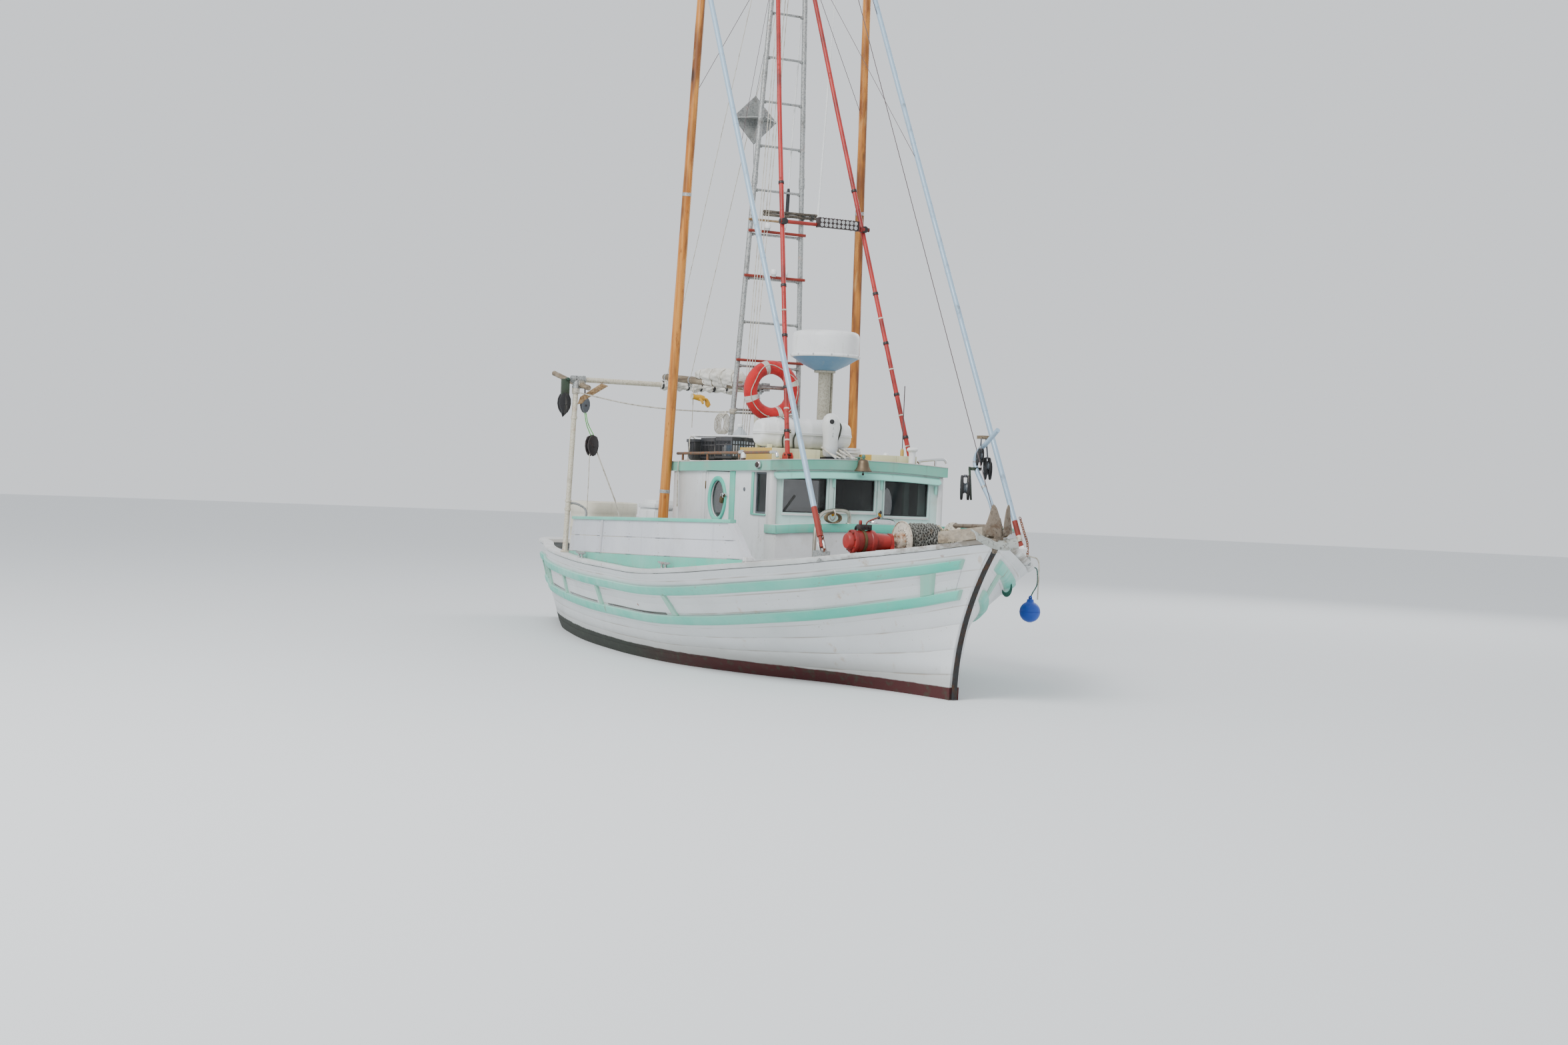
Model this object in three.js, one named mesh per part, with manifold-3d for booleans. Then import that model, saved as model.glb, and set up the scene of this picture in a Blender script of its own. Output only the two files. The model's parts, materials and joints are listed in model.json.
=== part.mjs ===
// Double-ended wooden salmon troller, 9.8 m over all, afloat with its poles stowed upright.
// Millimetres. +X runs forward, +Y to port, +Z up. The origin is amidships on the centreline,
// at the level of the water.

import * as THREE from 'three';
import { mergeVertices } from 'three/addons/utils/BufferGeometryUtils.js';
import Module from 'manifold-3d';

const wasm = await Module();
wasm.setup();

// Gap that is left between two pieces that rest on each other.
const GAP = 0.3;

// Hull sections from stern to stem: the sheer at the top of the cap rail, the waterline, and the
// rabbet where the planking meets the keel.
const STATIONS = [
  // capX, capHalf, capZ, waterX, waterHalf, rabbetX, rabbetZ
  [-4900, 35, 940, -4260, 30, -4200, -70],
  [-4810, 165, 936, -4190, 75, -4120, -240],
  [-4500, 320, 930, -3950, 190, -3850, -470],
  [-4010, 450, 920, -3600, 360, -3480, -640],
  [-3120, 770, 910, -2860, 620, -2780, -730],
  [-2230, 1030, 900, -2080, 820, -2040, -760],
  [-1340, 1240, 890, -1260, 990, -1240, -775],
  [-450, 1410, 880, -430, 1090, -420, -780],
  [440, 1530, 880, 420, 1135, 410, -780],
  [1340, 1610, 880, 1280, 1060, 1260, -765],
  [2230, 1650, 930, 2110, 790, 2080, -730],
  [3120, 1490, 1020, 2880, 420, 2820, -630],
  [3600, 1190, 1085, 3330, 260, 3260, -520],
  [4010, 850, 1160, 3700, 155, 3640, -390],
  [4450, 460, 1245, 4040, 80, 4000, -230],
  [4750, 180, 1312, 4220, 50, 4190, -110],
  [4900, 50, 1340, 4300, 45, 4280, -50],
];
const LAST_STATION = STATIONS.length - 1;
// Places between the stations where a section is made: closer together towards the ends.
const SECTION_PLACES = [
  0, 0.5, 1, 1.5, 2, 3, 4, 5, 6, 7, 8, 9, 10, 10.5, 11, 11.5, 12, 12.5, 13, 13.5, 14, 14.5, 15, 15.5, 16,
];
const KEEL_HALF = 45;

// Levels below the top of the cap rail, all measured down the topsides.
const CAP_THICK = 40;
const UPPER_RAIL = { top: 158, bottom: 238 };
const LOWER_RAIL = { top: 417, bottom: 501 };
const DECK_DROP = 417;
// Place between the stations where the main deck meets the fore deck.
const DECK_JOINT = 11.8;
const HULL_TOP_DROP = 450;
const SKIN_DROPS = [780, 501, 450, 238, 40, 0];
const BULWARK_THICK = 45;
const RAIL_PROUD = 36;
const SCUPPER = { top: 393, bottom: 416 };

// Wheelhouse: plan taper from the after end to the front, wall thickness and roof.
const HOUSE = {
  aftX: 700, frontX: 2598, aftHalf: 912, frontHalf: 869, wall: 32, top: 1980,
};
const ROOF = {
  aftX: 620, frontX: 2630, aftHalf: 915, frontHalf: 872, aftZ: 1859, frontZ: 1892, crown: 30,
  thick: 46, fascia: 88, fasciaThick: 26,
};
const TRUNK = { frontX: 2805, half: 915, top: 1338, crown: 32, band: 70, bandThick: 14 };
const FRONT_WINDOWS = [
  // y from, y to, z from, z to
  [-752, -317, 1450, 1757],
  [-235, 165, 1482, 1757],
  [263, 718, 1448, 1757],
];
const SIDE_WINDOW = { x0: 2288, x1: 2513, z0: 1428, z1: 1790 };
const PORTHOLE = { x: 1588, z: 1537, radiusX: 136, radiusZ: 166 };
const DOOR = { aftX: 1345, frontX: 1820, sill: 620, top: 1784, thick: 30, clearance: 6 };

// Stations between the poles, the mast and the rest of the gear.
const MAST = {
  x: 690, footHalf: 372, hounds: 6700, head: 8350, headHalf: 90, lean: 0.035, radius: 25,
  rungs: 14, firstRung: 2390, rungStep: 420, rungRadius: 12,
};
const TROLLING_POLE = {
  x: 640, y: 1014, pivotZ: 1180, top: 9480, footRadius: 50, tipRadius: 34, inboard: 0.0249, forward: 0.03,
};
const BOW_POLE = {
  x: 3755, y: 975, pivotZ: 1215, radius: 24,
  starboard: { length: 5940, stowed: [-0.4643, 0, 0.8857] },
  port: { length: 5860, stowed: [-0.45, -0.0349, 0.8923] },
  out: [0.35, 0.62, 0.7],
};
const RED_STAY = { x: 2500, y: 652, radius: 22 };
const GALLOWS = { x: -1610, footHalf: 1118, topHalf: 1050, top: 2700, radius: 28 };
const BOOM = { x: 560, z: 2620, endX: -1720, endZ: 2788, radius: 44 };
const WINCH = { x: 3790, z: 1262, flangeRadius: 168, half: 235, coreRadius: 96 };
const RADOME = { x: 1600, y: 150, z: 2760, radius: 322 };
const RUDDER = { x: -4330, top: -40, bottom: -960, thick: 50, chord: 430 };
const PROPELLER = { x: -4130, z: -590, radius: 250 };
const LIFE_RING = { radius: 226, tube: 68, z: 2584 };
// Planks along the cap rail: where their foot and their head begin and end, and the head's height.
const BOARDS = { footX: [-1540, 3200], headX: [-1310, 2990], headZ: [1250, 1354], thick: 24 };
const ANCHOR = { x: 4955, y: -37, z: 1425, lean: 28.6 };
const HATCH = { x0: -1250, x1: -370, half: 430, height: 190, thick: 40 };
const ENGINE = { x0: 880, x1: 1880, half: 275, z0: -440, z1: 20 };

const PAINT = {
  hullWhite: [0xdadcdd, 0.5, 0],
  turquoise: [0x63c2ac, 0.45, 0],
  mint: [0xc3e2dc, 0.5, 0],
  deckGrey: [0x9aa09c, 0.8, 0],
  varnish: [0xa8691f, 0.4, 0],
  weathered: [0x9b8f7d, 0.8, 0],
  galvanised: [0x8d9294, 0.5, 0.8],
  stainless: [0xc8cacc, 0.3, 1],
  red: [0xb5322f, 0.5, 0],
  paleBlue: [0x9fbacb, 0.45, 0],
  iron: [0x4a4643, 0.7, 0.7],
  glass: [0x1c2426, 0.05, 0],
  plastic: [0xe6e6e2, 0.45, 0],
  cream: [0xe8e2c8, 0.5, 0],
  canvas: [0xd9d6cc, 0.9, 0],
  bronze: [0x8c6a3a, 0.45, 0.9],
  engineGreen: [0x4d5a52, 0.6, 0.3],
  fenderBlue: [0x2554b4, 0.5, 0],
  oxide: [0x5c2a28, 0.8, 0],
};

const boat = new THREE.Group();

function finish(kind) {
  const [color, roughness, metalness] = PAINT[kind];
  return new THREE.MeshStandardMaterial({ color, roughness, metalness });
}

function toSolid(geometry) {
  const bare = geometry.clone();
  bare.deleteAttribute('normal');
  bare.deleteAttribute('uv');
  const merged = mergeVertices(bare, 1e-3);
  const index = merged.index.array;
  const triangles = [];
  for (let i = 0; i < index.length; i += 3) {
    const [a, b, c] = [index[i], index[i + 1], index[i + 2]];
    if (a !== b && b !== c && c !== a) {
      triangles.push(a, b, c);
    }
  }
  return new wasm.Manifold(new wasm.Mesh({
    numProp: 3,
    vertProperties: new Float32Array(merged.attributes.position.array),
    triVerts: new Uint32Array(triangles),
  }));
}

function toGeometry(solid) {
  const mesh = solid.getMesh();
  const geometry = new THREE.BufferGeometry();
  geometry.setAttribute('position', new THREE.BufferAttribute(mesh.vertProperties, 3));
  geometry.setIndex(new THREE.BufferAttribute(mesh.triVerts, 1));
  geometry.computeVertexNormals();
  return geometry;
}

function addPart(name, solid, kind, parent = boat) {
  const mesh = new THREE.Mesh(toGeometry(solid), finish(kind));
  mesh.name = name;
  parent.add(mesh);
  return mesh;
}

function joined(...solids) {
  return solids.reduce((whole, piece) => whole.add(piece));
}

function box(x0, x1, y0, y1, z0, z1) {
  const geometry = new THREE.BoxGeometry(x1 - x0, y1 - y0, z1 - z0);
  geometry.translate((x0 + x1) / 2, (y0 + y1) / 2, (z0 + z1) / 2);
  return toSolid(geometry);
}

// Round bar between two points, with its own radius at each end.
function rod(start, end, startRadius, endRadius = startRadius, sides = 12) {
  const from = new THREE.Vector3(...start);
  const to = new THREE.Vector3(...end);
  const along = to.clone().sub(from);
  const geometry = new THREE.CylinderGeometry(endRadius, startRadius, along.length(), sides);
  const turn = new THREE.Quaternion();
  turn.setFromUnitVectors(new THREE.Vector3(0, 1, 0), along.clone().normalize());
  geometry.applyQuaternion(turn);
  const middle = from.clone().add(to).multiplyScalar(0.5);
  geometry.translate(middle.x, middle.y, middle.z);
  return toSolid(geometry);
}

// Bent pipe through the given points.
function bentPipe(points, radius, steps, sides = 8) {
  const path = new THREE.CatmullRomCurve3(points.map((p) => new THREE.Vector3(...p)), false, 'centripetal');
  const section = new THREE.Shape();
  section.absarc(0, 0, radius, 0, Math.PI * 2, false);
  const geometry = new THREE.ExtrudeGeometry(section, {
    steps, extrudePath: path, curveSegments: sides / 2,
  });
  return toSolid(geometry);
}

// Turned piece about the Z axis through the origin, from a profile of [radius, z].
function turned(profile, sides = 32) {
  const points = profile.map(([radius, z]) => new THREE.Vector2(radius, z));
  const geometry = new THREE.LatheGeometry(points, sides);
  geometry.rotateX(Math.PI / 2);
  return toSolid(geometry);
}

// Plate whose outline lies in the XZ plane and whose thickness runs from y0 to y1.
function sidePlate(outline, y0, y1, holes = []) {
  const shape = new THREE.Shape(outline.map(([x, z]) => new THREE.Vector2(x, z)));
  holes.forEach((hole) => shape.holes.push(hole));
  const geometry = new THREE.ExtrudeGeometry(shape, {
    depth: y1 - y0, bevelEnabled: false, curveSegments: 12,
  });
  geometry.rotateX(Math.PI / 2);
  geometry.translate(0, y1, 0);
  return toSolid(geometry);
}

function rectangleHole(x0, x1, z0, z1) {
  const hole = new THREE.Path();
  hole.moveTo(x0, z0);
  hole.lineTo(x1, z0);
  hole.lineTo(x1, z1);
  hole.lineTo(x0, z1);
  hole.closePath();
  return hole;
}

function ellipseHole(x, z, radiusX, radiusZ) {
  const hole = new THREE.Path();
  hole.absellipse(x, z, radiusX, radiusZ, 0, Math.PI * 2, false, 0);
  return hole;
}

// Closed body through rings of points. Every ring is mirrored, so that point j and point n-1-j
// face each other, and the two end faces are closed by the strips between such pairs.
function loft(rings) {
  const count = rings[0].length;
  const positions = rings.flat(2);
  const index = [];
  for (let i = 0; i < rings.length - 1; i += 1) {
    for (let j = 0; j < count; j += 1) {
      const a = i * count + j;
      const b = i * count + ((j + 1) % count);
      index.push(a, b, b + count, a, b + count, a + count);
    }
  }
  const end = (rings.length - 1) * count;
  for (let j = 0; j < count / 2 - 1; j += 1) {
    const [a, b, c, d] = [j, j + 1, count - 2 - j, count - 1 - j];
    index.push(a, c, b, a, d, c);
    index.push(end + a, end + b, end + c, end + a, end + c, end + d);
  }
  const geometry = new THREE.BufferGeometry();
  geometry.setAttribute('position', new THREE.Float32BufferAttribute(positions, 3));
  geometry.setIndex(index);
  const solid = toSolid(geometry);
  if (solid.volume() > 0) {
    return solid;
  }
  const flipped = [];
  for (let i = 0; i < index.length; i += 3) {
    flipped.push(index[i], index[i + 2], index[i + 1]);
  }
  geometry.setIndex(flipped);
  return toSolid(geometry);
}

// Smooth value of one column of the stations at a place between them.
function column(place, name) {
  const k = ['capX', 'capHalf', 'capZ', 'waterX', 'waterHalf', 'rabbetX', 'rabbetZ'].indexOf(name);
  const i = Math.min(Math.floor(place), LAST_STATION - 1);
  const t = place - i;
  const at = (row) => STATIONS[Math.min(Math.max(row, 0), LAST_STATION)][k];
  const [p0, p1, p2, p3] = [at(i - 1), at(i), at(i + 1), at(i + 2)];
  const bend = 2 * p0 - 5 * p1 + 4 * p2 - p3;
  const twist = 3 * p1 - p0 - 3 * p2 + p3;
  return 0.5 * (2 * p1 + (p2 - p0) * t + bend * t * t + twist * t * t * t);
}

// Point of the topsides at a station place and a drop below the cap rail's top.
function topside(place, drop) {
  const share = place / LAST_STATION;
  const capZ = column(place, 'capZ');
  const rise = Math.max((capZ - drop) / capZ, 0);
  const rake = 0.5 + 1.6 * share;
  const flare = 0.6 + 0.7 * share;
  const waterX = column(place, 'waterX');
  const waterHalf = column(place, 'waterHalf');
  return {
    x: waterX + (column(place, 'capX') - waterX) * rise ** rake,
    half: waterHalf + (column(place, 'capHalf') - waterHalf) * rise ** flare,
    z: capZ - drop,
  };
}

// Point that stands off the topsides by a distance in plan, out when it is positive.
function offsetPoint(place, drop, outward) {
  const here = topside(place, drop);
  const step = 0.02;
  const before = topside(Math.max(place - step, 0), drop);
  const after = topside(Math.min(place + step, LAST_STATION), drop);
  const slope = (after.half - before.half) / (after.x - before.x);
  const stretch = Math.hypot(1, slope);
  const end = place === 0 ? -1 : Number(place === LAST_STATION);
  return {
    x: here.x + end * outward,
    half: Math.max(here.half + outward * (stretch - Math.abs(end * slope)), 4),
    z: here.z,
  };
}

// Solid across the whole breadth between the topsides, offset by a distance, at the given drops
// from the lowest to the highest.
function skinSolid(drops, outward, from = 0, to = LAST_STATION) {
  const between = SECTION_PLACES.filter((place) => place > from + 0.01 && place < to - 0.01);
  const places = [from, ...between, to];
  return loft(places.map((place) => {
    const side = drops.map((drop) => offsetPoint(place, drop, outward));
    const starboard = side.map((p) => [p.x, -p.half, p.z]);
    const port = side.map((p) => [p.x, p.half, p.z]).reverse();
    return [...starboard, ...port];
  }));
}

// Place between the stations whose sheer is at the given length along the boat.
function placeAt(x, drop = 0) {
  let [low, high] = [0, LAST_STATION];
  for (let i = 0; i < 40; i += 1) {
    const middle = (low + high) / 2;
    if (topside(middle, drop).x < x) {
      low = middle;
    } else {
      high = middle;
    }
  }
  return (low + high) / 2;
}

function deckZ(x) {
  return topside(placeAt(x, DECK_DROP), DECK_DROP).z;
}

function hullSolid() {
  const bilgeSteps = 5;
  return loft(SECTION_PLACES.map((place) => {
    const rabbetX = column(place, 'rabbetX');
    const rabbetZ = column(place, 'rabbetZ');
    const water = topside(place, column(place, 'capZ'));
    const keelHalf = Math.min(KEEL_HALF, water.half);
    const side = [];
    for (let i = 0; i <= bilgeSteps; i += 1) {
      const turn = (i / bilgeSteps) * (Math.PI / 2);
      side.push([
        water.x + (rabbetX - water.x) * Math.cos(turn),
        keelHalf + (water.half - keelHalf) * Math.sin(turn) ** 0.85,
        rabbetZ * Math.cos(turn),
      ]);
    }
    const lowRow = (SKIN_DROPS[0] + column(place, 'capZ')) / 2;
    [lowRow, ...SKIN_DROPS.filter((drop) => drop >= HULL_TOP_DROP)].forEach((drop) => {
      const point = topside(place, drop);
      side.push([point.x, point.half, point.z]);
    });
    const starboard = side.map(([x, half, z]) => [x, -half, z]);
    return [...starboard, ...side.reverse()];
  }));
}

// Everything below the deck's top, with a hair's gap, to trim what stands on it.
const belowDeck = skinSolid([1100, 780, 501, DECK_DROP - GAP], 30);
const belowCap = skinSolid([780, 450, -GAP], 30);

function hull() {
  const wheelhouseWell = box(800, 2100, -550, 550, 60, 900);
  const enginePit = box(850, 1950, -380, 380, -450, 100);
  const fishHold = box(-1200, -420, -390, 390, -380, 900);
  return hullSolid().subtract(wheelhouseWell).subtract(enginePit).subtract(fishHold);
}

function keel() {
  const top = SECTION_PLACES.filter((place) => place >= 1.5)
    .map((place) => [column(place, 'rabbetX'), column(place, 'rabbetZ') - GAP]);
  const outline = [
    ...top,
    [4318, -90], [4180, -330], [3880, -560], [3400, -760], [2500, -900],
    [-4370, -1060], [-4370, -1010], [top[0][0], -1000],
  ];
  const sternTube = rod([-3960, 0, PROPELLER.z], [-4040, 0, PROPELLER.z], 70, 52);
  return joined(sidePlate(outline, -KEEL_HALF, KEEL_HALF), sternTube);
}

function stemBand() {
  const half = 24;
  const thick = 9;
  return loft([44, ...SKIN_DROPS.slice(0, 4).reverse(), 1060, 1340].map((drop) => {
    const face = topside(LAST_STATION, drop);
    const x = face.x + 3;
    return [
      [x, -half, face.z], [x + thick, -half, face.z], [x + thick, half, face.z], [x, half, face.z],
    ];
  }));
}

function deckPlate(from, to) {
  return skinSolid([HULL_TOP_DROP - 1, DECK_DROP], -54, from, to);
}

function deck() {
  const plate = deckPlate(1.05, DECK_JOINT);
  const wheelhouseWell = box(800, 2100, -550, 550, 0, 1200);
  const hatch = box(-1200, -420, -390, 390, 0, 1200);
  return plate.subtract(wheelhouseWell).subtract(hatch);
}

function bulwark() {
  const outer = skinSolid([HULL_TOP_DROP - GAP, UPPER_RAIL.bottom, CAP_THICK + 6], 0);
  const inner = skinSolid([520, DECK_DROP, UPPER_RAIL.bottom, -20], -BULWARK_THICK, 1, 15);
  return outer.subtract(inner).subtract(scuppers());
}

// Long freeing slots just above the lower rub rail, between the timbers.
function scuppers() {
  const slots = [
    // place from, place to
    [3.1, 4.1], [4.4, 5.6], [5.9, 7.3], [7.7, 9.3],
  ];
  const cuts = slots.map(([from, to]) => skinSolid([SCUPPER.bottom, SCUPPER.top], 60, from, to));
  return joined(...cuts);
}

function capRail() {
  const outer = skinSolid([CAP_THICK, 0], 14);
  const inner = skinSolid([CAP_THICK + 60, -60], -108, 2, 14.3);
  return joined(outer.subtract(inner), bowPoleFoot(-1), bowPoleFoot(1));
}

// Both rub rails of one side with the upright battens that tie them. Side is -1 to starboard.
function rubRails(side) {
  const upper = skinSolid([UPPER_RAIL.bottom, UPPER_RAIL.top], RAIL_PROUD);
  const lower = skinSolid([LOWER_RAIL.bottom, LOWER_RAIL.top], RAIL_PROUD);
  const battenPlaces = [1.6, 3.0, 4.25, 5.75, 7.5, 9.5, 14.2];
  const halfLength = 38;
  const battens = battenPlaces.map((place) => {
    const middle = topside(place, 330).x;
    const from = placeAt(middle - halfLength, 330);
    const to = placeAt(middle + halfLength, 330);
    return skinSolid([LOWER_RAIL.top + 20, 330, UPPER_RAIL.bottom - 20], RAIL_PROUD - 12, from, to);
  });
  const core = skinSolid(SKIN_DROPS, 1);
  const stemClear = sidePlate(
    [[4745, 1420], [4330, 500], [4330, 200], [5100, 200], [5100, 1420]], -900, 900,
  );
  const [y0, y1] = side < 0 ? [-GAP / 2, 2000] : [-2000, GAP / 2];
  const otherSide = box(-5200, 5200, y0, y1, 0, 1500);
  return joined(upper, lower, ...battens).subtract(core).subtract(stemClear).subtract(otherSide);
}

// Straight planks that stand on the cap rail, with a raked forward end. Side is -1 to starboard.
function weatherBoards(side) {
  const rings = [];
  const steps = 8;
  const between = ([from, to], along) => from + (to - from) * along;
  for (let i = 0; i <= steps; i += 1) {
    const along = i / steps;
    const headX = between(BOARDS.headX, along);
    const footX = between(BOARDS.footX, along);
    const headHalf = topside(placeAt(headX), 0).half - 98;
    const foot = topside(placeAt(footX), 0);
    const footHalf = foot.half - 96;
    const footZ = foot.z - 20;
    const headZ = between(BOARDS.headZ, along);
    rings.push([
      [footX, side * footHalf, footZ], [headX, side * headHalf, headZ],
      [headX, side * (headHalf - BOARDS.thick), headZ], [footX, side * (footHalf - BOARDS.thick), footZ],
    ]);
  }
  return loft(rings).subtract(belowCap).add(weatherCap(side));
}

// Capping strip along the head of the weather boards.
function weatherCap(side) {
  const rings = [];
  const steps = 8;
  const [from, to] = [BOARDS.headX[0] - 15, BOARDS.headX[1] + 15];
  const rise = (BOARDS.headZ[1] - BOARDS.headZ[0]) / (BOARDS.headX[1] - BOARDS.headX[0]);
  for (let i = 0; i <= steps; i += 1) {
    const x = from + ((to - from) * i) / steps;
    const half = topside(placeAt(x), 0).half - 98;
    const z = BOARDS.headZ[0] - 2 + (x - BOARDS.headX[0]) * rise;
    rings.push([
      [x, side * (half + 14), z], [x, side * (half + 14), z + 30],
      [x, side * (half - 38), z + 30], [x, side * (half - 38), z],
    ]);
  }
  return loft(rings);
}

// Cambered slab between two lengths. Its upper face has the crown, and its lower face comes from
// a rule on the height of the upper one. An end is [x, half breadth, height of its edge], and
// the slab may reach past the half breadths by the given amount.
function camberedSlab(after, fore, crown, below, reach = 0) {
  const steps = 10;
  const ring = ([x, half, edge]) => {
    const upper = [];
    for (let i = 0; i <= steps; i += 1) {
      const y = (half + reach) * (1 - (2 * i) / steps);
      upper.push([x, y, edge + crown * (1 - (y / half) ** 2)]);
    }
    const lower = upper.map(([, y, z]) => [x, y, below(z)]).reverse();
    return [...upper, ...lower];
  };
  return loft([ring(after), ring(fore)]);
}

// Slab on the roof's own camber, between two lengths.
function roofSlab(reach, thick, raise, x0, x1) {
  const at = (x) => {
    const share = (x - ROOF.aftX) / (ROOF.frontX - ROOF.aftX);
    const half = ROOF.aftHalf + (ROOF.frontHalf - ROOF.aftHalf) * share;
    return [x, half, ROOF.aftZ + (ROOF.frontZ - ROOF.aftZ) * share + raise];
  };
  return camberedSlab(at(x0), at(x1), ROOF.crown, (z) => z - thick, reach);
}

const ROOF_GAP = 1.2;
const aboveRoofUnderside = roofSlab(150, -1500, -ROOF.thick - ROOF_GAP, 300, 3000);
const belowRoofTop = roofSlab(150, 1500, ROOF_GAP, 300, 3000);

function houseRoof() {
  return roofSlab(0, ROOF.thick, 0, ROOF.aftX + ROOF.fasciaThick, ROOF.frontX - ROOF.fasciaThick);
}

function fascia() {
  const rim = ROOF.fasciaThick;
  const outer = roofSlab(rim, ROOF.fascia, 8, ROOF.aftX, ROOF.frontX);
  const inner = roofSlab(GAP, 600, 300, ROOF.aftX + rim - GAP, ROOF.frontX - rim + GAP);
  return outer.subtract(inner);
}

// Side wall in its own plane, turned to the house's taper. Side is -1 to starboard.
function houseSide(side, cuts) {
  const taper = Math.atan2(HOUSE.aftHalf - HOUSE.frontHalf, HOUSE.frontX - HOUSE.aftX);
  const length = HOUSE.frontX - HOUSE.aftX - 2;
  const outline = [[0, 440], [length, 440], [length, HOUSE.top], [0, HOUSE.top]];
  const wall = sidePlate(outline, -HOUSE.wall, 0, cuts);
  const placed = side < 0
    ? wall.translate([0, HOUSE.wall, 0]).rotate([0, 0, (taper * 180) / Math.PI])
    : wall.rotate([0, 0, (-taper * 180) / Math.PI]);
  return placed.translate([HOUSE.aftX + 1, side * HOUSE.aftHalf, 0])
    .subtract(belowDeck).subtract(aboveRoofUnderside);
}

function sideCuts(withDoor) {
  const window = rectangleHole(
    SIDE_WINDOW.x0 - HOUSE.aftX, SIDE_WINDOW.x1 - HOUSE.aftX, SIDE_WINDOW.z0, SIDE_WINDOW.z1,
  );
  if (withDoor) {
    const doorway = rectangleHole(
      DOOR.aftX - DOOR.clearance - HOUSE.aftX, DOOR.frontX + DOOR.clearance - HOUSE.aftX,
      DOOR.sill - DOOR.clearance, DOOR.top + DOOR.clearance,
    );
    return [window, doorway];
  }
  const port = ellipseHole(PORTHOLE.x - HOUSE.aftX, PORTHOLE.z, PORTHOLE.radiusX, PORTHOLE.radiusZ);
  return [window, port];
}

function houseFront() {
  const x = HOUSE.frontX;
  const half = HOUSE.frontHalf - HOUSE.wall - 3;
  const wall = box(x - HOUSE.wall, x, -half, half, 300, HOUSE.top);
  const cut = FRONT_WINDOWS.map(([y0, y1, z0, z1]) => box(x - 200, x + 200, y0, y1, z0, z1));
  return wall.subtract(joined(...cut)).subtract(belowDeck).subtract(aboveRoofUnderside);
}

function houseBack() {
  const x = HOUSE.aftX + HOUSE.wall;
  const half = HOUSE.aftHalf - HOUSE.wall - 4;
  const wall = box(x - HOUSE.wall, x, -half, half, 300, HOUSE.top);
  const windows = [
    // y from, y to, z from, z to
    [-620, -180, 1400, 1740],
    [180, 620, 1400, 1740],
  ];
  const cut = windows.map(([y0, y1, z0, z1]) => box(x - 200, x + 200, y0, y1, z0, z1));
  return wall.subtract(joined(...cut)).subtract(belowDeck).subtract(aboveRoofUnderside);
}

// Low trunk before the house, with the proud band along the head of its front.
function trunkCabin() {
  const section = (x) => [x, TRUNK.half, TRUNK.top];
  const outer = camberedSlab(
    section(HOUSE.frontX + GAP), section(TRUNK.frontX), TRUNK.crown, () => 480,
  );
  const hollow = box(HOUSE.frontX - 60, TRUNK.frontX - 32, -TRUNK.half + 32, TRUNK.half - 32, 0, 1310);
  const band = camberedSlab(
    section(TRUNK.frontX - 10), section(TRUNK.frontX + TRUNK.bandThick), TRUNK.crown,
    (z) => z - TRUNK.band,
  );
  return outer.subtract(belowDeck).subtract(hollow).add(band);
}

function frontGlass(row) {
  const [y0, y1, z0, z1] = FRONT_WINDOWS[row];
  const inset = 1;
  const x = HOUSE.frontX - 22;
  return box(x - 6, x, y0 + inset, y1 - inset, z0 + inset, z1 - inset);
}

// Pale board over the front windows, under the fascia and set back from its face.
function windowTrim() {
  const x0 = HOUSE.frontX + GAP;
  const x1 = x0 + 22;
  const height = 62;
  return loft([-866, -600, -300, 0, 300, 600, 866].map((y) => {
    const top = ROOF.frontZ + 8 - ROOF.fascia - 4 + ROOF.crown * (1 - (y / ROOF.frontHalf) ** 2);
    return [[x0, y, top - height], [x0, y, top], [x1, y, top], [x1, y, top - height]];
  }));
}

// Leaf of the starboard door about its hinge, which is at its after edge on the outer face.
function doorLeaf() {
  const width = DOOR.frontX - DOOR.aftX;
  const outline = [[0, DOOR.sill], [width, DOOR.sill], [width, DOOR.top], [0, DOOR.top]];
  const light = ellipseHole(PORTHOLE.x - DOOR.aftX, PORTHOLE.z, PORTHOLE.radiusX, PORTHOLE.radiusZ);
  const leaf = sidePlate(outline, 0, DOOR.thick, [light]);
  const ring = sidePlate(
    ellipseOutline(PORTHOLE.x - DOOR.aftX, PORTHOLE.z, PORTHOLE.radiusX + 40, PORTHOLE.radiusZ + 40),
    -18, 1, [light],
  );
  return joined(leaf, ring);
}

function ellipseOutline(x, z, radiusX, radiusZ) {
  const sides = 24;
  return Array.from({ length: sides }, (_, i) => {
    const turn = (i / sides) * Math.PI * 2;
    return [x + radiusX * Math.cos(turn), z + radiusZ * Math.sin(turn)];
  });
}

function engine() {
  return box(ENGINE.x0, ENGINE.x1, -ENGINE.half, ENGINE.half, -450 + GAP, ENGINE.z1);
}

// Steering wheel about its own axis, which lies along X.
function helmWheel() {
  const rim = new THREE.TorusGeometry(210, 14, 6, 20);
  rim.rotateY(Math.PI / 2);
  const hub = rod([-40, 0, 0], [60, 0, 0], 34);
  const spokes = [0, 1, 2, 3, 4].map((i) => {
    const turn = (i / 5) * Math.PI * 2;
    return rod([0, 0, 0], [0, 214 * Math.sin(turn), 214 * Math.cos(turn)], 10, 9, 6);
  });
  return joined(toSolid(rim), hub, ...spokes);
}

function mastPoint(side, z) {
  const share = (z - ROOF.aftZ) / (MAST.head - ROOF.aftZ);
  const half = MAST.footHalf + (MAST.headHalf - MAST.footHalf) * share;
  return [MAST.x + (z - ROOF.aftZ) * MAST.lean, side * half, z];
}

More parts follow.
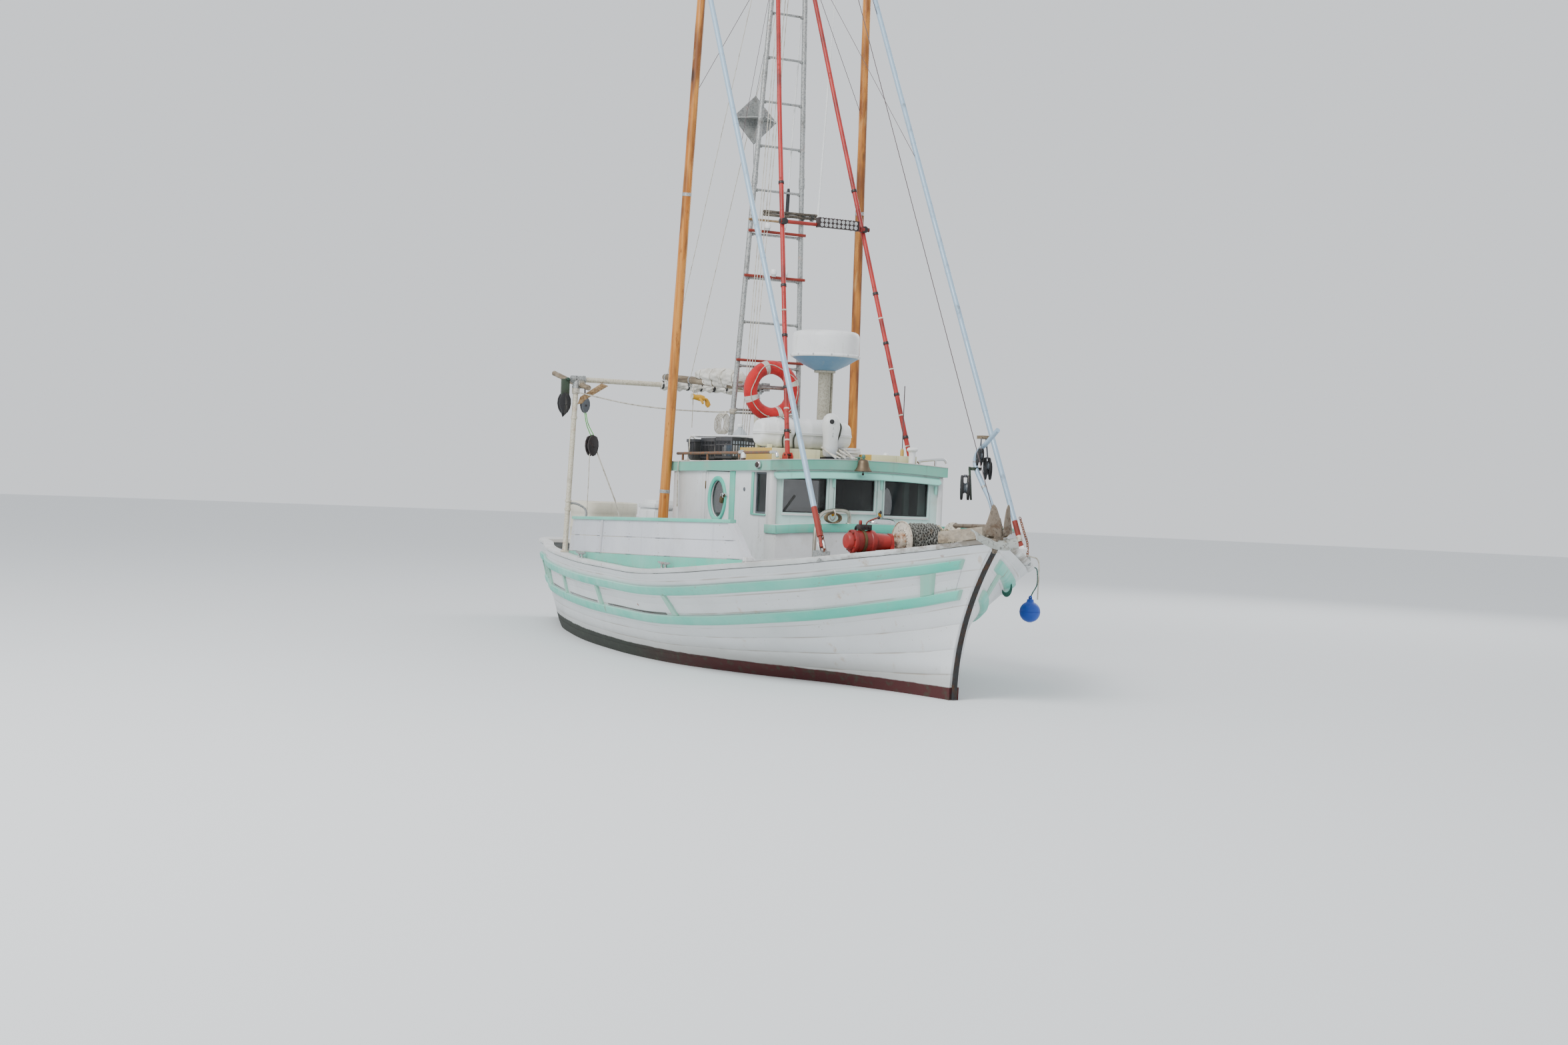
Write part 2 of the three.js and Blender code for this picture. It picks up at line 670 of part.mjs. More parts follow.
// Two pipe legs that lean together, with rungs between them and a plate across their heads.
function mast() {
  const legs = [-1, 1].map((side) => rod(mastPoint(side, 1800), mastPoint(side, MAST.head), MAST.radius));
  const rungs = Array.from({ length: MAST.rungs }, (_, i) => {
    const z = MAST.firstRung + i * MAST.rungStep;
    return rod(mastPoint(-1, z), mastPoint(1, z), MAST.rungRadius, MAST.rungRadius, 6);
  });
  const [headX, , headZ] = mastPoint(1, MAST.head);
  const cap = box(headX - 40, headX + 40, -140, 140, headZ - 60, headZ + 12);
  const gooseneck = box(BOOM.x + 45, MAST.x + 30, -30, 30, BOOM.z - 40, BOOM.z + 40);
  const [, legHalf] = mastPoint(1, BOOM.z);
  const yoke = rod([MAST.x + 26, -legHalf, BOOM.z], [MAST.x + 26, legHalf, BOOM.z], 20);
  return joined(...legs, ...rungs, cap, gooseneck, yoke).subtract(belowRoofTop);
}

// Two thin laths lashed together across the front of the mast, reaching out to port.
function crosstree() {
  const z = 4276;
  const x = mastPoint(1, z)[0] + MAST.radius + 17;
  const laths = [-13, 13].map((up) => rod([x, -160, z + up], [x, 460, z + up + 10], 15, 15, 10));
  return joined(...laths);
}

// Pipe stay from the front of the house roof to the hounds of the mast.
function redStay(side) {
  const hounds = mastPoint(side, MAST.hounds);
  const foot = [RED_STAY.x, side * RED_STAY.y, 1700];
  const stay = rod(foot, [hounds[0] + 6, hounds[1], hounds[2]], RED_STAY.radius, RED_STAY.radius, 10);
  const base = new THREE.Vector3(RED_STAY.x - 80, side * (RED_STAY.y - 20), 0);
  const pad = box(base.x - 55, base.x + 55, base.y - 55, base.y + 55, 1800, 1972);
  return joined(stay, pad).subtract(belowRoofTop).subtract(mastLegClearance(side));
}

function mastLegClearance(side) {
  return rod(mastPoint(side, 6000), mastPoint(side, 7200), MAST.radius + GAP);
}

// Crossbar between the red stays, with the dark lamp bar clamped to it.
function lampBar() {
  const z = 4080;
  const share = (z - 1700) / (MAST.hounds - 1700);
  const hounds = mastPoint(1, MAST.hounds);
  const x = RED_STAY.x + (hounds[0] - RED_STAY.x) * share + RED_STAY.radius + 22;
  const half = RED_STAY.y + (hounds[1] - RED_STAY.y) * share + 40;
  const bar = rod([x, -half, z], [x, half, z], 17, 17, 10);
  const lamp = box(x - 4, x + 62, -90, 330, z - 28, z + 63);
  return joined(bar, lamp);
}

// Boom about the gooseneck: it runs aft, and rests on the gallows.
function boomSpar() {
  const length = BOOM.x - BOOM.endX;
  const rise = BOOM.endZ - BOOM.z;
  const spar = rod([-30, 0, 0], [-length, 0, rise], BOOM.radius, BOOM.radius - 8);
  const jaw = box(-60, 24, -26, 26, -30, 30);
  return joined(spar, jaw);
}

// Sail furled along the middle of the boom, bound round with cord.
function furledSail() {
  const [from, to] = [-420, -1440];
  const rise = (BOOM.endZ - BOOM.z) / (BOOM.x - BOOM.endX);
  const rings = [];
  const steps = 12;
  const sides = 12;
  for (let i = 0; i <= steps; i += 1) {
    const along = i / steps;
    const x = from + (to - from) * along;
    const swell = (100 - 28 * along) * (0.5 + 0.5 * Math.sin(Math.PI * along) ** 0.35);
    const middle = -x * rise + 70;
    rings.push(Array.from({ length: sides }, (_, j) => {
      const turn = ((j + 0.5) / sides) * Math.PI * 2;
      return [x, swell * Math.sin(turn), middle + swell * Math.cos(turn)];
    }));
  }
  const clear = rod([0, 0, 0], [-2600, 0, 2600 * rise], BOOM.radius + GAP);
  return loft(rings).subtract(clear);
}

// Pipe frame across the after deck, whose posts stand on the cap rail.
function gallows() {
  const posts = [-1, 1].map((side) => rod(
    [GALLOWS.x, side * GALLOWS.footHalf, 780], [GALLOWS.x - 15, side * GALLOWS.topHalf, GALLOWS.top],
    GALLOWS.radius,
  ));
  const cross = rod(
    [GALLOWS.x - 15, -GALLOWS.topHalf - 60, GALLOWS.top],
    [GALLOWS.x - 15, GALLOWS.topHalf + 60, GALLOWS.top], GALLOWS.radius,
  );
  const feet = [-1, 1].map((side) => rod(
    [GALLOWS.x, side * GALLOWS.footHalf, 780], [GALLOWS.x, side * GALLOWS.footHalf, 912], 46,
  ));
  return joined(...posts, cross, ...feet, gallowsSpar()).subtract(belowCap);
}

// Short wooden spar that sticks out aft from the starboard end of the gallows.
function gallowsSpar() {
  const y = -GALLOWS.topHalf + 70;
  const z = GALLOWS.top + GALLOWS.radius + 20;
  return rod([GALLOWS.x + 260, y, z - 30], [GALLOWS.x - 640, y - 40, z + 60], 30, 24, 10);
}

// Post that carries a pole at its heel, standing on the deck beside the house.
function poleStep(side) {
  const { x, y, pivotZ } = TROLLING_POLE;
  const post = box(x - 60, x + 60, side * y - 48, side * y + 48, 300, pivotZ - 70);
  const cheeks = [-1, 1].map((end) => box(
    x + end * 67 - 6, x + end * 67 + 6, side * y - 40, side * y + 40, pivotZ - 150, pivotZ + 45,
  ));
  const web = box(x - 72, x + 72, side * y - 48, side * y + 48, pivotZ - 150, pivotZ - 90);
  return joined(post, web, ...cheeks).subtract(belowDeck);
}

// Pole about its heel pin, along its own Z axis.
function trollingPole() {
  const length = TROLLING_POLE.top - TROLLING_POLE.pivotZ;
  const pole = rod([0, 0, 0], [0, 0, length], TROLLING_POLE.footRadius, TROLLING_POLE.tipRadius);
  const heel = box(-52, 52, -42, 42, -46, 60);
  return joined(pole, heel);
}

// Bow pole about its pin: the pin lies along X and the stowed pole along Z.
function bowPole(name) {
  const pole = rod([0, 0, 44], [0, 0, BOW_POLE[name].length], BOW_POLE.radius);
  const eye = box(-12, 12, -20, 20, -24, 80);
  return joined(pole, eye);
}

// Placement of a bow pole's own axes in the boat, from its stowed and its swung directions.
function bowPoleFrame(side) {
  const [stowed, out] = [BOW_POLE[side < 0 ? 'starboard' : 'port'].stowed, BOW_POLE.out]
    .map(([x, y, z]) => new THREE.Vector3(x, side * y, z).normalize());
  const pin = stowed.clone().cross(out).normalize();
  const frame = new THREE.Matrix4().makeBasis(pin, stowed.clone().cross(pin), stowed);
  return frame.setPosition(BOW_POLE.x, side * BOW_POLE.y, BOW_POLE.pivotZ);
}

// Foot bracket of a bow pole, fixed into the cap rail: a pad with two ears about the pin.
function bowPoleFoot(side) {
  const { x, y, pivotZ } = BOW_POLE;
  const railTop = topside(placeAt(x), 0).z;
  const pad = box(x - 60, x + 60, side * y - 50, side * y + 50, railTop - 30, pivotZ - 48);
  const ears = [-1, 1].map((end) => box(end * 22 - 6, end * 22 + 6, -24, 24, -75, 24));
  const placed = joined(...ears).transform(bowPoleFrame(side).elements);
  const spreader = box(x - 60, x + 60, side * y - 50, side * y + 50, pivotZ - 70, pivotZ - 48);
  return joined(pad, spreader, placed);
}

function radomePost() {
  const { x, y, z } = RADOME;
  const post = rod([x, y, 1800], [x, y, z - 4], 58, 58, 16);
  const flange = rod([x, y, z - 18], [x, y, z - GAP], 100, 100, 16);
  return joined(post, flange).subtract(belowRoofTop);
}

// White drum over a conical pan, about its own axis.
function radome() {
  const r = RADOME.radius;
  return turned([
    [0, 0], [96, 0], [110, 6], [r - 30, 108], [r - 4, 118], [r, 128], [r, 142], [r - 8, 146],
    [r - 12, 336], [r - 42, 362], [0, 370],
  ], 28);
}

function lifeRing() {
  const ring = new THREE.TorusGeometry(LIFE_RING.radius, LIFE_RING.tube, 10, 26);
  ring.rotateY(Math.PI / 2);
  return toSolid(ring);
}

// Canister that lies across the roof, in two halves with a joint band.
function raftCanister() {
  return turnedAboutY([
    [0, -460], [70, -452], [112, -425], [132, -370], [132, -14], [140, -10], [140, 10], [132, 14],
    [132, 370], [112, 425], [70, 452], [0, 460],
  ], 18);
}

// Boards that carry the canister and the boxes on the roof.
function roofBoards() {
  const boards = [
    // x from, x to, y from, y to, top
    [1770, 1890, -700, 700, 2012],
    [1950, 2120, -780, 850, 2012],
  ];
  const planks = boards.map(([x0, x1, y0, y1, top]) => box(x0, x1, y0, y1, 1800, top));
  return joined(...planks, box(1780, 2110, -640, -560, 1800, 2012), box(1780, 2110, 560, 640, 1800, 2012))
    .subtract(belowRoofTop);
}

function beacon() {
  const body = rod([0, 0, 0], [0, 0, 250], 62, 74, 14);
  const dome = rod([0, 0, 250], [0, 0, 330], 74, 40, 14);
  return joined(body, dome);
}

// Bell under its bracket on the fascia, about the bell's own axis.
function bell() {
  const cup = turned([
    [0, 0], [74, 0], [76, 6], [58, 34], [47, 72], [40, 96], [24, 106], [0, 108],
  ], 20);
  const knob = rod([0, 0, 100], [0, 0, 146], 13, 8, 8);
  const arm = box(-130, 12, -14, 14, 118, 128);
  const foot = box(-130, -100, -14, 14, 102, 124);
  return joined(cup, knob, arm, foot);
}

function turnedAboutY(profile, sides = 32) {
  return turned(profile, sides).rotate([-90, 0, 0]);
}

// Drum with its flanges, the coiled chain and the warping end, about its own axis along Y.
function winchDrum() {
  const { flangeRadius, half, coreRadius } = WINCH;
  return turnedAboutY([
    [0, -half - 136], [20, -half - 136], [20, -half - 60], [70, -half - 56], [80, -half - 12],
    [flangeRadius, -half - 12], [flangeRadius, -half], [coreRadius + 8, -half + 6],
    [coreRadius + 46, -140], [coreRadius + 50, -40], [coreRadius + 36, 80], [coreRadius - 4, half - 6],
    [flangeRadius, half], [flangeRadius, half + 12], [60, half + 16], [52, half + 60],
    [58, half + 100], [84, half + 128], [84, half + 138], [20, half + 140], [20, half + 215],
    [0, half + 215],
  ], 20);
}

// Bedplate and the two bearing posts of the winch.
function winchFrame() {
  const { x, z, half } = WINCH;
  const bed = box(x - 150, x + 90, -half - 130, half + 200, 702, 790);
  const shaftWay = rod([x, -900, z], [x, 900, z], 22, 22, 16);
  const posts = [[-half - 142, -half - 106], [half + 160, half + 200]].map(([y0, y1]) => sidePlate(
    [[x - 150, 715], [x + 90, 715], [x + 50, z + 60], [x - 50, z + 60]], y0, y1,
  ));
  return joined(bed, ...posts, winchMotor()).subtract(shaftWay).subtract(belowDeck);
}

// Hydraulic motor and gear case on the starboard side of the winch.
function winchMotor() {
  const { x, z, half } = WINCH;
  const y = -half - 141;
  const gear = rod([x, y, z - 10], [x, y - 144, z - 10], 62, 74, 16);
  const body = rod([x, y - 142, z - 10], [x, y - 354, z - 10], 96, 96, 18);
  const cover = rod([x, y - 352, z - 10], [x, y - 396, z - 10], 74, 60, 16);
  const bracket = box(x - 60, x + 60, y - 324, y + 20, z - 160, z - 80);
  const valve = box(x - 34, x + 34, y - 284, y - 174, z + 70, z + 128);
  const lever = rod([x, y - 214, z + 120], [x + 30, y - 114, z + 190], 7, 7, 8);
  return joined(gear, body, cover, bracket, valve, lever);
}

// Low cheeks at the stem head with a roller between them.
function bowRoller() {
  const outline = [[4440, 1300], [4835, 1344], [4890, 1390], [4840, 1420], [4700, 1392], [4440, 1372]];
  const cheeks = [[-92, -80], [80, 92]].map(([y0, y1]) => sidePlate(outline, y0, y1));
  const floor = box(4440, 4800, -92, 92, 1238, 1352);
  const [x, z] = [4848, 1384];
  const pin = rod([x, -98, z], [x, 98, z], 9);
  const roller = rod([x, -60, z], [x, 60, z], 22, 22, 16);
  return joined(floor, ...cheeks, pin, roller).subtract(belowCap);
}

// Claw anchor stowed over the roller: shank, curved dish, two upright palms and a tongue below.
function anchor() {
  const { x, y, z } = ANCHOR;
  const shank = rod([x, y - 8, z], [4230, -20, z + 55], 20, 16, 8);
  const tongue = rod([x - 3, y - 63, 1335], [x + 8, y - 63, 1220], 32, 18, 10);
  const web = box(x - 22, x - 4, y - 60, y + 22, 1305, 1500);
  return joined(shank, anchorDish(), tongue, web, anchorPalm(-1), anchorPalm(1));
}

// Curved plate that dips in the middle and droops towards its fore edge and its port end.
function anchorDish() {
  const steps = 10;
  const rings = [[4926, 0], [4964, 8], [5008, 34]].map(([x, drop]) => {
    const upper = Array.from({ length: steps + 1 }, (_, i) => {
      const across = i / steps;
      return [x, -305 + 400 * across, 1408 - drop - 62 * across - 44 * Math.sin(Math.PI * across)];
    });
    const lower = upper.map(([px, py, pz]) => [px, py, pz - 16]).reverse();
    return [...upper, ...lower];
  });
  return loft(rings);
}

// Upright palm, leaning back from the anchor's middle. Side is -1 to starboard.
function anchorPalm(side) {
  const low = side < 0 ? 1322 : 1348;
  const outline = [
    [2, low], [2, 1455], [-26, 1550], [-50, 1598], [-66, 1605], [-84, 1560], [-112, 1485],
    [-152, 1400], [-140, low + 6],
  ];
  const palm = sidePlate(outline, -8, 8).rotate([0, 0, 90 - ANCHOR.lean]);
  const placed = palm.translate([ANCHOR.x + 6, -15, 0]);
  return (side < 0 ? placed : placed.scale([1, -1, 1])).translate([0, ANCHOR.y, 0]);
}

// Bent pipe that leans aft from the stem head and hooks forward at its top.
function bowDavit() {
  const y = 118;
  const foot = topside(placeAt(4672), 0).z;
  const path = [
    [4674, foot - 30], [4656, 1352], [4554, 1597], [4430, 1740], [4317, 1872], [4291, 1952],
    [4340, 2026], [4448, 2088], [4605, 2194],
  ];
  return bentPipe(path.map(([x, z]) => [x, y, z]), 20, 30).subtract(belowCap);
}

// Propeller about its own axis along X.
function propeller() {
  const hub = joined(rod([-55, 0, 0], [60, 0, 0], 46, 52, 14), rod([50, 0, 0], [86, 0, 0], 26));
  const blades = [0, 1, 2].map((i) => {
    const outline = [
      [-10, 20], [60, 90], [92, 170], [70, 235], [0, 252], [-70, 235], [-92, 170], [-60, 90],
    ];
    return sidePlate(outline, -7, 7).rotate([0, 0, 62]).rotate([i * 120, 0, 0]);
  });
  return joined(hub, ...blades);
}

// Rudder blade about its stock, which runs along Z.
function rudder() {
  const { top, bottom, thick, chord } = RUDDER;
  const blade = sidePlate(
    [
      [60, top - 150], [60, bottom], [-chord + 60, bottom + 40],
      [-chord, bottom + 200], [-chord + 40, top - 150],
    ],
    -thick / 2, thick / 2,
  );
  const stock = rod([0, 0, bottom - 6], [0, 0, top + 36], 26);
  return joined(blade, stock);
}

function hatchCoaming() {
  const { x0, x1, half, height } = HATCH;
  const top = deckZ(-800) + height;
  return box(x0, x1, -half, half, 300, top)
    .subtract(box(x0 + 50, x1 - 50, -half + 50, half - 50, 0, top + 100))
    .subtract(belowDeck);
}

// Lid about its hinge on the after edge of the coaming.
function hatchCover() {
  const { x0, x1, half, thick } = HATCH;
  const length = x1 - x0;
  const plate = box(6, length + 30, -half - 30, half + 30, 0, thick);
  return plate;
}

// Rounded tank on the after deck.
function bait() {
  const shape = new THREE.Shape();
  const [half, corner] = [310, 110];
  shape.moveTo(half, half - corner);
  shape.absarc(half - corner, half - corner, corner, 0, Math.PI / 2);
  shape.absarc(-half + corner, half - corner, corner, Math.PI / 2, Math.PI);
  shape.absarc(-half + corner, -half + corner, corner, Math.PI, Math.PI * 1.5);
  shape.absarc(half - corner, -half + corner, corner, Math.PI * 1.5, Math.PI * 2);
  const geometry = new THREE.ExtrudeGeometry(shape, {
    depth: 930, bevelEnabled: true, bevelSize: 0, bevelThickness: 0, curveSegments: 6,
  });
  return toSolid(geometry);
}

function deckLocker() {
  return box(-300, 90, -860, -500, 300, 1487).subtract(belowDeck);
}

// Stainless rail from the foredeck up on to the trunk.
function trunkRail() {
  return bentPipe([
    [2975, -620, deckZ(2975) + 6], [2965, -620, 1000], [2945, -600, 1330], [2890, -520, 1450],
    [2810, -360, 1482], [2740, -200, 1478], [2715, -150, 1440], [2712, -148, TRUNK.top + TRUNK.crown + 2],
  ], 17, 30);
}

function fender() {
  return toSolid(new THREE.SphereGeometry(94, 14, 10));
}

// Reflector of three crossed diamond plates.
function radarReflector() {
  const reach = 238;
  const diamond = sidePlate([[reach, 0], [0, reach], [-reach, 0], [0, -reach]], -6, 6);
  return joined(diamond, diamond.rotate([90, 0, 0]), diamond.rotate([0, 0, 90]));
}

addPart('hull', hull(), 'hullWhite');
addPart('keel', keel(), 'oxide');
addPart('stem_band', stemBand(), 'iron');
addPart('deck', deck(), 'deckGrey');
addPart('fore_deck', deckPlate(DECK_JOINT + 0.001, 14.95), 'deckGrey');
addPart('bulwark', bulwark(), 'hullWhite');
addPart('cap_rail', capRail(), 'hullWhite');

const SIDES = [
  // name, sign of y
  ['starboard', -1],
  ['port', 1],
];

addPart('house_front', houseFront(), 'mint');
addPart('house_side_starboard', houseSide(-1, sideCuts(true)), 'hullWhite');
addPart('house_side_port', houseSide(1, sideCuts(false)), 'hullWhite');
addPart('house_back', houseBack(), 'hullWhite');
addPart('house_roof', houseRoof(), 'cream');
addPart('roof_fascia', fascia(), 'turquoise');
addPart('window_trim', windowTrim(), 'mint');
addPart('trunk_cabin', trunkCabin(), 'hullWhite');
['starboard', 'centre', 'port'].forEach((name, row) => {
  addPart(`front_glass_${name}`, frontGlass(row), 'glass');
});

const doorHinge = new THREE.Group();
const houseTaper = Math.atan2(HOUSE.aftHalf - HOUSE.frontHalf, HOUSE.frontX - HOUSE.aftX);
const hingeReach = DOOR.aftX - HOUSE.aftX;
doorHinge.position.set(DOOR.aftX, -HOUSE.aftHalf + hingeReach * Math.tan(houseTaper), 0);
doorHinge.rotation.z = houseTaper;
boat.add(doorHinge);
addPart('side_door', doorLeaf(), 'hullWhite', doorHinge);

addPart('engine', engine(), 'engineGreen');
const helm = new THREE.Group();
helm.position.set(2490, -380, 1210);
boat.add(helm);
addPart('helm_wheel', helmWheel(), 'varnish', helm);

addPart('mast', mast(), 'galvanised');
addPart('crosstree', crosstree(), 'weathered');
addPart('lamp_bar', lampBar(), 'red');

const gooseneck = new THREE.Group();
gooseneck.position.set(BOOM.x, 0, BOOM.z);
boat.add(gooseneck);
addPart('boom', boomSpar(), 'weathered', gooseneck);
addPart('furled_sail', furledSail(), 'canvas', gooseneck);
addPart('gallows', gallows(), 'galvanised');

SIDES.forEach(([name, side]) => {
  addPart(`rub_rails_${name}`, rubRails(side), 'turquoise');
  addPart(`weather_boards_${name}`, weatherBoards(side), 'hullWhite');
  addPart(`red_stay_${name}`, redStay(side), 'red');
  addPart(`pole_step_${name}`, poleStep(side), 'galvanised');

  const heel = new THREE.Group();
  heel.position.set(TROLLING_POLE.x, side * TROLLING_POLE.y, TROLLING_POLE.pivotZ);
  heel.rotation.set(side * TROLLING_POLE.inboard, TROLLING_POLE.forward, 0);
  boat.add(heel);
  addPart(`trolling_pole_${name}`, trollingPole(), 'varnish', heel);

  const foot = new THREE.Group();
  bowPoleFrame(side).decompose(foot.position, foot.quaternion, foot.scale);
  boat.add(foot);
  addPart(`bow_pole_${name}`, bowPole(name), 'paleBlue', foot);
});

addPart('radome_post', radomePost(), 'galvanised');
const radomeSeat = new THREE.Group();
radomeSeat.position.set(RADOME.x, RADOME.y, RADOME.z);
boat.add(radomeSeat);
addPart('radome', radome(), 'plastic', radomeSeat);

const ringHook = new THREE.Group();
ringHook.position.set(mastPoint(1, LIFE_RING.z)[0] + MAST.radius + LIFE_RING.tube - 2, 6, LIFE_RING.z);
boat.add(ringHook);
addPart('life_ring', lifeRing(), 'red', ringHook);

addPart('roof_boards', roofBoards(), 'cream');
const raftSeat = new THREE.Group();
raftSeat.position.set(1930, -232, 2152);
boat.add(raftSeat);
addPart('raft_canister', raftCanister(), 'plastic', raftSeat);

const beaconSeat = new THREE.Group();
beaconSeat.position.set(2200, -60, 1950);
boat.add(beaconSeat);
addPart('beacon', beacon(), 'plastic', beaconSeat);

const bellHook = new THREE.Group();
bellHook.position.set(ROOF.frontX + 85, -30, 1831);
boat.add(bellHook);
addPart('bell', bell(), 'bronze', bellHook);

addPart('winch_frame', winchFrame(), 'red');
const drumAxle = new THREE.Group();
drumAxle.position.set(WINCH.x, 0, WINCH.z);
boat.add(drumAxle);
addPart('winch_drum', winchDrum(), 'galvanised', drumAxle);

addPart('bow_roller', bowRoller(), 'iron');
addPart('anchor', anchor(), 'iron');
addPart('bow_davit', bowDavit(), 'paleBlue');
addPart('trunk_rail', trunkRail(), 'stainless');

const screwAxle = new THREE.Group();
screwAxle.position.set(PROPELLER.x, 0, PROPELLER.z);
boat.add(screwAxle);
addPart('propeller', propeller(), 'bronze', screwAxle);

const rudderStock = new THREE.Group();
rudderStock.position.set(RUDDER.x, 0, 0);
boat.add(rudderStock);
addPart('rudder', rudder(), 'oxide', rudderStock);

addPart('hatch_coaming', hatchCoaming(), 'hullWhite');
const hatchHinge = new THREE.Group();
hatchHinge.position.set(HATCH.x0, 0, deckZ(-800) + HATCH.height + GAP);
boat.add(hatchHinge);
addPart('hatch_cover', hatchCover(), 'hullWhite', hatchHinge);

const tankSeat = new THREE.Group();
tankSeat.position.set(-2580, -300, deckZ(-2890) + 1);
boat.add(tankSeat);
addPart('bait_tank', bait(), 'cream', tankSeat);
addPart('deck_locker', deckLocker(), 'plastic');

const fenderHook = new THREE.Group();
fenderHook.position.set(3140, 1500, 641);
boat.add(fenderHook);
addPart('fender', fender(), 'fenderBlue', fenderHook);

const reflectorHook = new THREE.Group();
reflectorHook.position.set(530, -155, 5200);
boat.add(reflectorHook);
addPart('radar_reflector', radarReflector(), 'galvanised', reflectorHook);

export default boat;
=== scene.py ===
# Double-ended wooden salmon troller, afloat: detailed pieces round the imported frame.
# Metres, +X forward, +Y to port, +Z up, the water at z = 0.
import json
import math
import random

import bmesh
import bpy
from mathutils import Matrix, Vector

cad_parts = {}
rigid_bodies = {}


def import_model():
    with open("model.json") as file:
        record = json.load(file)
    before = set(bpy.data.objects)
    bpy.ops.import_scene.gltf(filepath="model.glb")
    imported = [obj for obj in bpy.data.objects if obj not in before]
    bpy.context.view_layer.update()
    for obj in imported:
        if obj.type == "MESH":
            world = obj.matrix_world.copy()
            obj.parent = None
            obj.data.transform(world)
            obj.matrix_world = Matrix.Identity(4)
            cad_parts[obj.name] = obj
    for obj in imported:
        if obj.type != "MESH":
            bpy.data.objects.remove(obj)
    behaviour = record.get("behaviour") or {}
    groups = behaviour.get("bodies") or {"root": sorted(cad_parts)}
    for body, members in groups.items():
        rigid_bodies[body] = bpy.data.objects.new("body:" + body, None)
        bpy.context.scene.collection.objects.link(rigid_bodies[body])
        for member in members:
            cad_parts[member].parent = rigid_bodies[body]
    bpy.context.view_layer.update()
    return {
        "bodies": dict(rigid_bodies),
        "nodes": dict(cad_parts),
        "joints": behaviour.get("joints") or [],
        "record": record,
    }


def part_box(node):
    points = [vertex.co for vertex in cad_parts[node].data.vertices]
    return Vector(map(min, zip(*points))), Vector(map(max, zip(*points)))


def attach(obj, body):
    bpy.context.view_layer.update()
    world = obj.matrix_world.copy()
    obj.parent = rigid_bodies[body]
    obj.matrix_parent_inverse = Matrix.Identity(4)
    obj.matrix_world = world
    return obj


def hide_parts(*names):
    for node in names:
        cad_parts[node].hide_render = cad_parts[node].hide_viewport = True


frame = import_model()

print("frame loaded,", len(frame["nodes"]), "nodes")


# camera, light and floor

photoView = {
    "place": (18.0796, -8.7282, 1.6926),
    "right": (0.45801816, 0.88802522, 0.04038044),
    "up": (-0.0354263, -0.02715498, 0.9990033),
    "back": (0.88823665, -0.45899218, 0.01902197),
    "lens": 46.18,
    "sensor": 36.0,
}


def placeCamera():
    data = bpy.data.cameras.new("photoCamera")
    data.lens = photoView["lens"]
    data.sensor_width = photoView["sensor"]
    data.sensor_fit = "HORIZONTAL"
    data.clip_end = 200.0
    camera = bpy.data.objects.new("photoCamera", data)
    bpy.context.scene.collection.objects.link(camera)
    turn = Matrix((photoView["right"], photoView["up"], photoView["back"])).transposed()
    camera.matrix_world = Matrix.Translation(photoView["place"]) @ turn.to_4x4()
    bpy.context.scene.camera = camera


studio = {
    "sky": (0.93, 0.96, 1.0),
    "skyStrength": 1.05,
    "keyPower": 3400.0,
    "keyPlace": (9.0, -13.0, 15.0),
    "keySize": 9.0,
    "fillPower": 700.0,
    "fillPlace": (-6.0, 14.0, 9.0),
    "fillSize": 9.0,
    "floorColor": (0.74, 0.76, 0.77, 1.0),
    "floorReach": 70.0,
}


def placeLights():
    world = bpy.data.worlds.new("studioSky")
    bpy.context.scene.world = world
    world.use_nodes = True
    background = world.node_tree.nodes["Background"]
    background.inputs["Color"].default_value = (*studio["sky"], 1.0)
    background.inputs["Strength"].default_value = studio["skyStrength"]
    for name in ("key", "fill"):
        data = bpy.data.lights.new(name + "Light", "AREA")
        data.energy = studio[name + "Power"]
        data.size = studio[name + "Size"]
        lamp = bpy.data.objects.new(name + "Light", data)
        bpy.context.scene.collection.objects.link(lamp)
        lamp.location = studio[name + "Place"]
        aim = Vector((0.5, 0.0, 1.5)) - lamp.location
        lamp.rotation_euler = aim.to_track_quat("-Z", "Y").to_euler()


# helpers that make meshes

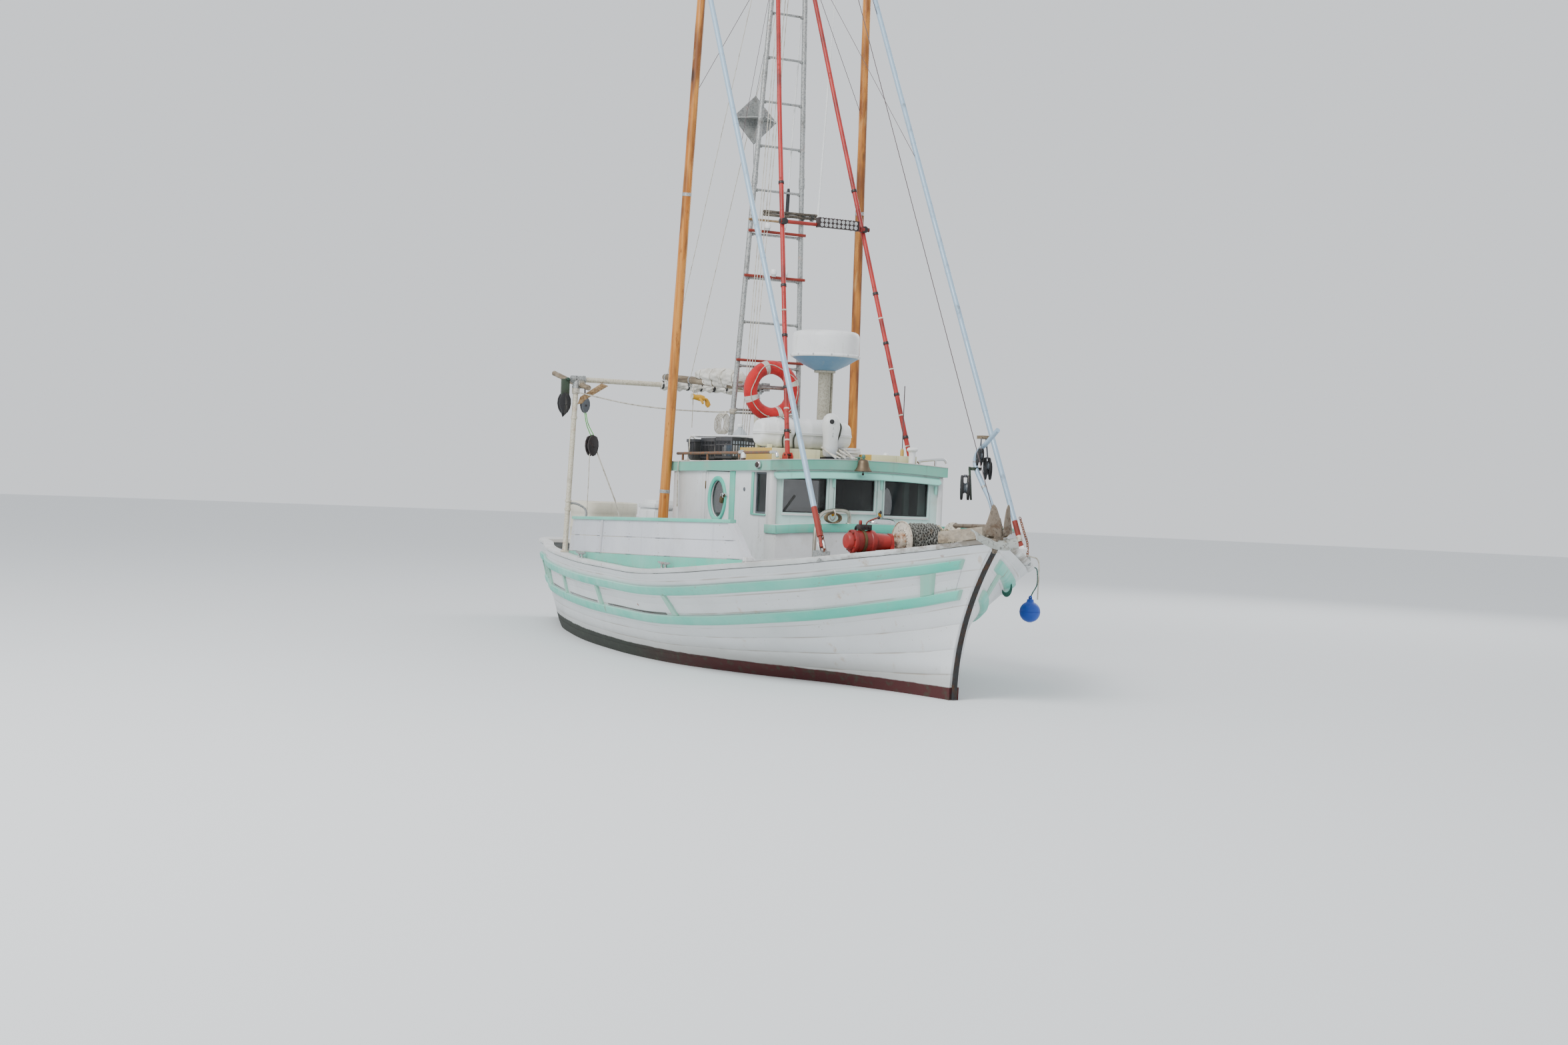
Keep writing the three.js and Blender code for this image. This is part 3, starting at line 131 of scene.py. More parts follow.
class Shape:  # gathers the bodies of one piece
    def __init__(self, name):
        self.name = name
        self.verts = []
        self.faces = []
        self.looks = []
        self.uvs = []

    def add(self, verts, faces, look=0, uvs=None):
        base = len(self.verts)
        self.verts.extend(tuple(v) for v in verts)
        self.uvs.extend(uvs if uvs else [(0.0, 0.0)] * len(verts))
        self.faces.extend(tuple(base + i for i in face) for face in faces)
        self.looks.extend([look] * len(faces))
        return self

    def box(self, low, high, look=0):
        (x0, y0, z0), (x1, y1, z1) = low, high
        verts = [(x, y, z) for x in (x0, x1) for y in (y0, y1) for z in (z0, z1)]
        faces = [(0, 1, 3, 2), (4, 6, 7, 5), (0, 4, 5, 1), (2, 3, 7, 6), (0, 2, 6, 4), (1, 5, 7, 3)]
        return self.add(verts, faces, look)

    def turnedBox(self, centre, size, turn, look=0):
        half = [s / 2 for s in size]
        corners = [(x, y, z) for x in (-1, 1) for y in (-1, 1) for z in (-1, 1)]
        verts = [
            Vector(centre) + turn @ Vector([c * h for c, h in zip(corner, half)]) for corner in corners
        ]
        faces = [(0, 1, 3, 2), (4, 6, 7, 5), (0, 4, 5, 1), (2, 3, 7, 6), (0, 2, 6, 4), (1, 5, 7, 3)]
        return self.add(verts, faces, look)

    def loft(self, rings, look=0, capped=True, uvs=None, round=True):
        count = len(rings[0])
        verts = [p for ring in rings for p in ring]
        faces = []
        for i in range(len(rings) - 1):
            for j in range(count if round else count - 1):
                a, b = i * count + j, i * count + (j + 1) % count
                faces.append((a, b, b + count, a + count))
        if capped:
            end = (len(rings) - 1) * count
            faces.append(tuple(reversed(range(count))))
            faces.append(tuple(end + j for j in range(count)))
        return self.add(verts, faces, look, uvs)

    def tube(self, points, radius, look=0, sides=12, capped=True):
        points = [Vector(p) for p in points]
        radii = radius if isinstance(radius, (list, tuple)) else [radius] * len(points)
        rings = []
        side = None
        for i, point in enumerate(points):
            before, after = points[max(i - 1, 0)], points[min(i + 1, len(points) - 1)]
            along = (after - before).normalized()
            if side is None:
                side = along.orthogonal().normalized()
            side = (side - along * side.dot(along)).normalized()
            other = along.cross(side)
            turns = [2 * math.pi * j / sides for j in range(sides)]
            rings.append([point + (side * math.cos(t) + other * math.sin(t)) * radii[i] for t in turns])
        return self.loft(rings, look, capped)

    def lathe(self, profile, place, axis=(0, 0, 1), look=0, sides=32):
        turn = Vector(axis).to_track_quat("Z", "Y").to_matrix()
        rings = []
        for radius, z in profile:
            turns = [2 * math.pi * j / sides for j in range(sides)]
            rings.append([
                Vector(place) + turn @ Vector((radius * math.cos(t), radius * math.sin(t), z))
                for t in turns
            ])
        return self.loft(rings, look)

    def plate(self, outline, low, high, axis="y", look=0):
        place = {
            "y": lambda a, b, t: (a, t, b),
            "x": lambda a, b, t: (t, a, b),
            "z": lambda a, b, t: (a, b, t),
        }[axis]
        rings = [[place(a, b, t) for a, b in outline] for t in (low, high)]
        return self.loft(rings, look)

    def done(self, looks, slot, body="boat", replaces=(), bevel=0.0, segments=2, sharp=38):
        mesh = bpy.data.meshes.new(self.name)
        mesh.from_pydata(self.verts, [], self.faces)
        layer = mesh.uv_layers.new(name="skin")
        for loop in mesh.loops:
            layer.data[loop.index].uv = self.uvs[loop.vertex_index]
        for look in looks:
            mesh.materials.append(look)
        for polygon, look in zip(mesh.polygons, self.looks):
            polygon.material_index = look
        work = bmesh.new()
        work.from_mesh(mesh)
        bmesh.ops.remove_doubles(work, verts=work.verts, dist=1e-6)
        bmesh.ops.recalc_face_normals(work, faces=work.faces)
        work.to_mesh(mesh)
        work.free()
        piece = bpy.data.objects.new(self.name, mesh)
        bpy.context.scene.collection.objects.link(piece)
        if bevel:
            modifier = piece.modifiers.new("softEdges", "BEVEL")
            modifier.width = bevel
            modifier.segments = segments
            modifier.limit_method = "ANGLE"
            modifier.angle_limit = math.radians(40)
            modifier.harden_normals = False
            settle(piece)
        smoothEdges(piece, sharp)
        return ridden(piece, body, replaces)


def ridden(piece, body="boat", replaces=()):
    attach(piece, body)
    if replaces:
        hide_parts(*replaces)
    return piece


def settle(piece):  # turns the evaluated result into the piece's plain mesh
    graph = bpy.context.evaluated_depsgraph_get()
    mesh = bpy.data.meshes.new_from_object(piece.evaluated_get(graph), depsgraph=graph)
    old = piece.data
    piece.modifiers.clear()
    if piece.type == "MESH":
        piece.data = mesh
        bpy.data.meshes.remove(old)
        return piece
    name = piece.name
    bpy.data.objects.remove(piece)
    settled = bpy.data.objects.new(name, mesh)
    bpy.context.scene.collection.objects.link(settled)
    return settled


def smoothEdges(piece, angle):
    piece.data.shade_smooth()
    piece.data.set_sharp_from_angle(angle=math.radians(angle))


def spline(points, steps):  # smooth path through the points
    points = [Vector(p) for p in points]
    padded = [points[0] * 2 - points[1], *points, points[-1] * 2 - points[-2]]
    path = []
    for i in range(1, len(padded) - 2):
        p0, p1, p2, p3 = padded[i - 1:i + 3]
        for k in range(steps):
            t = k / steps
            path.append(0.5 * (
                2 * p1 + (p2 - p0) * t + (2 * p0 - 5 * p1 + 4 * p2 - p3) * t ** 2
                + (3 * p1 - p0 - 3 * p2 + p3) * t ** 3
            ))
    path.append(points[-1])
    return path


def fullTurn(count):  # angles once round, the first repeated at the end
    return [2 * math.pi * i / count for i in range(count + 1)]


def drum(radius, low, high):  # profile of a plain disc or pin
    corners = ((0.0, low), (radius, low), (radius, high), (0.0, high))
    return list(corners)


def ellipseOutline(a, b, radiusA, radiusB, sides=40):
    turns = [2 * math.pi * i / sides for i in range(sides)]
    return [(a + radiusA * math.cos(t), b + radiusB * math.sin(t)) for t in turns]


# Geometry Nodes trees for what repeats along a path

def newTree(name, sizes):
    tree = bpy.data.node_groups.new(name, "GeometryNodeTree")
    tree.interface.new_socket("Geometry", in_out="INPUT", socket_type="NodeSocketGeometry")
    for label, value in sizes.items():
        socket = tree.interface.new_socket(label, in_out="INPUT", socket_type="NodeSocketFloat")
        socket.default_value = value
    tree.interface.new_socket("Material", in_out="INPUT", socket_type="NodeSocketMaterial")
    tree.interface.new_socket("Geometry", in_out="OUTPUT", socket_type="NodeSocketGeometry")
    return tree, tree.nodes.new("NodeGroupInput"), tree.nodes.new("NodeGroupOutput")


def node(tree, kind, links=None, **settings):
    made = tree.nodes.new(kind)
    for key, value in settings.items():
        setattr(made, key, value)
    for socket, source in (links or {}).items():
        target = made.inputs[socket]
        if isinstance(source, (int, float, tuple, bool)):
            target.default_value = source
        else:
            tree.links.new(source, target)
    return made


def grown(name, points, tree, sizes, look, body="boat", replaces=(), cyclic=False, sharp=40):
    curve = bpy.data.curves.new(name, "CURVE")
    curve.dimensions = "3D"
    runs = points if hasattr(points[0][0], "__len__") else [points]
    for run in runs:
        line = curve.splines.new("POLY")
        line.points.add(len(run) - 1)
        for target, point in zip(line.points, run):
            target.co = (*point, 1.0)
        line.use_cyclic_u = cyclic
    piece = bpy.data.objects.new(name, curve)
    bpy.context.scene.collection.objects.link(piece)
    modifier = piece.modifiers.new("grow", "NODES")
    modifier.node_group = tree
    sockets = {item.name: item.identifier for item in tree.interface.items_tree if item.in_out == "INPUT"}
    for label, value in sizes.items():
        modifier[sockets[label]] = value
    modifier[sockets["Material"]] = look
    piece = settle(piece)
    smoothEdges(piece, sharp)
    return ridden(piece, body, replaces)


def makeRopeTree():  # three strands laid round each other along the path
    tree, source, result = newTree("laidRope", {"Thickness": 0.012, "Lay": 0.09, "Step": 0.012})
    resampled = node(tree, "GeometryNodeResampleCurve", {
        "Curve": source.outputs["Geometry"], "Length": source.outputs["Step"],
    }, mode="LENGTH")
    position = node(tree, "GeometryNodeSplineParameter")
    turns = node(
        tree, "ShaderNodeMath", {0: position.outputs["Length"], 1: source.outputs["Lay"]},
        operation="DIVIDE",
    )
    angle = node(tree, "ShaderNodeMath", {0: turns.outputs[0], 1: 2 * math.pi}, operation="MULTIPLY")
    tilted = node(
        tree, "GeometryNodeSetCurveTilt", {"Curve": resampled.outputs[0], "Tilt": angle.outputs[0]},
    )
    strand = node(tree, "ShaderNodeMath", {0: source.outputs["Thickness"], 1: 0.27}, operation="MULTIPLY")
    reach = node(tree, "ShaderNodeMath", {0: source.outputs["Thickness"], 1: 0.25}, operation="MULTIPLY")
    circle = node(
        tree, "GeometryNodeCurvePrimitiveCircle", {"Resolution": 6, "Radius": strand.outputs[0]},
    )
    joined = node(tree, "GeometryNodeJoinGeometry")
    for i in range(3):
        turn = 2 * math.pi * i / 3
        offset = node(tree, "ShaderNodeCombineXYZ")
        across = node(
            tree, "ShaderNodeMath", {0: reach.outputs[0], 1: math.cos(turn)}, operation="MULTIPLY",
        )
        upward = node(
            tree, "ShaderNodeMath", {0: reach.outputs[0], 1: math.sin(turn)}, operation="MULTIPLY",
        )
        tree.links.new(across.outputs[0], offset.inputs["X"])
        tree.links.new(upward.outputs[0], offset.inputs["Y"])
        moved = node(tree, "GeometryNodeTransform", {
            "Geometry": circle.outputs["Curve"], "Translation": offset.outputs[0],
        })
        swept = node(tree, "GeometryNodeCurveToMesh", {
            "Curve": tilted.outputs[0], "Profile Curve": moved.outputs[0], "Fill Caps": True,
        })
        tree.links.new(swept.outputs[0], joined.inputs[0])
    realised = node(tree, "GeometryNodeRealizeInstances", {"Geometry": joined.outputs[0]})
    node(tree, "GeometryNodeSetMaterial", {
        "Geometry": realised.outputs[0], "Material": source.outputs["Material"],
    })
    tree.links.new(tree.nodes[-1].outputs[0], result.inputs[0])
    return tree


def makeStudTree():  # low domed heads at even steps along the path
    tree, source, result = newTree("studRow", {"Radius": 0.008, "Height": 0.004, "Step": 0.2})
    points = node(tree, "GeometryNodeCurveToPoints", {
        "Curve": source.outputs["Geometry"], "Length": source.outputs["Step"],
    }, mode="LENGTH")
    head = node(tree, "GeometryNodeMeshUVSphere", {
        "Segments": 10, "Rings": 6, "Radius": source.outputs["Radius"],
    })
    placed = node(tree, "GeometryNodeInstanceOnPoints", {
        "Points": points.outputs["Points"], "Instance": head.outputs["Mesh"],
    })
    realised = node(tree, "GeometryNodeRealizeInstances", {"Geometry": placed.outputs[0]})
    dressed = node(tree, "GeometryNodeSetMaterial", {
        "Geometry": realised.outputs[0], "Material": source.outputs["Material"],
    })
    tree.links.new(dressed.outputs[0], result.inputs[0])
    return tree


def makeChainTree():  # links that alternate by a quarter turn along the path
    tree, source, result = newTree(
        "chainRun", {"Wire": 0.005, "Length": 0.044, "Width": 0.028, "Pitch": 0.034},
    )
    points = node(tree, "GeometryNodeCurveToPoints", {
        "Curve": source.outputs["Geometry"], "Length": source.outputs["Pitch"],
    }, mode="LENGTH")
    ring = node(tree, "GeometryNodeCurvePrimitiveCircle", {"Resolution": 10, "Radius": 0.5})
    sizes = node(tree, "ShaderNodeCombineXYZ", {
        "X": source.outputs["Width"], "Y": 1.0, "Z": source.outputs["Length"],
    })
    upright = node(tree, "GeometryNodeTransform", {
        "Geometry": ring.outputs["Curve"], "Rotation": (math.pi / 2, 0.0, 0.0),
    })
    stretched = node(tree, "GeometryNodeTransform", {
        "Geometry": upright.outputs[0], "Scale": sizes.outputs[0],
    })
    wire = node(
        tree, "GeometryNodeCurvePrimitiveCircle", {"Resolution": 5, "Radius": source.outputs["Wire"]},
    )
    link = node(tree, "GeometryNodeCurveToMesh", {
        "Curve": stretched.outputs[0], "Profile Curve": wire.outputs["Curve"],
    })
    index = node(tree, "GeometryNodeInputIndex")
    quarter = node(tree, "ShaderNodeMath", {0: index.outputs[0], 1: math.pi / 2}, operation="MULTIPLY")
    spin = node(tree, "ShaderNodeCombineXYZ", {"Z": quarter.outputs[0]})
    turned = node(tree, "FunctionNodeRotateRotation", {
        "Rotation": points.outputs["Rotation"], "Rotate By": spin.outputs[0],
    }, rotation_space="LOCAL")
    placed = node(tree, "GeometryNodeInstanceOnPoints", {
        "Points": points.outputs["Points"], "Instance": link.outputs[0], "Rotation": turned.outputs[0],
    })
    realised = node(tree, "GeometryNodeRealizeInstances", {"Geometry": placed.outputs[0]})
    dressed = node(tree, "GeometryNodeSetMaterial", {
        "Geometry": realised.outputs[0], "Material": source.outputs["Material"],
    })
    tree.links.new(dressed.outputs[0], result.inputs[0])
    return tree


def makeRungTree():  # bars that stand at even steps along the path and grow narrower
    tree, source, result = newTree(
        "ladderRungs", {"Bottom": 0.7, "Top": 0.2, "Thickness": 0.012, "Step": 0.42},
    )
    points = node(tree, "GeometryNodeCurveToPoints", {
        "Curve": source.outputs["Geometry"], "Length": source.outputs["Step"],
    }, mode="LENGTH")
    index = node(tree, "GeometryNodeInputIndex")
    counted = node(
        tree, "GeometryNodeAttributeDomainSize", {"Geometry": points.outputs["Points"]},
        component="POINTCLOUD",
    )
    width = node(tree, "ShaderNodeMapRange", {
        "Value": index.outputs[0], "From Max": counted.outputs["Point Count"],
        "To Min": source.outputs["Bottom"], "To Max": source.outputs["Top"],
    })
    bar = node(tree, "GeometryNodeMeshCylinder", {
        "Vertices": 12, "Radius": source.outputs["Thickness"], "Depth": 1.0,
    })
    sizes = node(tree, "ShaderNodeCombineXYZ", {"X": 1.0, "Y": 1.0, "Z": width.outputs[0]})
    placed = node(tree, "GeometryNodeInstanceOnPoints", {
        "Points": points.outputs["Points"], "Instance": bar.outputs["Mesh"],
        "Rotation": (math.pi / 2, 0.0, 0.0), "Scale": sizes.outputs[0],
    })
    realised = node(tree, "GeometryNodeRealizeInstances", {"Geometry": placed.outputs[0]})
    dressed = node(tree, "GeometryNodeSetMaterial", {
        "Geometry": realised.outputs[0], "Material": source.outputs["Material"],
    })
    tree.links.new(dressed.outputs[0], result.inputs[0])
    return tree


ropeTree = makeRopeTree()
studTree = makeStudTree()
chainTree = makeChainTree()
rungTree = makeRungTree()
placeCamera()
placeLights()
print("camera, lights and trees ready")


# materials

def linear(red, green, blue):  # display values from 0 to 255 as linear ones
    values = []
    for value in (red, green, blue):
        share = value / 255
        values.append(share / 12.92 if share <= 0.04045 else ((share + 0.055) / 1.055) ** 2.4)
    return (*values, 1.0)


class Finish:  # one procedural material while its nodes are joined up
    def __init__(self, name, rough=0.5, metal=0.0):
        self.material = bpy.data.materials.new(name)
        self.material.use_nodes = True
        self.tree = self.material.node_tree
        self.shader = self.tree.nodes["Principled BSDF"]
        self.shader.inputs["Roughness"].default_value = rough
        self.shader.inputs["Metallic"].default_value = metal
        self.coords = self.tree.nodes.new("ShaderNodeTexCoord")
        self.place = self.coords.outputs["Object"]
        self.skin = self.coords.outputs["UV"]

    def set(self, **values):
        for label, value in values.items():
            self.shader.inputs[label.replace("_", " ")].default_value = value
        return self

    def join(self, source, target):
        if hasattr(source, "is_linked"):
            self.tree.links.new(source, target)
        else:
            target.default_value = source

    def stretch(self, source, scale, turn=(0, 0, 0), shift=(0, 0, 0)):
        mapping = self.tree.nodes.new("ShaderNodeMapping")
        self.tree.links.new(source, mapping.inputs["Vector"])
        mapping.inputs["Scale"].default_value = scale
        mapping.inputs["Rotation"].default_value = turn
        mapping.inputs["Location"].default_value = shift
        return mapping.outputs[0]

    def noise(self, scale, detail=3.0, rough=0.55, source=None, distortion=0.0):
        texture = self.tree.nodes.new("ShaderNodeTexNoise")
        self.tree.links.new(source or self.place, texture.inputs["Vector"])
        texture.inputs["Scale"].default_value = scale
        texture.inputs["Detail"].default_value = detail
        texture.inputs["Roughness"].default_value = rough
        texture.inputs["Distortion"].default_value = distortion
        return texture.outputs["Fac"]

    def cells(self, scale, source=None, feature="F1", spread=1.0):
        texture = self.tree.nodes.new("ShaderNodeTexVoronoi")
        texture.feature = feature
        self.tree.links.new(source or self.place, texture.inputs["Vector"])
        texture.inputs["Scale"].default_value = scale
        texture.inputs["Randomness"].default_value = spread
        return texture.outputs["Distance"]

    def wave(self, scale, distortion=0.0, source=None, direction="X", profile="SIN", detail=2.0):
        texture = self.tree.nodes.new("ShaderNodeTexWave")
        texture.bands_direction = direction
        texture.wave_profile = profile
        self.tree.links.new(source or self.place, texture.inputs["Vector"])
        texture.inputs["Scale"].default_value = scale
        texture.inputs["Distortion"].default_value = distortion
        texture.inputs["Detail"].default_value = detail
        return texture.outputs["Fac"]

    def axis(self, source, label):
        split = self.tree.nodes.new("ShaderNodeSeparateXYZ")
        self.tree.links.new(source, split.inputs[0])
        return split.outputs[label]

    def math(self, operation, a, b=0.0, c=0.0, clamp=False):
        made = self.tree.nodes.new("ShaderNodeMath")
        made.operation = operation
        made.use_clamp = clamp
        for socket, value in zip(made.inputs, (a, b, c)):
            self.join(value, socket)
        return made.outputs[0]

    def band(self, source, low, high, outLow=0.0, outHigh=1.0, smooth=True):
        made = self.tree.nodes.new("ShaderNodeMapRange")
        made.interpolation_type = "SMOOTHSTEP" if smooth else "LINEAR"
        for label, value in zip(
            ("Value", "From Min", "From Max", "To Min", "To Max"), (source, low, high, outLow, outHigh),
        ):
            self.join(value, made.inputs[label])
        return made.outputs[0]

    def blend(self, share, under, over, kind="MIX"):
        made = self.tree.nodes.new("ShaderNodeMix")
        made.data_type = "RGBA"
        made.blend_type = kind
        self.join(share, made.inputs[0])
        self.join(under, made.inputs[6])
        self.join(over, made.inputs[7])
        return made.outputs[2]

    def facing(self):  # how far the surface looks upwards, from 0 to 1
        geometry = self.tree.nodes.new("ShaderNodeNewGeometry")
        return self.band(self.axis(geometry.outputs["Normal"], "Z"), 0.2, 0.95)

    def edges(self, low=0.52, high=0.62):  # worn corners, from the pointiness of the mesh
        geometry = self.tree.nodes.new("ShaderNodeNewGeometry")
        return self.band(geometry.outputs["Pointiness"], low, high)

    def bump(self, height, strength=0.3, distance=0.004, under=None):
        made = self.tree.nodes.new("ShaderNodeBump")
        made.inputs["Strength"].default_value = strength
        made.inputs["Distance"].default_value = distance
        self.tree.links.new(height, made.inputs["Height"])
        if under is not None:
            self.tree.links.new(under, made.inputs["Normal"])
        return made.outputs[0]

    def done(self, color, rough=None, normal=None, metal=None):
        self.join(color, self.shader.inputs["Base Color"])
        if rough is not None:
            self.join(rough, self.shader.inputs["Roughness"])
        if metal is not None:
            self.join(metal, self.shader.inputs["Metallic"])
        if normal is not None:
            self.tree.links.new(normal, self.shader.inputs["Normal"])
        return self.material


paints = {
    "white": linear(222, 224, 226),
    "whiteStain": linear(176, 172, 160),
    "grime": linear(96, 90, 80),
    "rust": linear(150, 84, 36),
    "deepRust": linear(92, 46, 26),
    "turquoise": linear(72, 194, 170),
    "turquoiseFaded": linear(128, 206, 188),
    "turquoiseDeep": linear(52, 146, 126),
    "mint": linear(176, 220, 212),
    "mintPale": linear(204, 226, 222),
    "cream": linear(226, 224, 184),
    "varnish": linear(176, 104, 30),
    "varnishDark": linear(104, 54, 16),
    "varnishPale": linear(206, 142, 62),
    "bareWood": linear(150, 136, 116),
    "galvanised": linear(140, 144, 144),
    "galvanisedPale": linear(176, 178, 176),
    "paleBlue": linear(158, 184, 204),
    "pipeCream": linear(186, 178, 156),
    "postTone": linear(146, 142, 126),
    "postPale": linear(172, 168, 152),
    "pipePale": linear(210, 204, 186),
    "red": linear(178, 44, 40),
    "redDark": linear(120, 34, 30),
    "slime": linear(34, 52, 44),
    "boot": linear(74, 32, 32),
}


def paintedPlanks():  # topsides: seams, rust runs, stains and the dark waterline
    f = Finish("paintedPlanks", rough=0.42)
    drop = f.axis(f.skin, "Y")
    height = f.axis(f.place, "Z")
    along = f.axis(f.place, "X")
    mottled = f.noise(1.7, 5.0)
    fine = f.noise(26.0, 4.0)
    color = f.blend(f.band(mottled, 0.35, 0.75, 0.0, 0.45), paints["white"], linear(204, 206, 206))
    seam = f.band(f.math("ABSOLUTE", f.math("SUBTRACT", f.math("FRACT", drop), 0.5)), 0.44, 0.5)
    seamBreak = f.band(f.noise(2.2, 2.0), 0.42, 0.62)
    color = f.blend(
        f.math("MULTIPLY", seam, f.math("MULTIPLY_ADD", seamBreak, 0.55, 0.12)), color,
        linear(150, 132, 112),
    )
    runs = f.noise(1.0, 6.0, 0.62, f.stretch(f.place, (9.0, 9.0, 0.7)))
    forward = f.band(along, 0.5, 4.2, 0.16, 0.75)
    run = f.math("MULTIPLY", f.band(runs, 0.61, 0.78), forward)
    color = f.blend(run, color, linear(188, 158, 122))
    weep = f.cells(2.6, f.stretch(f.place, (1.0, 1.0, 1.25)))
    spot = f.math("MULTIPLY", f.band(weep, 0.055, 0.02), f.band(f.noise(3.1, 2.0), 0.5, 0.6))
    color = f.blend(spot, color, paints["rust"])
    chips = f.math(
        "MULTIPLY", f.band(f.noise(46.0, 2.0), 0.68, 0.74), f.band(f.noise(2.0, 1.0), 0.5, 0.66),
    )
    color = f.blend(f.math("MULTIPLY", chips, 0.7), color, paints["bareWood"])
    ragged = f.math("MULTIPLY_ADD", f.noise(9.0, 4.0), 0.05, height)
    splash = f.band(ragged, 0.34, 0.15)
    color = f.blend(f.math("MULTIPLY", splash, 0.42), color, linear(128, 122, 104))
    line = f.math("MULTIPLY_ADD", f.noise(5.0, 3.0), 0.022, f.math("MULTIPLY_ADD", along, 0.008, height))
    below = f.band(line, 0.152, 0.142)
    aft = f.band(along, 2.2, 0.2)
    bottom = f.blend(f.math("MULTIPLY", aft, 0.8), paints["boot"], paints["slime"])
    bottom = f.blend(f.band(f.noise(14.0, 4.0), 0.5, 0.72, 0.0, 0.6), bottom, linear(58, 66, 52))
    color = f.blend(below, color, bottom)
    rough = f.band(f.math("ADD", mottled, below), 0.3, 1.4, 0.36, 0.85)
    height = f.math("MULTIPLY_ADD", fine, 0.25, f.math("MULTIPLY", seam, -0.5))
    return f.done(color, rough, f.bump(height, 0.35, 0.004))


def paintedWood(name, color, faded, rough=0.42, wear=0.5, grime=0.35):
    f = Finish(name, rough=rough)
    broad = f.noise(1.3, 5.0)
    tint = f.blend(f.band(broad, 0.35, 0.72, 0.0, 0.8), color, faded)
    dirt = f.noise(3.6, 7.0, 0.66)
    tint = f.blend(f.math("MULTIPLY", f.band(dirt, 0.5, 0.74), grime), tint, paints["whiteStain"])
    streaks = f.noise(1.0, 6.0, 0.6, f.stretch(f.place, (14.0, 14.0, 1.1)))
    tint = f.blend(f.math("MULTIPLY", f.band(streaks, 0.58, 0.78), grime), tint, paints["grime"])
    chip = f.math("MULTIPLY", f.band(f.noise(52.0, 3.0), 0.6, 0.7), f.band(f.noise(4.0, 2.0), 0.52, 0.64))
    tint = f.blend(f.math("MULTIPLY", chip, wear), tint, paints["bareWood"])
    tint = f.blend(f.math("MULTIPLY", f.edges(), wear * 0.7), tint, paints["bareWood"])
    brush = f.noise(1.0, 4.0, 0.6, f.stretch(f.place, (6.0, 90.0, 90.0)))
    height = f.math("MULTIPLY_ADD", chip, -0.6, f.math("MULTIPLY", brush, 0.5))
    roughness = f.band(dirt, 0.3, 0.8, rough - 0.06, rough + 0.22)
    return f.done(tint, roughness, f.bump(height, 0.22, 0.002))


def railPaint():  # turquoise rub rails with rust drips under their fastenings, and a painted highlight on their upward faces
    f = Finish("railPaint", rough=0.4)
    tint = f.blend(f.band(f.noise(1.1, 5.0), 0.32, 0.7), paints["turquoise"], paints["turquoiseFaded"])
    # painted highlight: faces that look upwards are lightened towards a pale turquoise
    paintedTopHighlight = f.facing()
    tint = f.blend(f.math("MULTIPLY", paintedTopHighlight, 0.55), tint, linear(166, 226, 212))
    drips = f.noise(1.0, 4.0, 0.6, f.stretch(f.place, (7.5, 7.5, 1.4)))
    drip = f.band(drips, 0.655, 0.72)
    tint = f.blend(f.math("MULTIPLY", drip, 0.75), tint, paints["rust"])
    scuff = f.math(
        "MULTIPLY", f.band(f.noise(38.0, 4.0), 0.58, 0.68), f.band(f.noise(2.4, 2.0), 0.5, 0.66),
    )
    tint = f.blend(f.math("MULTIPLY", scuff, 0.6), tint, paints["bareWood"])
    tint = f.blend(f.math("MULTIPLY", f.edges(), 0.45), tint, linear(190, 196, 180))
    rough = f.band(f.noise(7.0, 3.0), 0.3, 0.75, 0.34, 0.6)
    return f.done(tint, rough, f.bump(f.noise(60.0, 4.0), 0.15, 0.002))


def capPaint():  # white rail top, worn to brown wood on its outer edge
    f = Finish("capPaint", rough=0.5)
    tint = f.blend(
        f.band(f.noise(1.8, 5.0), 0.4, 0.75, 0.0, 0.5), linear(226, 228, 228), linear(196, 192, 182),
    )
    along = f.axis(f.place, "X")
    worn = f.math(
        "MULTIPLY", f.band(f.noise(3.0, 6.0, 0.7), 0.4, 0.62), f.band(along, 2.9, 4.4, 0.15, 1.0),
    )
    tint = f.blend(f.math("MULTIPLY", worn, 0.8), tint, linear(118, 102, 82))
    drip = f.band(
        f.noise(1.0, 4.0, 0.6, f.stretch(f.place, (8.0, 8.0, 1.0), shift=(3.1, 0, 0))), 0.66, 0.73,
    )
    tint = f.blend(f.math("MULTIPLY", drip, 0.7), tint, paints["rust"])
    tint = f.blend(f.math("MULTIPLY", f.edges(), 0.6), tint, linear(134, 120, 100))
    return f.done(tint, f.band(worn, 0.0, 1.0, 0.42, 0.75), f.bump(f.noise(44.0, 5.0), 0.25, 0.003))


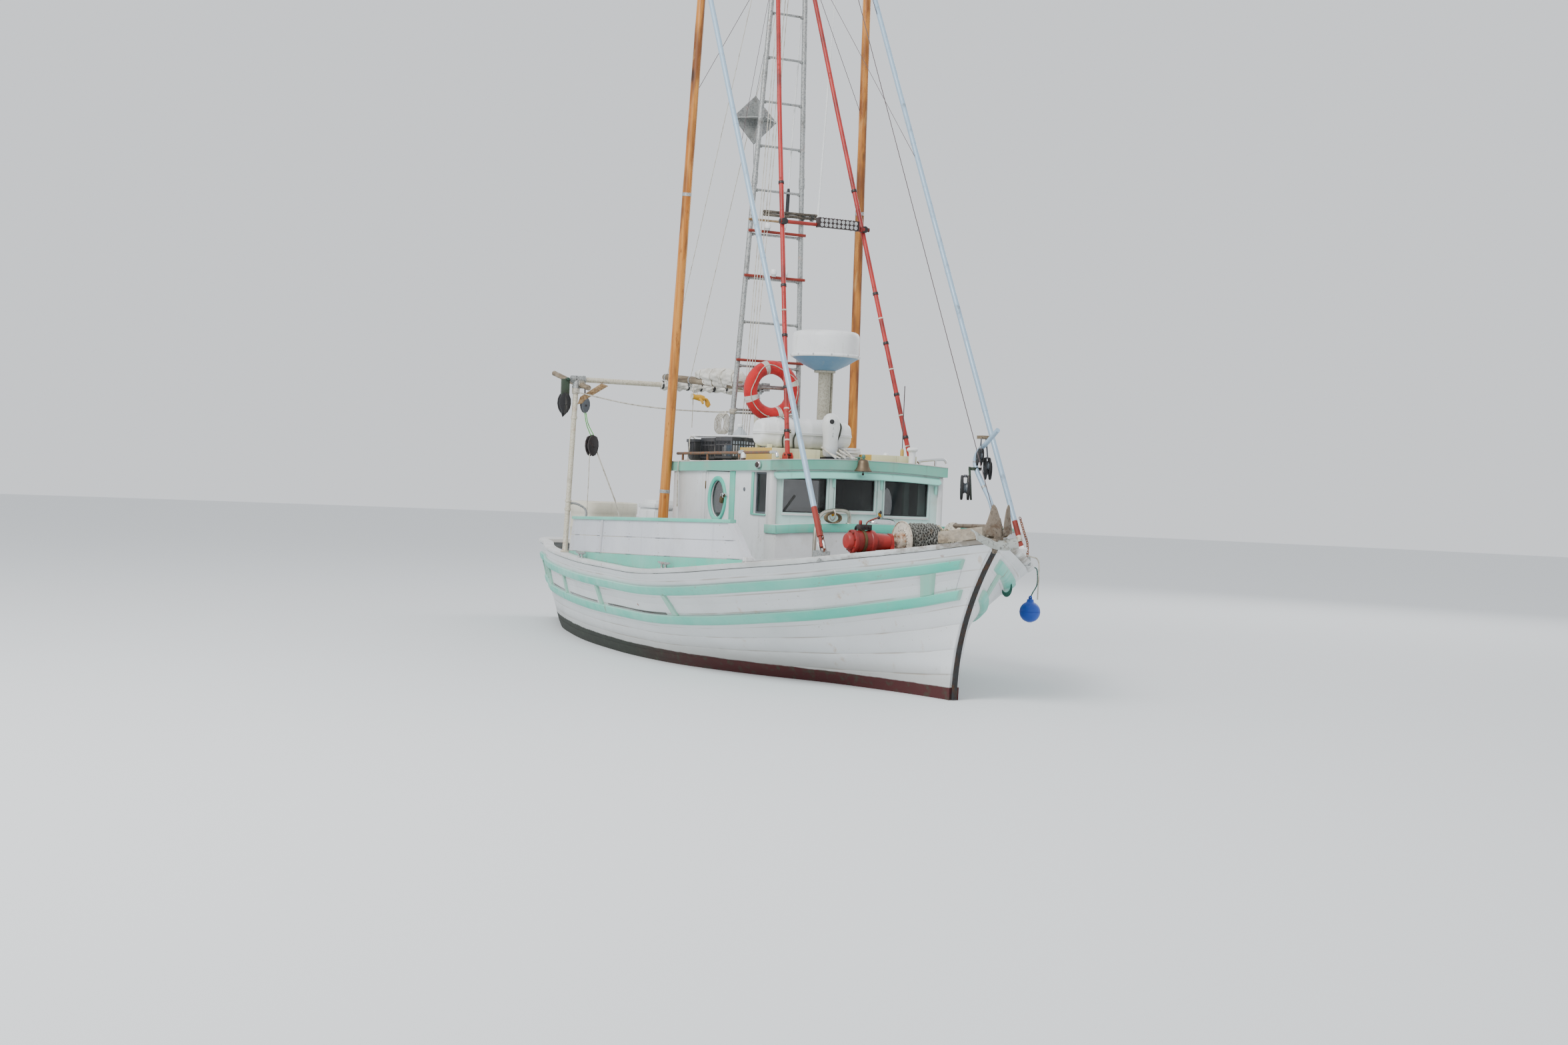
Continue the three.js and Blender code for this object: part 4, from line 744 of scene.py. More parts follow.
def varnishedSpar():
    f = Finish("varnishedSpar", rough=0.34)
    grain = f.noise(1.0, 6.0, 0.62, f.stretch(f.place, (34.0, 34.0, 1.3)), 0.6)
    tint = f.blend(f.band(grain, 0.3, 0.7), paints["varnish"], paints["varnishPale"])
    patch = f.noise(1.0, 4.0, 0.6, f.stretch(f.place, (5.0, 5.0, 0.9)))
    tint = f.blend(f.band(patch, 0.44, 0.62, 0.0, 0.9), tint, paints["varnishDark"])
    rungs = f.noise(1.0, 4.0, 0.6, f.stretch(f.place, (20.0, 20.0, 6.5), shift=(2.0, 7.0, 3.0)))
    tint = f.blend(f.band(rungs, 0.56, 0.70, 0.0, 0.7), tint, linear(120, 62, 20))
    knots = f.cells(1.0, f.stretch(f.place, (4.5, 4.5, 1.7)))
    tint = f.blend(f.band(knots, 0.16, 0.06, 0.0, 0.9), tint, linear(56, 30, 14))
    bare = f.math(
        "MULTIPLY",
        f.band(f.noise(1.0, 5.0, 0.6, f.stretch(f.place, (8, 8, 1.6), shift=(5, 2, 1))), 0.6, 0.72), 0.7,
    )
    tint = f.blend(bare, tint, linear(196, 152, 92))
    rough = f.band(patch, 0.35, 0.7, 0.26, 0.52)
    height = f.math("MULTIPLY_ADD", grain, 0.5, f.math("MULTIPLY", knots, 0.4))
    return f.done(tint, rough, f.bump(height, 0.3, 0.003))


def bareSpar(name="bareSpar", tone=(150, 134, 110), dark=(92, 78, 62)):
    f = Finish(name, rough=0.78)
    grain = f.noise(1.0, 7.0, 0.66, f.stretch(f.place, (2.2, 46.0, 46.0)), 0.4)
    tint = f.blend(f.band(grain, 0.35, 0.7), linear(*dark), linear(*tone))
    pale = f.band(f.noise(2.4, 5.0), 0.5, 0.72, 0.0, 0.5)
    tint = f.blend(pale, tint, linear(196, 188, 172))
    return f.done(tint, 0.78, f.bump(grain, 0.4, 0.003))


def zincPipe(
    name="zincPipe", tone="galvanised", pale="galvanisedPale", rusty=0.3, metal=0.75, rough=0.46,
):
    f = Finish(name, rough=rough, metal=metal)
    spangle = f.cells(60.0)
    tint = f.blend(f.band(spangle, 0.1, 0.7), paints[tone], paints[pale])
    stain = f.noise(6.0, 6.0, 0.68)
    tint = f.blend(f.math("MULTIPLY", f.band(stain, 0.55, 0.75), 0.6), tint, paints["grime"])
    rust = f.math("MULTIPLY", f.band(f.noise(11.0, 6.0, 0.7), 0.58, 0.7), rusty)
    tint = f.blend(rust, tint, paints["rust"])
    roughness = f.band(stain, 0.3, 0.75, rough - 0.08, rough + 0.24)
    metallic = f.band(rust, 0.0, 0.25, metal, 0.05)
    return f.done(tint, roughness, f.bump(f.noise(90.0, 4.0), 0.16, 0.001), metallic)


def paintedSteel(name, color, dark, chipped=0.6, rough=0.42):
    f = Finish(name, rough=rough)
    tint = f.blend(f.band(f.noise(4.0, 5.0), 0.4, 0.72), color, dark)
    chip = f.math(
        "MULTIPLY", f.band(f.noise(34.0, 5.0, 0.7), 0.57, 0.63), f.band(f.noise(5.0, 3.0), 0.42, 0.6),
    )
    edge = f.math("MAXIMUM", f.math("MULTIPLY", chip, chipped), f.math("MULTIPLY", f.edges(), chipped))
    tint = f.blend(edge, tint, paints["deepRust"])
    height = f.math("MULTIPLY_ADD", chip, -1.0, f.math("MULTIPLY", f.noise(70.0, 3.0), 0.3))
    return f.done(tint, f.band(edge, 0.0, 1.0, rough, 0.85), f.bump(height, 0.3, 0.0015))


def rustyIron(name, tone, rust, share=0.5):
    f = Finish(name, rough=0.7, metal=0.35)
    crust = f.noise(9.0, 8.0, 0.7)
    tint = f.blend(f.band(crust, 0.62 - share * 0.3, 0.78 - share * 0.3), linear(*tone), linear(*rust))
    tint = f.blend(f.band(f.noise(40.0, 4.0), 0.52, 0.7, 0.0, 0.55), tint, linear(40, 30, 26))
    return f.done(tint, f.band(crust, 0.3, 0.7, 0.55, 0.85), f.bump(f.noise(55.0, 6.0, 0.7), 0.5, 0.0025))


def plainMetal(name, color, rough=0.2, metal=1.0, stain=0.25):
    f = Finish(name, rough=rough, metal=metal)
    smudge = f.noise(7.0, 6.0, 0.66)
    tint = f.blend(f.math("MULTIPLY", f.band(smudge, 0.5, 0.75), stain), color, paints["grime"])
    return f.done(
        tint, f.band(smudge, 0.3, 0.8, rough, rough + 0.22), f.bump(f.noise(80.0, 3.0), 0.05, 0.0006),
    )


def mouldedPlastic(name, color, shade, rough=0.36, grime=0.4):
    f = Finish(name, rough=rough)
    tint = f.blend(f.band(f.noise(2.6, 4.0), 0.4, 0.72), color, shade)
    streaks = f.noise(1.0, 6.0, 0.62, f.stretch(f.place, (22.0, 22.0, 2.4)))
    tint = f.blend(f.math("MULTIPLY", f.band(streaks, 0.56, 0.76), grime), tint, paints["whiteStain"])
    specks = f.math("MULTIPLY", f.band(f.noise(60.0, 3.0), 0.66, 0.74), grime)
    tint = f.blend(specks, tint, paints["grime"])
    return f.done(
        tint, f.band(streaks, 0.3, 0.8, rough, rough + 0.16), f.bump(f.noise(140.0, 2.0), 0.05, 0.0006),
    )


def laidFibre(name, color, dark):
    f = Finish(name, rough=0.85)
    tint = f.blend(f.band(f.noise(16.0, 5.0), 0.4, 0.72), color, dark)
    fibres = f.noise(320.0, 3.0, 0.7)
    tint = f.blend(f.band(fibres, 0.45, 0.7, 0.0, 0.4), tint, dark)
    f.set(Sheen_Weight=0.25)
    return f.done(tint, 0.85, f.bump(fibres, 0.5, 0.0012))


def wovenCanvas(name, color, dark, scale=520.0):
    f = Finish(name, rough=0.88)
    over = f.wave(scale, source=f.place, direction="X")
    under = f.wave(scale, source=f.place, direction="DIAGONAL")
    weave = f.math("MULTIPLY", over, under)
    tint = f.blend(f.band(f.noise(7.0, 6.0, 0.66), 0.42, 0.72), color, dark)
    tint = f.blend(f.math("MULTIPLY", weave, 0.18), tint, dark)
    creases = f.noise(11.0, 6.0, 0.7, distortion=1.2)
    f.set(Sheen_Weight=0.2)
    normal = f.bump(creases, 0.6, 0.012)
    return f.done(tint, 0.88, f.bump(weave, 0.3, 0.0008, normal))


def windowGlass():
    f = Finish("windowGlass", rough=0.06)
    smear = f.noise(5.0, 6.0, 0.66)
    f.set(IOR=1.45, Specular_IOR_Level=0.6, Alpha=0.42)
    tint = f.blend(f.band(smear, 0.5, 0.75, 0.0, 0.25), linear(22, 28, 28), linear(120, 128, 126))
    return f.done(tint, f.band(smear, 0.4, 0.8, 0.04, 0.16))


def clearPlastic():
    f = Finish("clearPlastic", rough=0.1)
    f.set(IOR=1.4, Alpha=0.45)
    return f.done(f.blend(f.noise(6.0, 3.0), linear(196, 206, 210), linear(168, 182, 188)), 0.1)


def deckPaint():
    f = Finish("deckPaint", rough=0.8)
    across = f.axis(f.place, "Y")
    planks = f.math("FRACT", f.math("MULTIPLY", across, 11.5))
    seam = f.band(f.math("ABSOLUTE", f.math("SUBTRACT", planks, 0.5)), 0.44, 0.485)
    tint = f.blend(
        f.band(f.noise(2.2, 6.0, 0.66), 0.38, 0.72), linear(150, 156, 152), linear(112, 112, 104),
    )
    tint = f.blend(f.math("MULTIPLY", seam, 0.75), tint, linear(52, 50, 46))
    tint = f.blend(f.band(f.noise(8.0, 5.0), 0.62, 0.74, 0.0, 0.5), tint, paints["rust"])
    height = f.math("MULTIPLY_ADD", seam, -1.0, f.math("MULTIPLY", f.noise(180.0, 2.0), 0.25))
    return f.done(tint, 0.8, f.bump(height, 0.45, 0.004))


def bottomPaint():
    f = Finish("bottomPaint", rough=0.85)
    tint = f.blend(f.band(f.noise(3.0, 6.0, 0.7), 0.42, 0.7), paints["boot"], paints["slime"])
    return f.done(tint, 0.85, f.bump(f.noise(60.0, 6.0, 0.7), 0.5, 0.004))


looks = {
    "planks": paintedPlanks(),
    "rails": railPaint(),
    "cap": capPaint(),
    "white": paintedWood("whitePaint", linear(226, 228, 230), linear(206, 208, 208)),
    "boards": paintedWood(
        "boardPaint", linear(214, 217, 224), linear(198, 202, 210), wear=0.35, grime=0.22,
    ),
    "nails": paintedWood("nailPaint", linear(188, 184, 176), linear(160, 140, 116), wear=0.6),
    "whiteInside": paintedWood("whiteInside", linear(196, 198, 194), linear(168, 168, 160), grime=0.7),
    "turquoise": paintedWood("turquoisePaint", paints["turquoise"], paints["turquoiseFaded"], wear=0.4),
    "turquoisePale": paintedWood("turquoisePale", linear(134, 216, 198), linear(158, 224, 210), wear=0.3),
    "turquoiseDeep": paintedWood("turquoiseDeep", paints["turquoiseDeep"], paints["turquoise"], wear=0.4),
    "mint": paintedWood("mintPaint", paints["mintPale"], paints["mint"], wear=0.4),
    "frame": paintedWood("framePaint", linear(198, 224, 218), linear(186, 214, 208), wear=0.3),
    "cream": paintedWood("creamPaint", paints["cream"], linear(204, 206, 168), rough=0.6, grime=0.5),
    "yellow": paintedWood("yellowPaint", linear(206, 168, 60), linear(186, 146, 52), grime=0.3),
    "varnish": varnishedSpar(),
    "bareWood": bareSpar(),
    "darkWood": bareSpar("darkWood", (104, 96, 84), (58, 52, 44)),
    "tanWood": bareSpar("tanWood", (178, 150, 112), (120, 92, 60)),
    "zinc": zincPipe(),
    "zincRusty": zincPipe("zincRusty", rusty=0.9),
    "bluePipe": zincPipe("bluePipe", "paleBlue", "paleBlue", rusty=0.25, metal=0.15, rough=0.4),
    "red": paintedSteel("redPaint", paints["red"], paints["redDark"]),
    "redWorn": paintedSteel("redWorn", linear(150, 52, 42), linear(96, 40, 32), chipped=0.9),
    "blackSteel": paintedSteel("blackSteel", linear(34, 36, 38), linear(22, 22, 24), chipped=0.3),
    "greySteel": paintedSteel("greySteel", linear(86, 94, 100), linear(62, 68, 74), chipped=0.4),
    "flangeRust": rustyIron("flangeRust", (202, 190, 172), (158, 106, 68), 0.45),
    "flangeCream": rustyIron("flangeCream", (214, 206, 190), (176, 132, 96), 0.12),
    "chainPale": rustyIron("chainPale", (196, 188, 164), (150, 128, 96), 0.25),
    "chainRusty": rustyIron("chainRusty", (150, 92, 56), (112, 58, 34), 0.6),
    "chain": rustyIron("chainSteel", (132, 132, 126), (104, 84, 62), 0.42),
    "iron": rustyIron("darkIron", (52, 52, 52), (84, 60, 44), 0.45),
    "anchor": rustyIron("anchorIron", (128, 116, 102), (104, 86, 70), 0.42),
    "saddle": rustyIron("saddleSteel", (176, 180, 174), (128, 120, 104), 0.3),
    "bronze": plainMetal("dullBronze", linear(116, 102, 84), rough=0.5, stain=0.5),
    "brass": plainMetal("amberBrass", linear(196, 140, 52), rough=0.34),
    "brassDull": plainMetal("dullBrass", linear(112, 96, 70), rough=0.42, stain=0.5),
    "railSteel": plainMetal("railSteel", linear(196, 190, 176), rough=0.24, stain=0.45),
    "matBlue": wovenCanvas("matBlue", linear(30, 60, 118), linear(22, 42, 88)),
    "chrome": plainMetal("polishedSteel", linear(214, 216, 216), rough=0.12),
    "plastic": mouldedPlastic("whitePlastic", linear(232, 234, 234), linear(216, 218, 216)),
    "plasticGrey": mouldedPlastic("greyPlastic", linear(186, 188, 188), linear(168, 170, 170)),
    "jug": clearPlastic(),
    "pipeRusty": zincPipe("pipeRusty", "rust", "grime", rusty=0.5, metal=0.2, rough=0.6),
    "verdigris": plainMetal("verdigris", linear(92, 132, 118), rough=0.6, metal=0.4, stain=0.5),
    "panBlue": mouldedPlastic("panBlue", linear(96, 138, 172), linear(112, 150, 180), grime=0.3),
    "creamPlastic": mouldedPlastic("creamPlastic", linear(226, 222, 204), linear(208, 202, 182)),
    "crate": mouldedPlastic("darkCrate", linear(44, 46, 50), linear(58, 60, 62)),
    "fender": mouldedPlastic("fenderSkin", linear(28, 84, 190), linear(24, 64, 160), grime=0.15),
    "rubber": mouldedPlastic("blackRubber", linear(26, 26, 28), linear(38, 38, 40), rough=0.6),
    "glove": mouldedPlastic("yellowGlove", linear(222, 172, 40), linear(200, 146, 34), rough=0.6),
    "ropeWhite": laidFibre("ropeWhite", linear(208, 204, 192), linear(150, 142, 124)),
    "ropeGreen": laidFibre("ropeGreen", linear(44, 108, 92), linear(30, 72, 64)),
    "ropeDark": laidFibre("ropeDark", linear(58, 60, 52), linear(36, 38, 34)),
    "ropeTan": laidFibre("ropeTan", linear(150, 132, 100), linear(92, 78, 58)),
    "wireGrey": laidFibre("wireGrey", linear(150, 152, 150), linear(92, 92, 90)),
    "postPipe": zincPipe("postPipe", "postTone", "postPale", rusty=0.1, metal=0.1, rough=0.6),
    "ropeBright": laidFibre("ropeBright", linear(96, 204, 84), linear(62, 150, 58)),
    "gearGreen": paintedSteel("gearGreen", linear(40, 76, 62), linear(28, 52, 44), chipped=0.4),
    "pipeCream": zincPipe("pipeCream", "pipeCream", "pipePale", rusty=0.3, metal=0.25, rough=0.5),
    "canvas": wovenCanvas("sailCanvas", linear(222, 220, 212), linear(178, 172, 158)),
    "ringCloth": wovenCanvas("ringCloth", linear(196, 30, 32), linear(150, 24, 26)),
    "bandCloth": wovenCanvas("bandCloth", linear(206, 206, 200), linear(170, 168, 160)),
    "glass": windowGlass(),
    "deck": deckPaint(),
    "bottom": bottomPaint(),
    "engine": paintedSteel("enginePaint", linear(84, 100, 88), linear(58, 70, 62)),
}
print(len(looks), "materials ready")


# hull form

hullForm = {
    "stations": (  # sheer x, half breadth, z; waterline x, half breadth; keel rabbet x, z
        (-4.900, 0.035, 0.940, -4.260, 0.030, -4.200, -0.070),
        (-4.810, 0.165, 0.936, -4.190, 0.075, -4.120, -0.240),
        (-4.500, 0.320, 0.930, -3.950, 0.190, -3.850, -0.470),
        (-4.010, 0.450, 0.920, -3.600, 0.360, -3.480, -0.640),
        (-3.120, 0.770, 0.910, -2.860, 0.620, -2.780, -0.730),
        (-2.230, 1.030, 0.900, -2.080, 0.820, -2.040, -0.760),
        (-1.340, 1.240, 0.890, -1.260, 0.990, -1.240, -0.775),
        (-0.450, 1.410, 0.880, -0.430, 1.090, -0.420, -0.780),
        (0.440, 1.530, 0.880, 0.420, 1.135, 0.410, -0.780),
        (1.340, 1.610, 0.880, 1.280, 1.060, 1.260, -0.765),
        (2.230, 1.650, 0.930, 2.110, 0.790, 2.080, -0.730),
        (3.120, 1.490, 1.020, 2.880, 0.420, 2.820, -0.630),
        (3.600, 1.190, 1.085, 3.330, 0.260, 3.260, -0.520),
        (4.010, 0.850, 1.160, 3.700, 0.155, 3.640, -0.390),
        (4.450, 0.460, 1.245, 4.040, 0.080, 4.000, -0.230),
        (4.750, 0.180, 1.312, 4.220, 0.050, 4.190, -0.110),
        (4.900, 0.050, 1.340, 4.300, 0.045, 4.280, -0.050),
    ),
    "step": 0.1,
    "keelHalf": 0.045,
    "bilgeSteps": 12,
    "bottomOfRail": 0.501,
    "top": 0.450,
    "planks": 4,
    "seam": 0.005,
    "seamDepth": 0.0035,
}
lastPlace = len(hullForm["stations"]) - 1
deckDrop = 0.417


def column(place, k):
    rows = hullForm["stations"]
    i = min(int(place), lastPlace - 1)
    t = place - i
    p0, p1, p2, p3 = (rows[min(max(row, 0), lastPlace)][k] for row in (i - 1, i, i + 1, i + 2))
    bend = 2 * p0 - 5 * p1 + 4 * p2 - p3
    twist = 3 * p1 - p0 - 3 * p2 + p3
    return 0.5 * (2 * p1 + (p2 - p0) * t + bend * t * t + twist * t ** 3)


def topside(place, drop):  # x, half breadth and z at a drop below the rail's top
    share = place / lastPlace
    capZ = column(place, 2)
    rise = max((capZ - drop) / capZ, 0)
    waterX, waterHalf = column(place, 3), column(place, 4)
    return (
        waterX + (column(place, 0) - waterX) * rise ** (0.5 + 1.6 * share),
        waterHalf + (column(place, 1) - waterHalf) * rise ** (0.6 + 0.7 * share),
        capZ - drop,
    )


def offsetPoint(place, drop, outward):
    x, half, z = topside(place, drop)
    before = topside(max(place - 0.02, 0), drop)
    after = topside(min(place + 0.02, lastPlace), drop)
    slope = (after[1] - before[1]) / (after[0] - before[0])
    end = -1 if place == 0 else int(place == lastPlace)
    stretch = math.hypot(1, slope) - abs(end * slope)
    return x + end * outward, max(half + outward * stretch, 0.004), z


def placeAt(x, drop=0.0):
    low, high = 0.0, float(lastPlace)
    for _ in range(40):
        middle = (low + high) / 2
        if topside(middle, drop)[0] < x:
            low = middle
        else:
            high = middle
    return (low + high) / 2


def deckTop(x):
    return topside(placeAt(x, deckDrop), deckDrop)[2]


def placesBetween(low, high, step=0.0):
    step = step or hullForm["step"]
    first = math.floor(low / step) + 1
    inner = [i * step for i in range(first, int(high / step) + 1) if low + 1e-6 < i * step < high - 1e-6]
    return [low, *inner, high]


def sideBand(shape, profile, places, side, look=0, capped=True):
    rings = []
    skins = []
    for place in places:
        rows = profile(place) if callable(profile) else profile
        points = [offsetPoint(place, drop, outward) for drop, outward in rows]
        rings.append([(x, side * half, z) for x, half, z in points])
        skins.extend((place * 0.6, drop * 7.0 + 0.2) for drop, outward in rows)
    return shape.loft(rings, look, capped, uvs=skins)


def hoopBand(shape, profile, end, look=0):  # from the stem round the stern and back
    places = placesBetween(0, end)
    rings = []
    skins = []
    for side, run in ((-1, reversed(places)), (1, places)):
        for place in run:
            points = [offsetPoint(place, drop, outward) for drop, outward in profile]
            rings.append([(x, side * half, z) for x, half, z in points])
            skins.extend((place * 0.6 * side, drop * 7.0 + 0.2) for drop, outward in profile)
    return shape.loft(rings, look, True, uvs=skins)


def endBlock(shape, rows, places, look=0):  # solid across the breadth near an end
    rings = []
    skins = []
    for place in places:
        points = [offsetPoint(place, drop, outward) for drop, outward in rows]
        starboard = [(x, -half, z) for x, half, z in points]
        port = [(x, half, z) for x, half, z in reversed(points)]
        rings.append(starboard + port)
        skins.extend((place * 0.6, drop * 7.0 + 0.2) for drop, outward in rows)
        skins.extend((place * 0.6, drop * 7.0 + 0.2) for drop, outward in reversed(rows))
    return shape.loft(rings, look, True, uvs=skins)


def hullRows(place):  # points of one section, from the keel up, with the seams let in
    rabbetX, rabbetZ = column(place, 5), column(place, 6)
    waterX, waterHalf, _ = topside(place, column(place, 2))
    keelHalf = min(hullForm["keelHalf"], waterHalf)
    rows = []
    skins = []
    steps = hullForm["bilgeSteps"]
    for i in range(steps):
        turn = i / steps * math.pi / 2
        rows.append((
            waterX + (rabbetX - waterX) * math.cos(turn),
            keelHalf + (waterHalf - keelHalf) * math.sin(turn) ** 0.85,
            rabbetZ * math.cos(turn),
        ))
        skins.append((place * 0.6, 6.0 + 4.0 * (1 - i / steps)))
    capZ = column(place, 2)
    railDrop = hullForm["bottomOfRail"]
    depth = capZ - railDrop
    for k in range(hullForm["planks"]):
        share = k / hullForm["planks"]
        levels = [(share, 0.0)] if k == 0 else [
            (share - hullForm["seam"] / depth, 0.0), (share, -hullForm["seamDepth"]),
            (share + hullForm["seam"] / depth, 0.0),
        ]
        levels.append((share + 0.5 / hullForm["planks"], 0.0))
        for level, outward in levels:
            rows.append(offsetPoint(place, capZ - depth * level, outward))
            skins.append((place * 0.6, 6.0 - level * hullForm["planks"]))
    for drop in (railDrop, hullForm["top"]):
        rows.append(topside(place, drop))
        skins.append((place * 0.6, 1.5))
    return rows, skins


wells = {  # low and high corners of what is open below the deck
    "wheelhouse": ((0.8, -0.55, 0.06), (2.1, 0.55, 0.9)),
    "engine": ((0.85, -0.38, -0.45), (1.95, 0.38, 0.1)),
    "hold": ((-1.2, -0.39, -0.38), (-0.42, 0.39, 0.9)),
}


def makeHull():
    shape = Shape("hullPlanking")
    rings = []
    skins = []
    for place in placesBetween(0, lastPlace):
        rows, uvs = hullRows(place)
        rings.append(
            [(x, -half, z) for x, half, z in rows] + [(x, half, z) for x, half, z in reversed(rows)]
        )
        skins.extend(uvs + uvs[::-1])
    shape.loft(rings, 0, True, uvs=skins)
    piece = shape.done(
        [looks["planks"], looks["whiteInside"]], "white_paint", replaces=["hull"], sharp=30,
    )
    for name, (low, high) in wells.items():
        cutter = Shape("cutter").box(low, high)
        mesh = bpy.data.meshes.new("cutter")
        mesh.from_pydata(cutter.verts, [], cutter.faces)
        tool = bpy.data.objects.new("cutter", mesh)
        bpy.context.scene.collection.objects.link(tool)
        modifier = piece.modifiers.new(name, "BOOLEAN")
        modifier.operation = "DIFFERENCE"
        modifier.solver = "EXACT"
        modifier.object = tool
        settle(piece)
        bpy.data.objects.remove(tool)
    return piece


bulwark = {
    "top": 0.046, "bottom": 0.4497, "split": 0.4155, "slotTop": 0.393, "thick": 0.045,
    "slots": ((3.1, 4.1), (4.4, 5.6), (5.9, 7.3), (7.7, 9.3)),
    "seams": (0.098, 0.197, 0.318),
    "ends": (1.0, 15.0),
}


def bulwarkProfile(place):
    inside = any(low <= place <= high for low, high in bulwark["slots"])
    low = bulwark["slotTop"] if inside else bulwark["split"]
    outer = [(low, 0.0)]
    for seam in reversed(bulwark["seams"]):
        outer.extend([(seam + 0.004, 0.0), (seam, -0.003), (seam - 0.004, 0.0)])
    outer.append((bulwark["top"], 0.0))
    return outer + [
        (bulwark["top"], -bulwark["thick"]), (0.2, -bulwark["thick"]), (low, -bulwark["thick"]),
    ]


def makeBulwark():
    shape = Shape("bulwarkPlanking")
    low, high = bulwark["ends"]
    marks = sorted({mark for slot in bulwark["slots"] for mark in slot})
    places = sorted({*placesBetween(low, high), *marks, *(mark + 0.001 for mark in marks[1::2]), *(
        mark - 0.001 for mark in marks[::2])})
    for side in (-1, 1):
        sideBand(shape, bulwarkProfile, places, side)
        sill = [
            (bulwark["bottom"], 0.0), (0.4158, 0.0), (0.4158, -bulwark["thick"]),
            (bulwark["bottom"], -bulwark["thick"]),
        ]
        sideBand(shape, sill, placesBetween(low, high), side)
    rows = [(bulwark["bottom"], 0.0), (0.3, 0.0), (0.18, 0.0), (bulwark["top"], 0.0)]
    endBlock(shape, rows, placesBetween(0, low - 0.001))
    endBlock(shape, rows, placesBetween(high + 0.001, lastPlace))
    shape.done([looks["planks"]], "white_paint", replaces=["bulwark"], sharp=30)


capRail = {
    "profile": (
        (0.040, -0.108), (0.040, 0.004), (0.036, 0.011), (0.028, 0.014), (0.012, 0.014),
        (0.004, 0.010), (0.000, 0.002), (0.000, -0.100), (0.005, -0.108),
    ),
    "ends": (2.0, 14.3),
    "block": (
        (0.040, 0.004), (0.036, 0.011), (0.028, 0.014), (0.012, 0.014), (0.004, 0.010), (0.000, 0.002),
    ),
}
bowPole = {
    "x": 3.755, "y": 0.975, "z": 1.215, "length": {-1: 5.94, 1: 5.86},
    "stowed": {-1: (-0.4643, 0.0, 0.8857), 1: (-0.45, -0.0349, 0.8923)},
    "out": (0.35, 0.62, 0.7), "ear": (0.012, 0.048, 0.099),
}


def bowPoleFrame(side):
    ends = bowPole["stowed"][side], bowPole["out"]
    stowed, out = (Vector((x, side * y, z)).normalized() for x, y, z in ends)
    pin = stowed.cross(out).normalized()
    return Matrix((pin, stowed.cross(pin), stowed)).transposed()


def makeCapRail():
    shape = Shape("capRailing")
    low, high = capRail["ends"]
    for side in (-1, 1):
        sideBand(shape, capRail["profile"], placesBetween(low + 0.001, high - 0.001), side)
        x, y, z = bowPole["x"], side * bowPole["y"], bowPole["z"]
        railTop = topside(placeAt(x), 0)[2]
        shape.box((x - 0.06, y - 0.05, railTop - 0.03), (x + 0.06, y + 0.05, z - 0.048), 1)
        turn = bowPoleFrame(side)
        foot = Vector((x, y, z))
        for end in (-1, 1):
            ears = [foot + turn @ Vector((end * 0.022, 0, -0.0255))]
            shape.turnedBox(ears[0], bowPole["ear"], turn, 1)
    endBlock(shape, capRail["block"], placesBetween(0, low))
    endBlock(shape, capRail["block"], placesBetween(high, lastPlace))
    shape.done([looks["cap"], looks["zincRusty"]], "white_paint", replaces=["cap_rail"], sharp=40)


rubRails = {
    "upper": (0.158, 0.238), "lower": (0.417, 0.501), "proud": 0.036,
    "battens": (1.6, 3.0, 4.25, 5.75, 7.5, 9.5, 14.2), "battenHalf": 0.038, "battenProud": 0.024,
    "stemLine": (4.33, 0.5, 0.451),
}


def stemEnd(drop):  # place where a rail stops short of the stem
    x0, z0, slope = rubRails["stemLine"]
    low, high = 13.0, float(lastPlace)
    for _ in range(30):
        middle = (low + high) / 2
        x, _half, z = topside(middle, drop)
        if x < x0 + (z - z0) * slope:
            low = middle
        else:
            high = middle
    return low


def makeRubRails():
    shape = Shape("rubRailing")
    for top, bottom in (rubRails["upper"], rubRails["lower"]):
        reach = rubRails["proud"]
        profile = [
            (bottom, 0.001), (bottom - 0.001, reach - 0.014), (bottom - 0.007, reach - 0.004),
            (bottom - 0.018, reach), (top + 0.018, reach), (top + 0.007, reach - 0.004),
            (top + 0.001, reach - 0.014), (top, 0.001),
        ]
        hoopBand(shape, profile, stemEnd((top + bottom) / 2))
    top, bottom = rubRails["upper"][1] + 0.0005, rubRails["lower"][0] - 0.0005
    reach = rubRails["battenProud"]
    for place in rubRails["battens"]:
        middle = topside(place, 0.33)[0]
        ends = [placeAt(middle + end * rubRails["battenHalf"], 0.33) for end in (-1, 1)]
        places = [ends[0] + (ends[1] - ends[0]) * k / 6 for k in range(7)]
        profile = [(bottom, 0.001), (bottom, reach), (top, reach), (top, 0.001)]
        for side in (-1, 1):
            sideBand(shape, profile, places, side)
    shape.done(
        [looks["rails"]], "turquoise_paint", replaces=["rub_rails_starboard", "rub_rails_port"], sharp=40,
    )


stemBand = {"half": 0.024, "thick": 0.009, "stand": 0.003, "drops": (0.046, 1.335), "steps": 30}


def makeStemBand():
    shape = Shape("stemIron")
    rings = []
    low, high = stemBand["drops"]
    for i in range(stemBand["steps"] + 1):
        x, _half, z = topside(lastPlace, low + (high - low) * i / stemBand["steps"])
        x += stemBand["stand"]
        half, thick = stemBand["half"], stemBand["thick"]
        rings.append([
            (x, -half, z), (x + thick * 0.7, -half, z), (x + thick, -half * 0.6, z),
            (x + thick, half * 0.6, z), (x + thick * 0.7, half, z), (x, half, z),
        ])
    shape.loft(rings).done([looks["iron"]], "iron", replaces=["stem_band"], sharp=50)


makeHull()
makeBulwark()
makeCapRail()
makeRubRails()
makeStemBand()
print("hull and rails made")


# weather boards

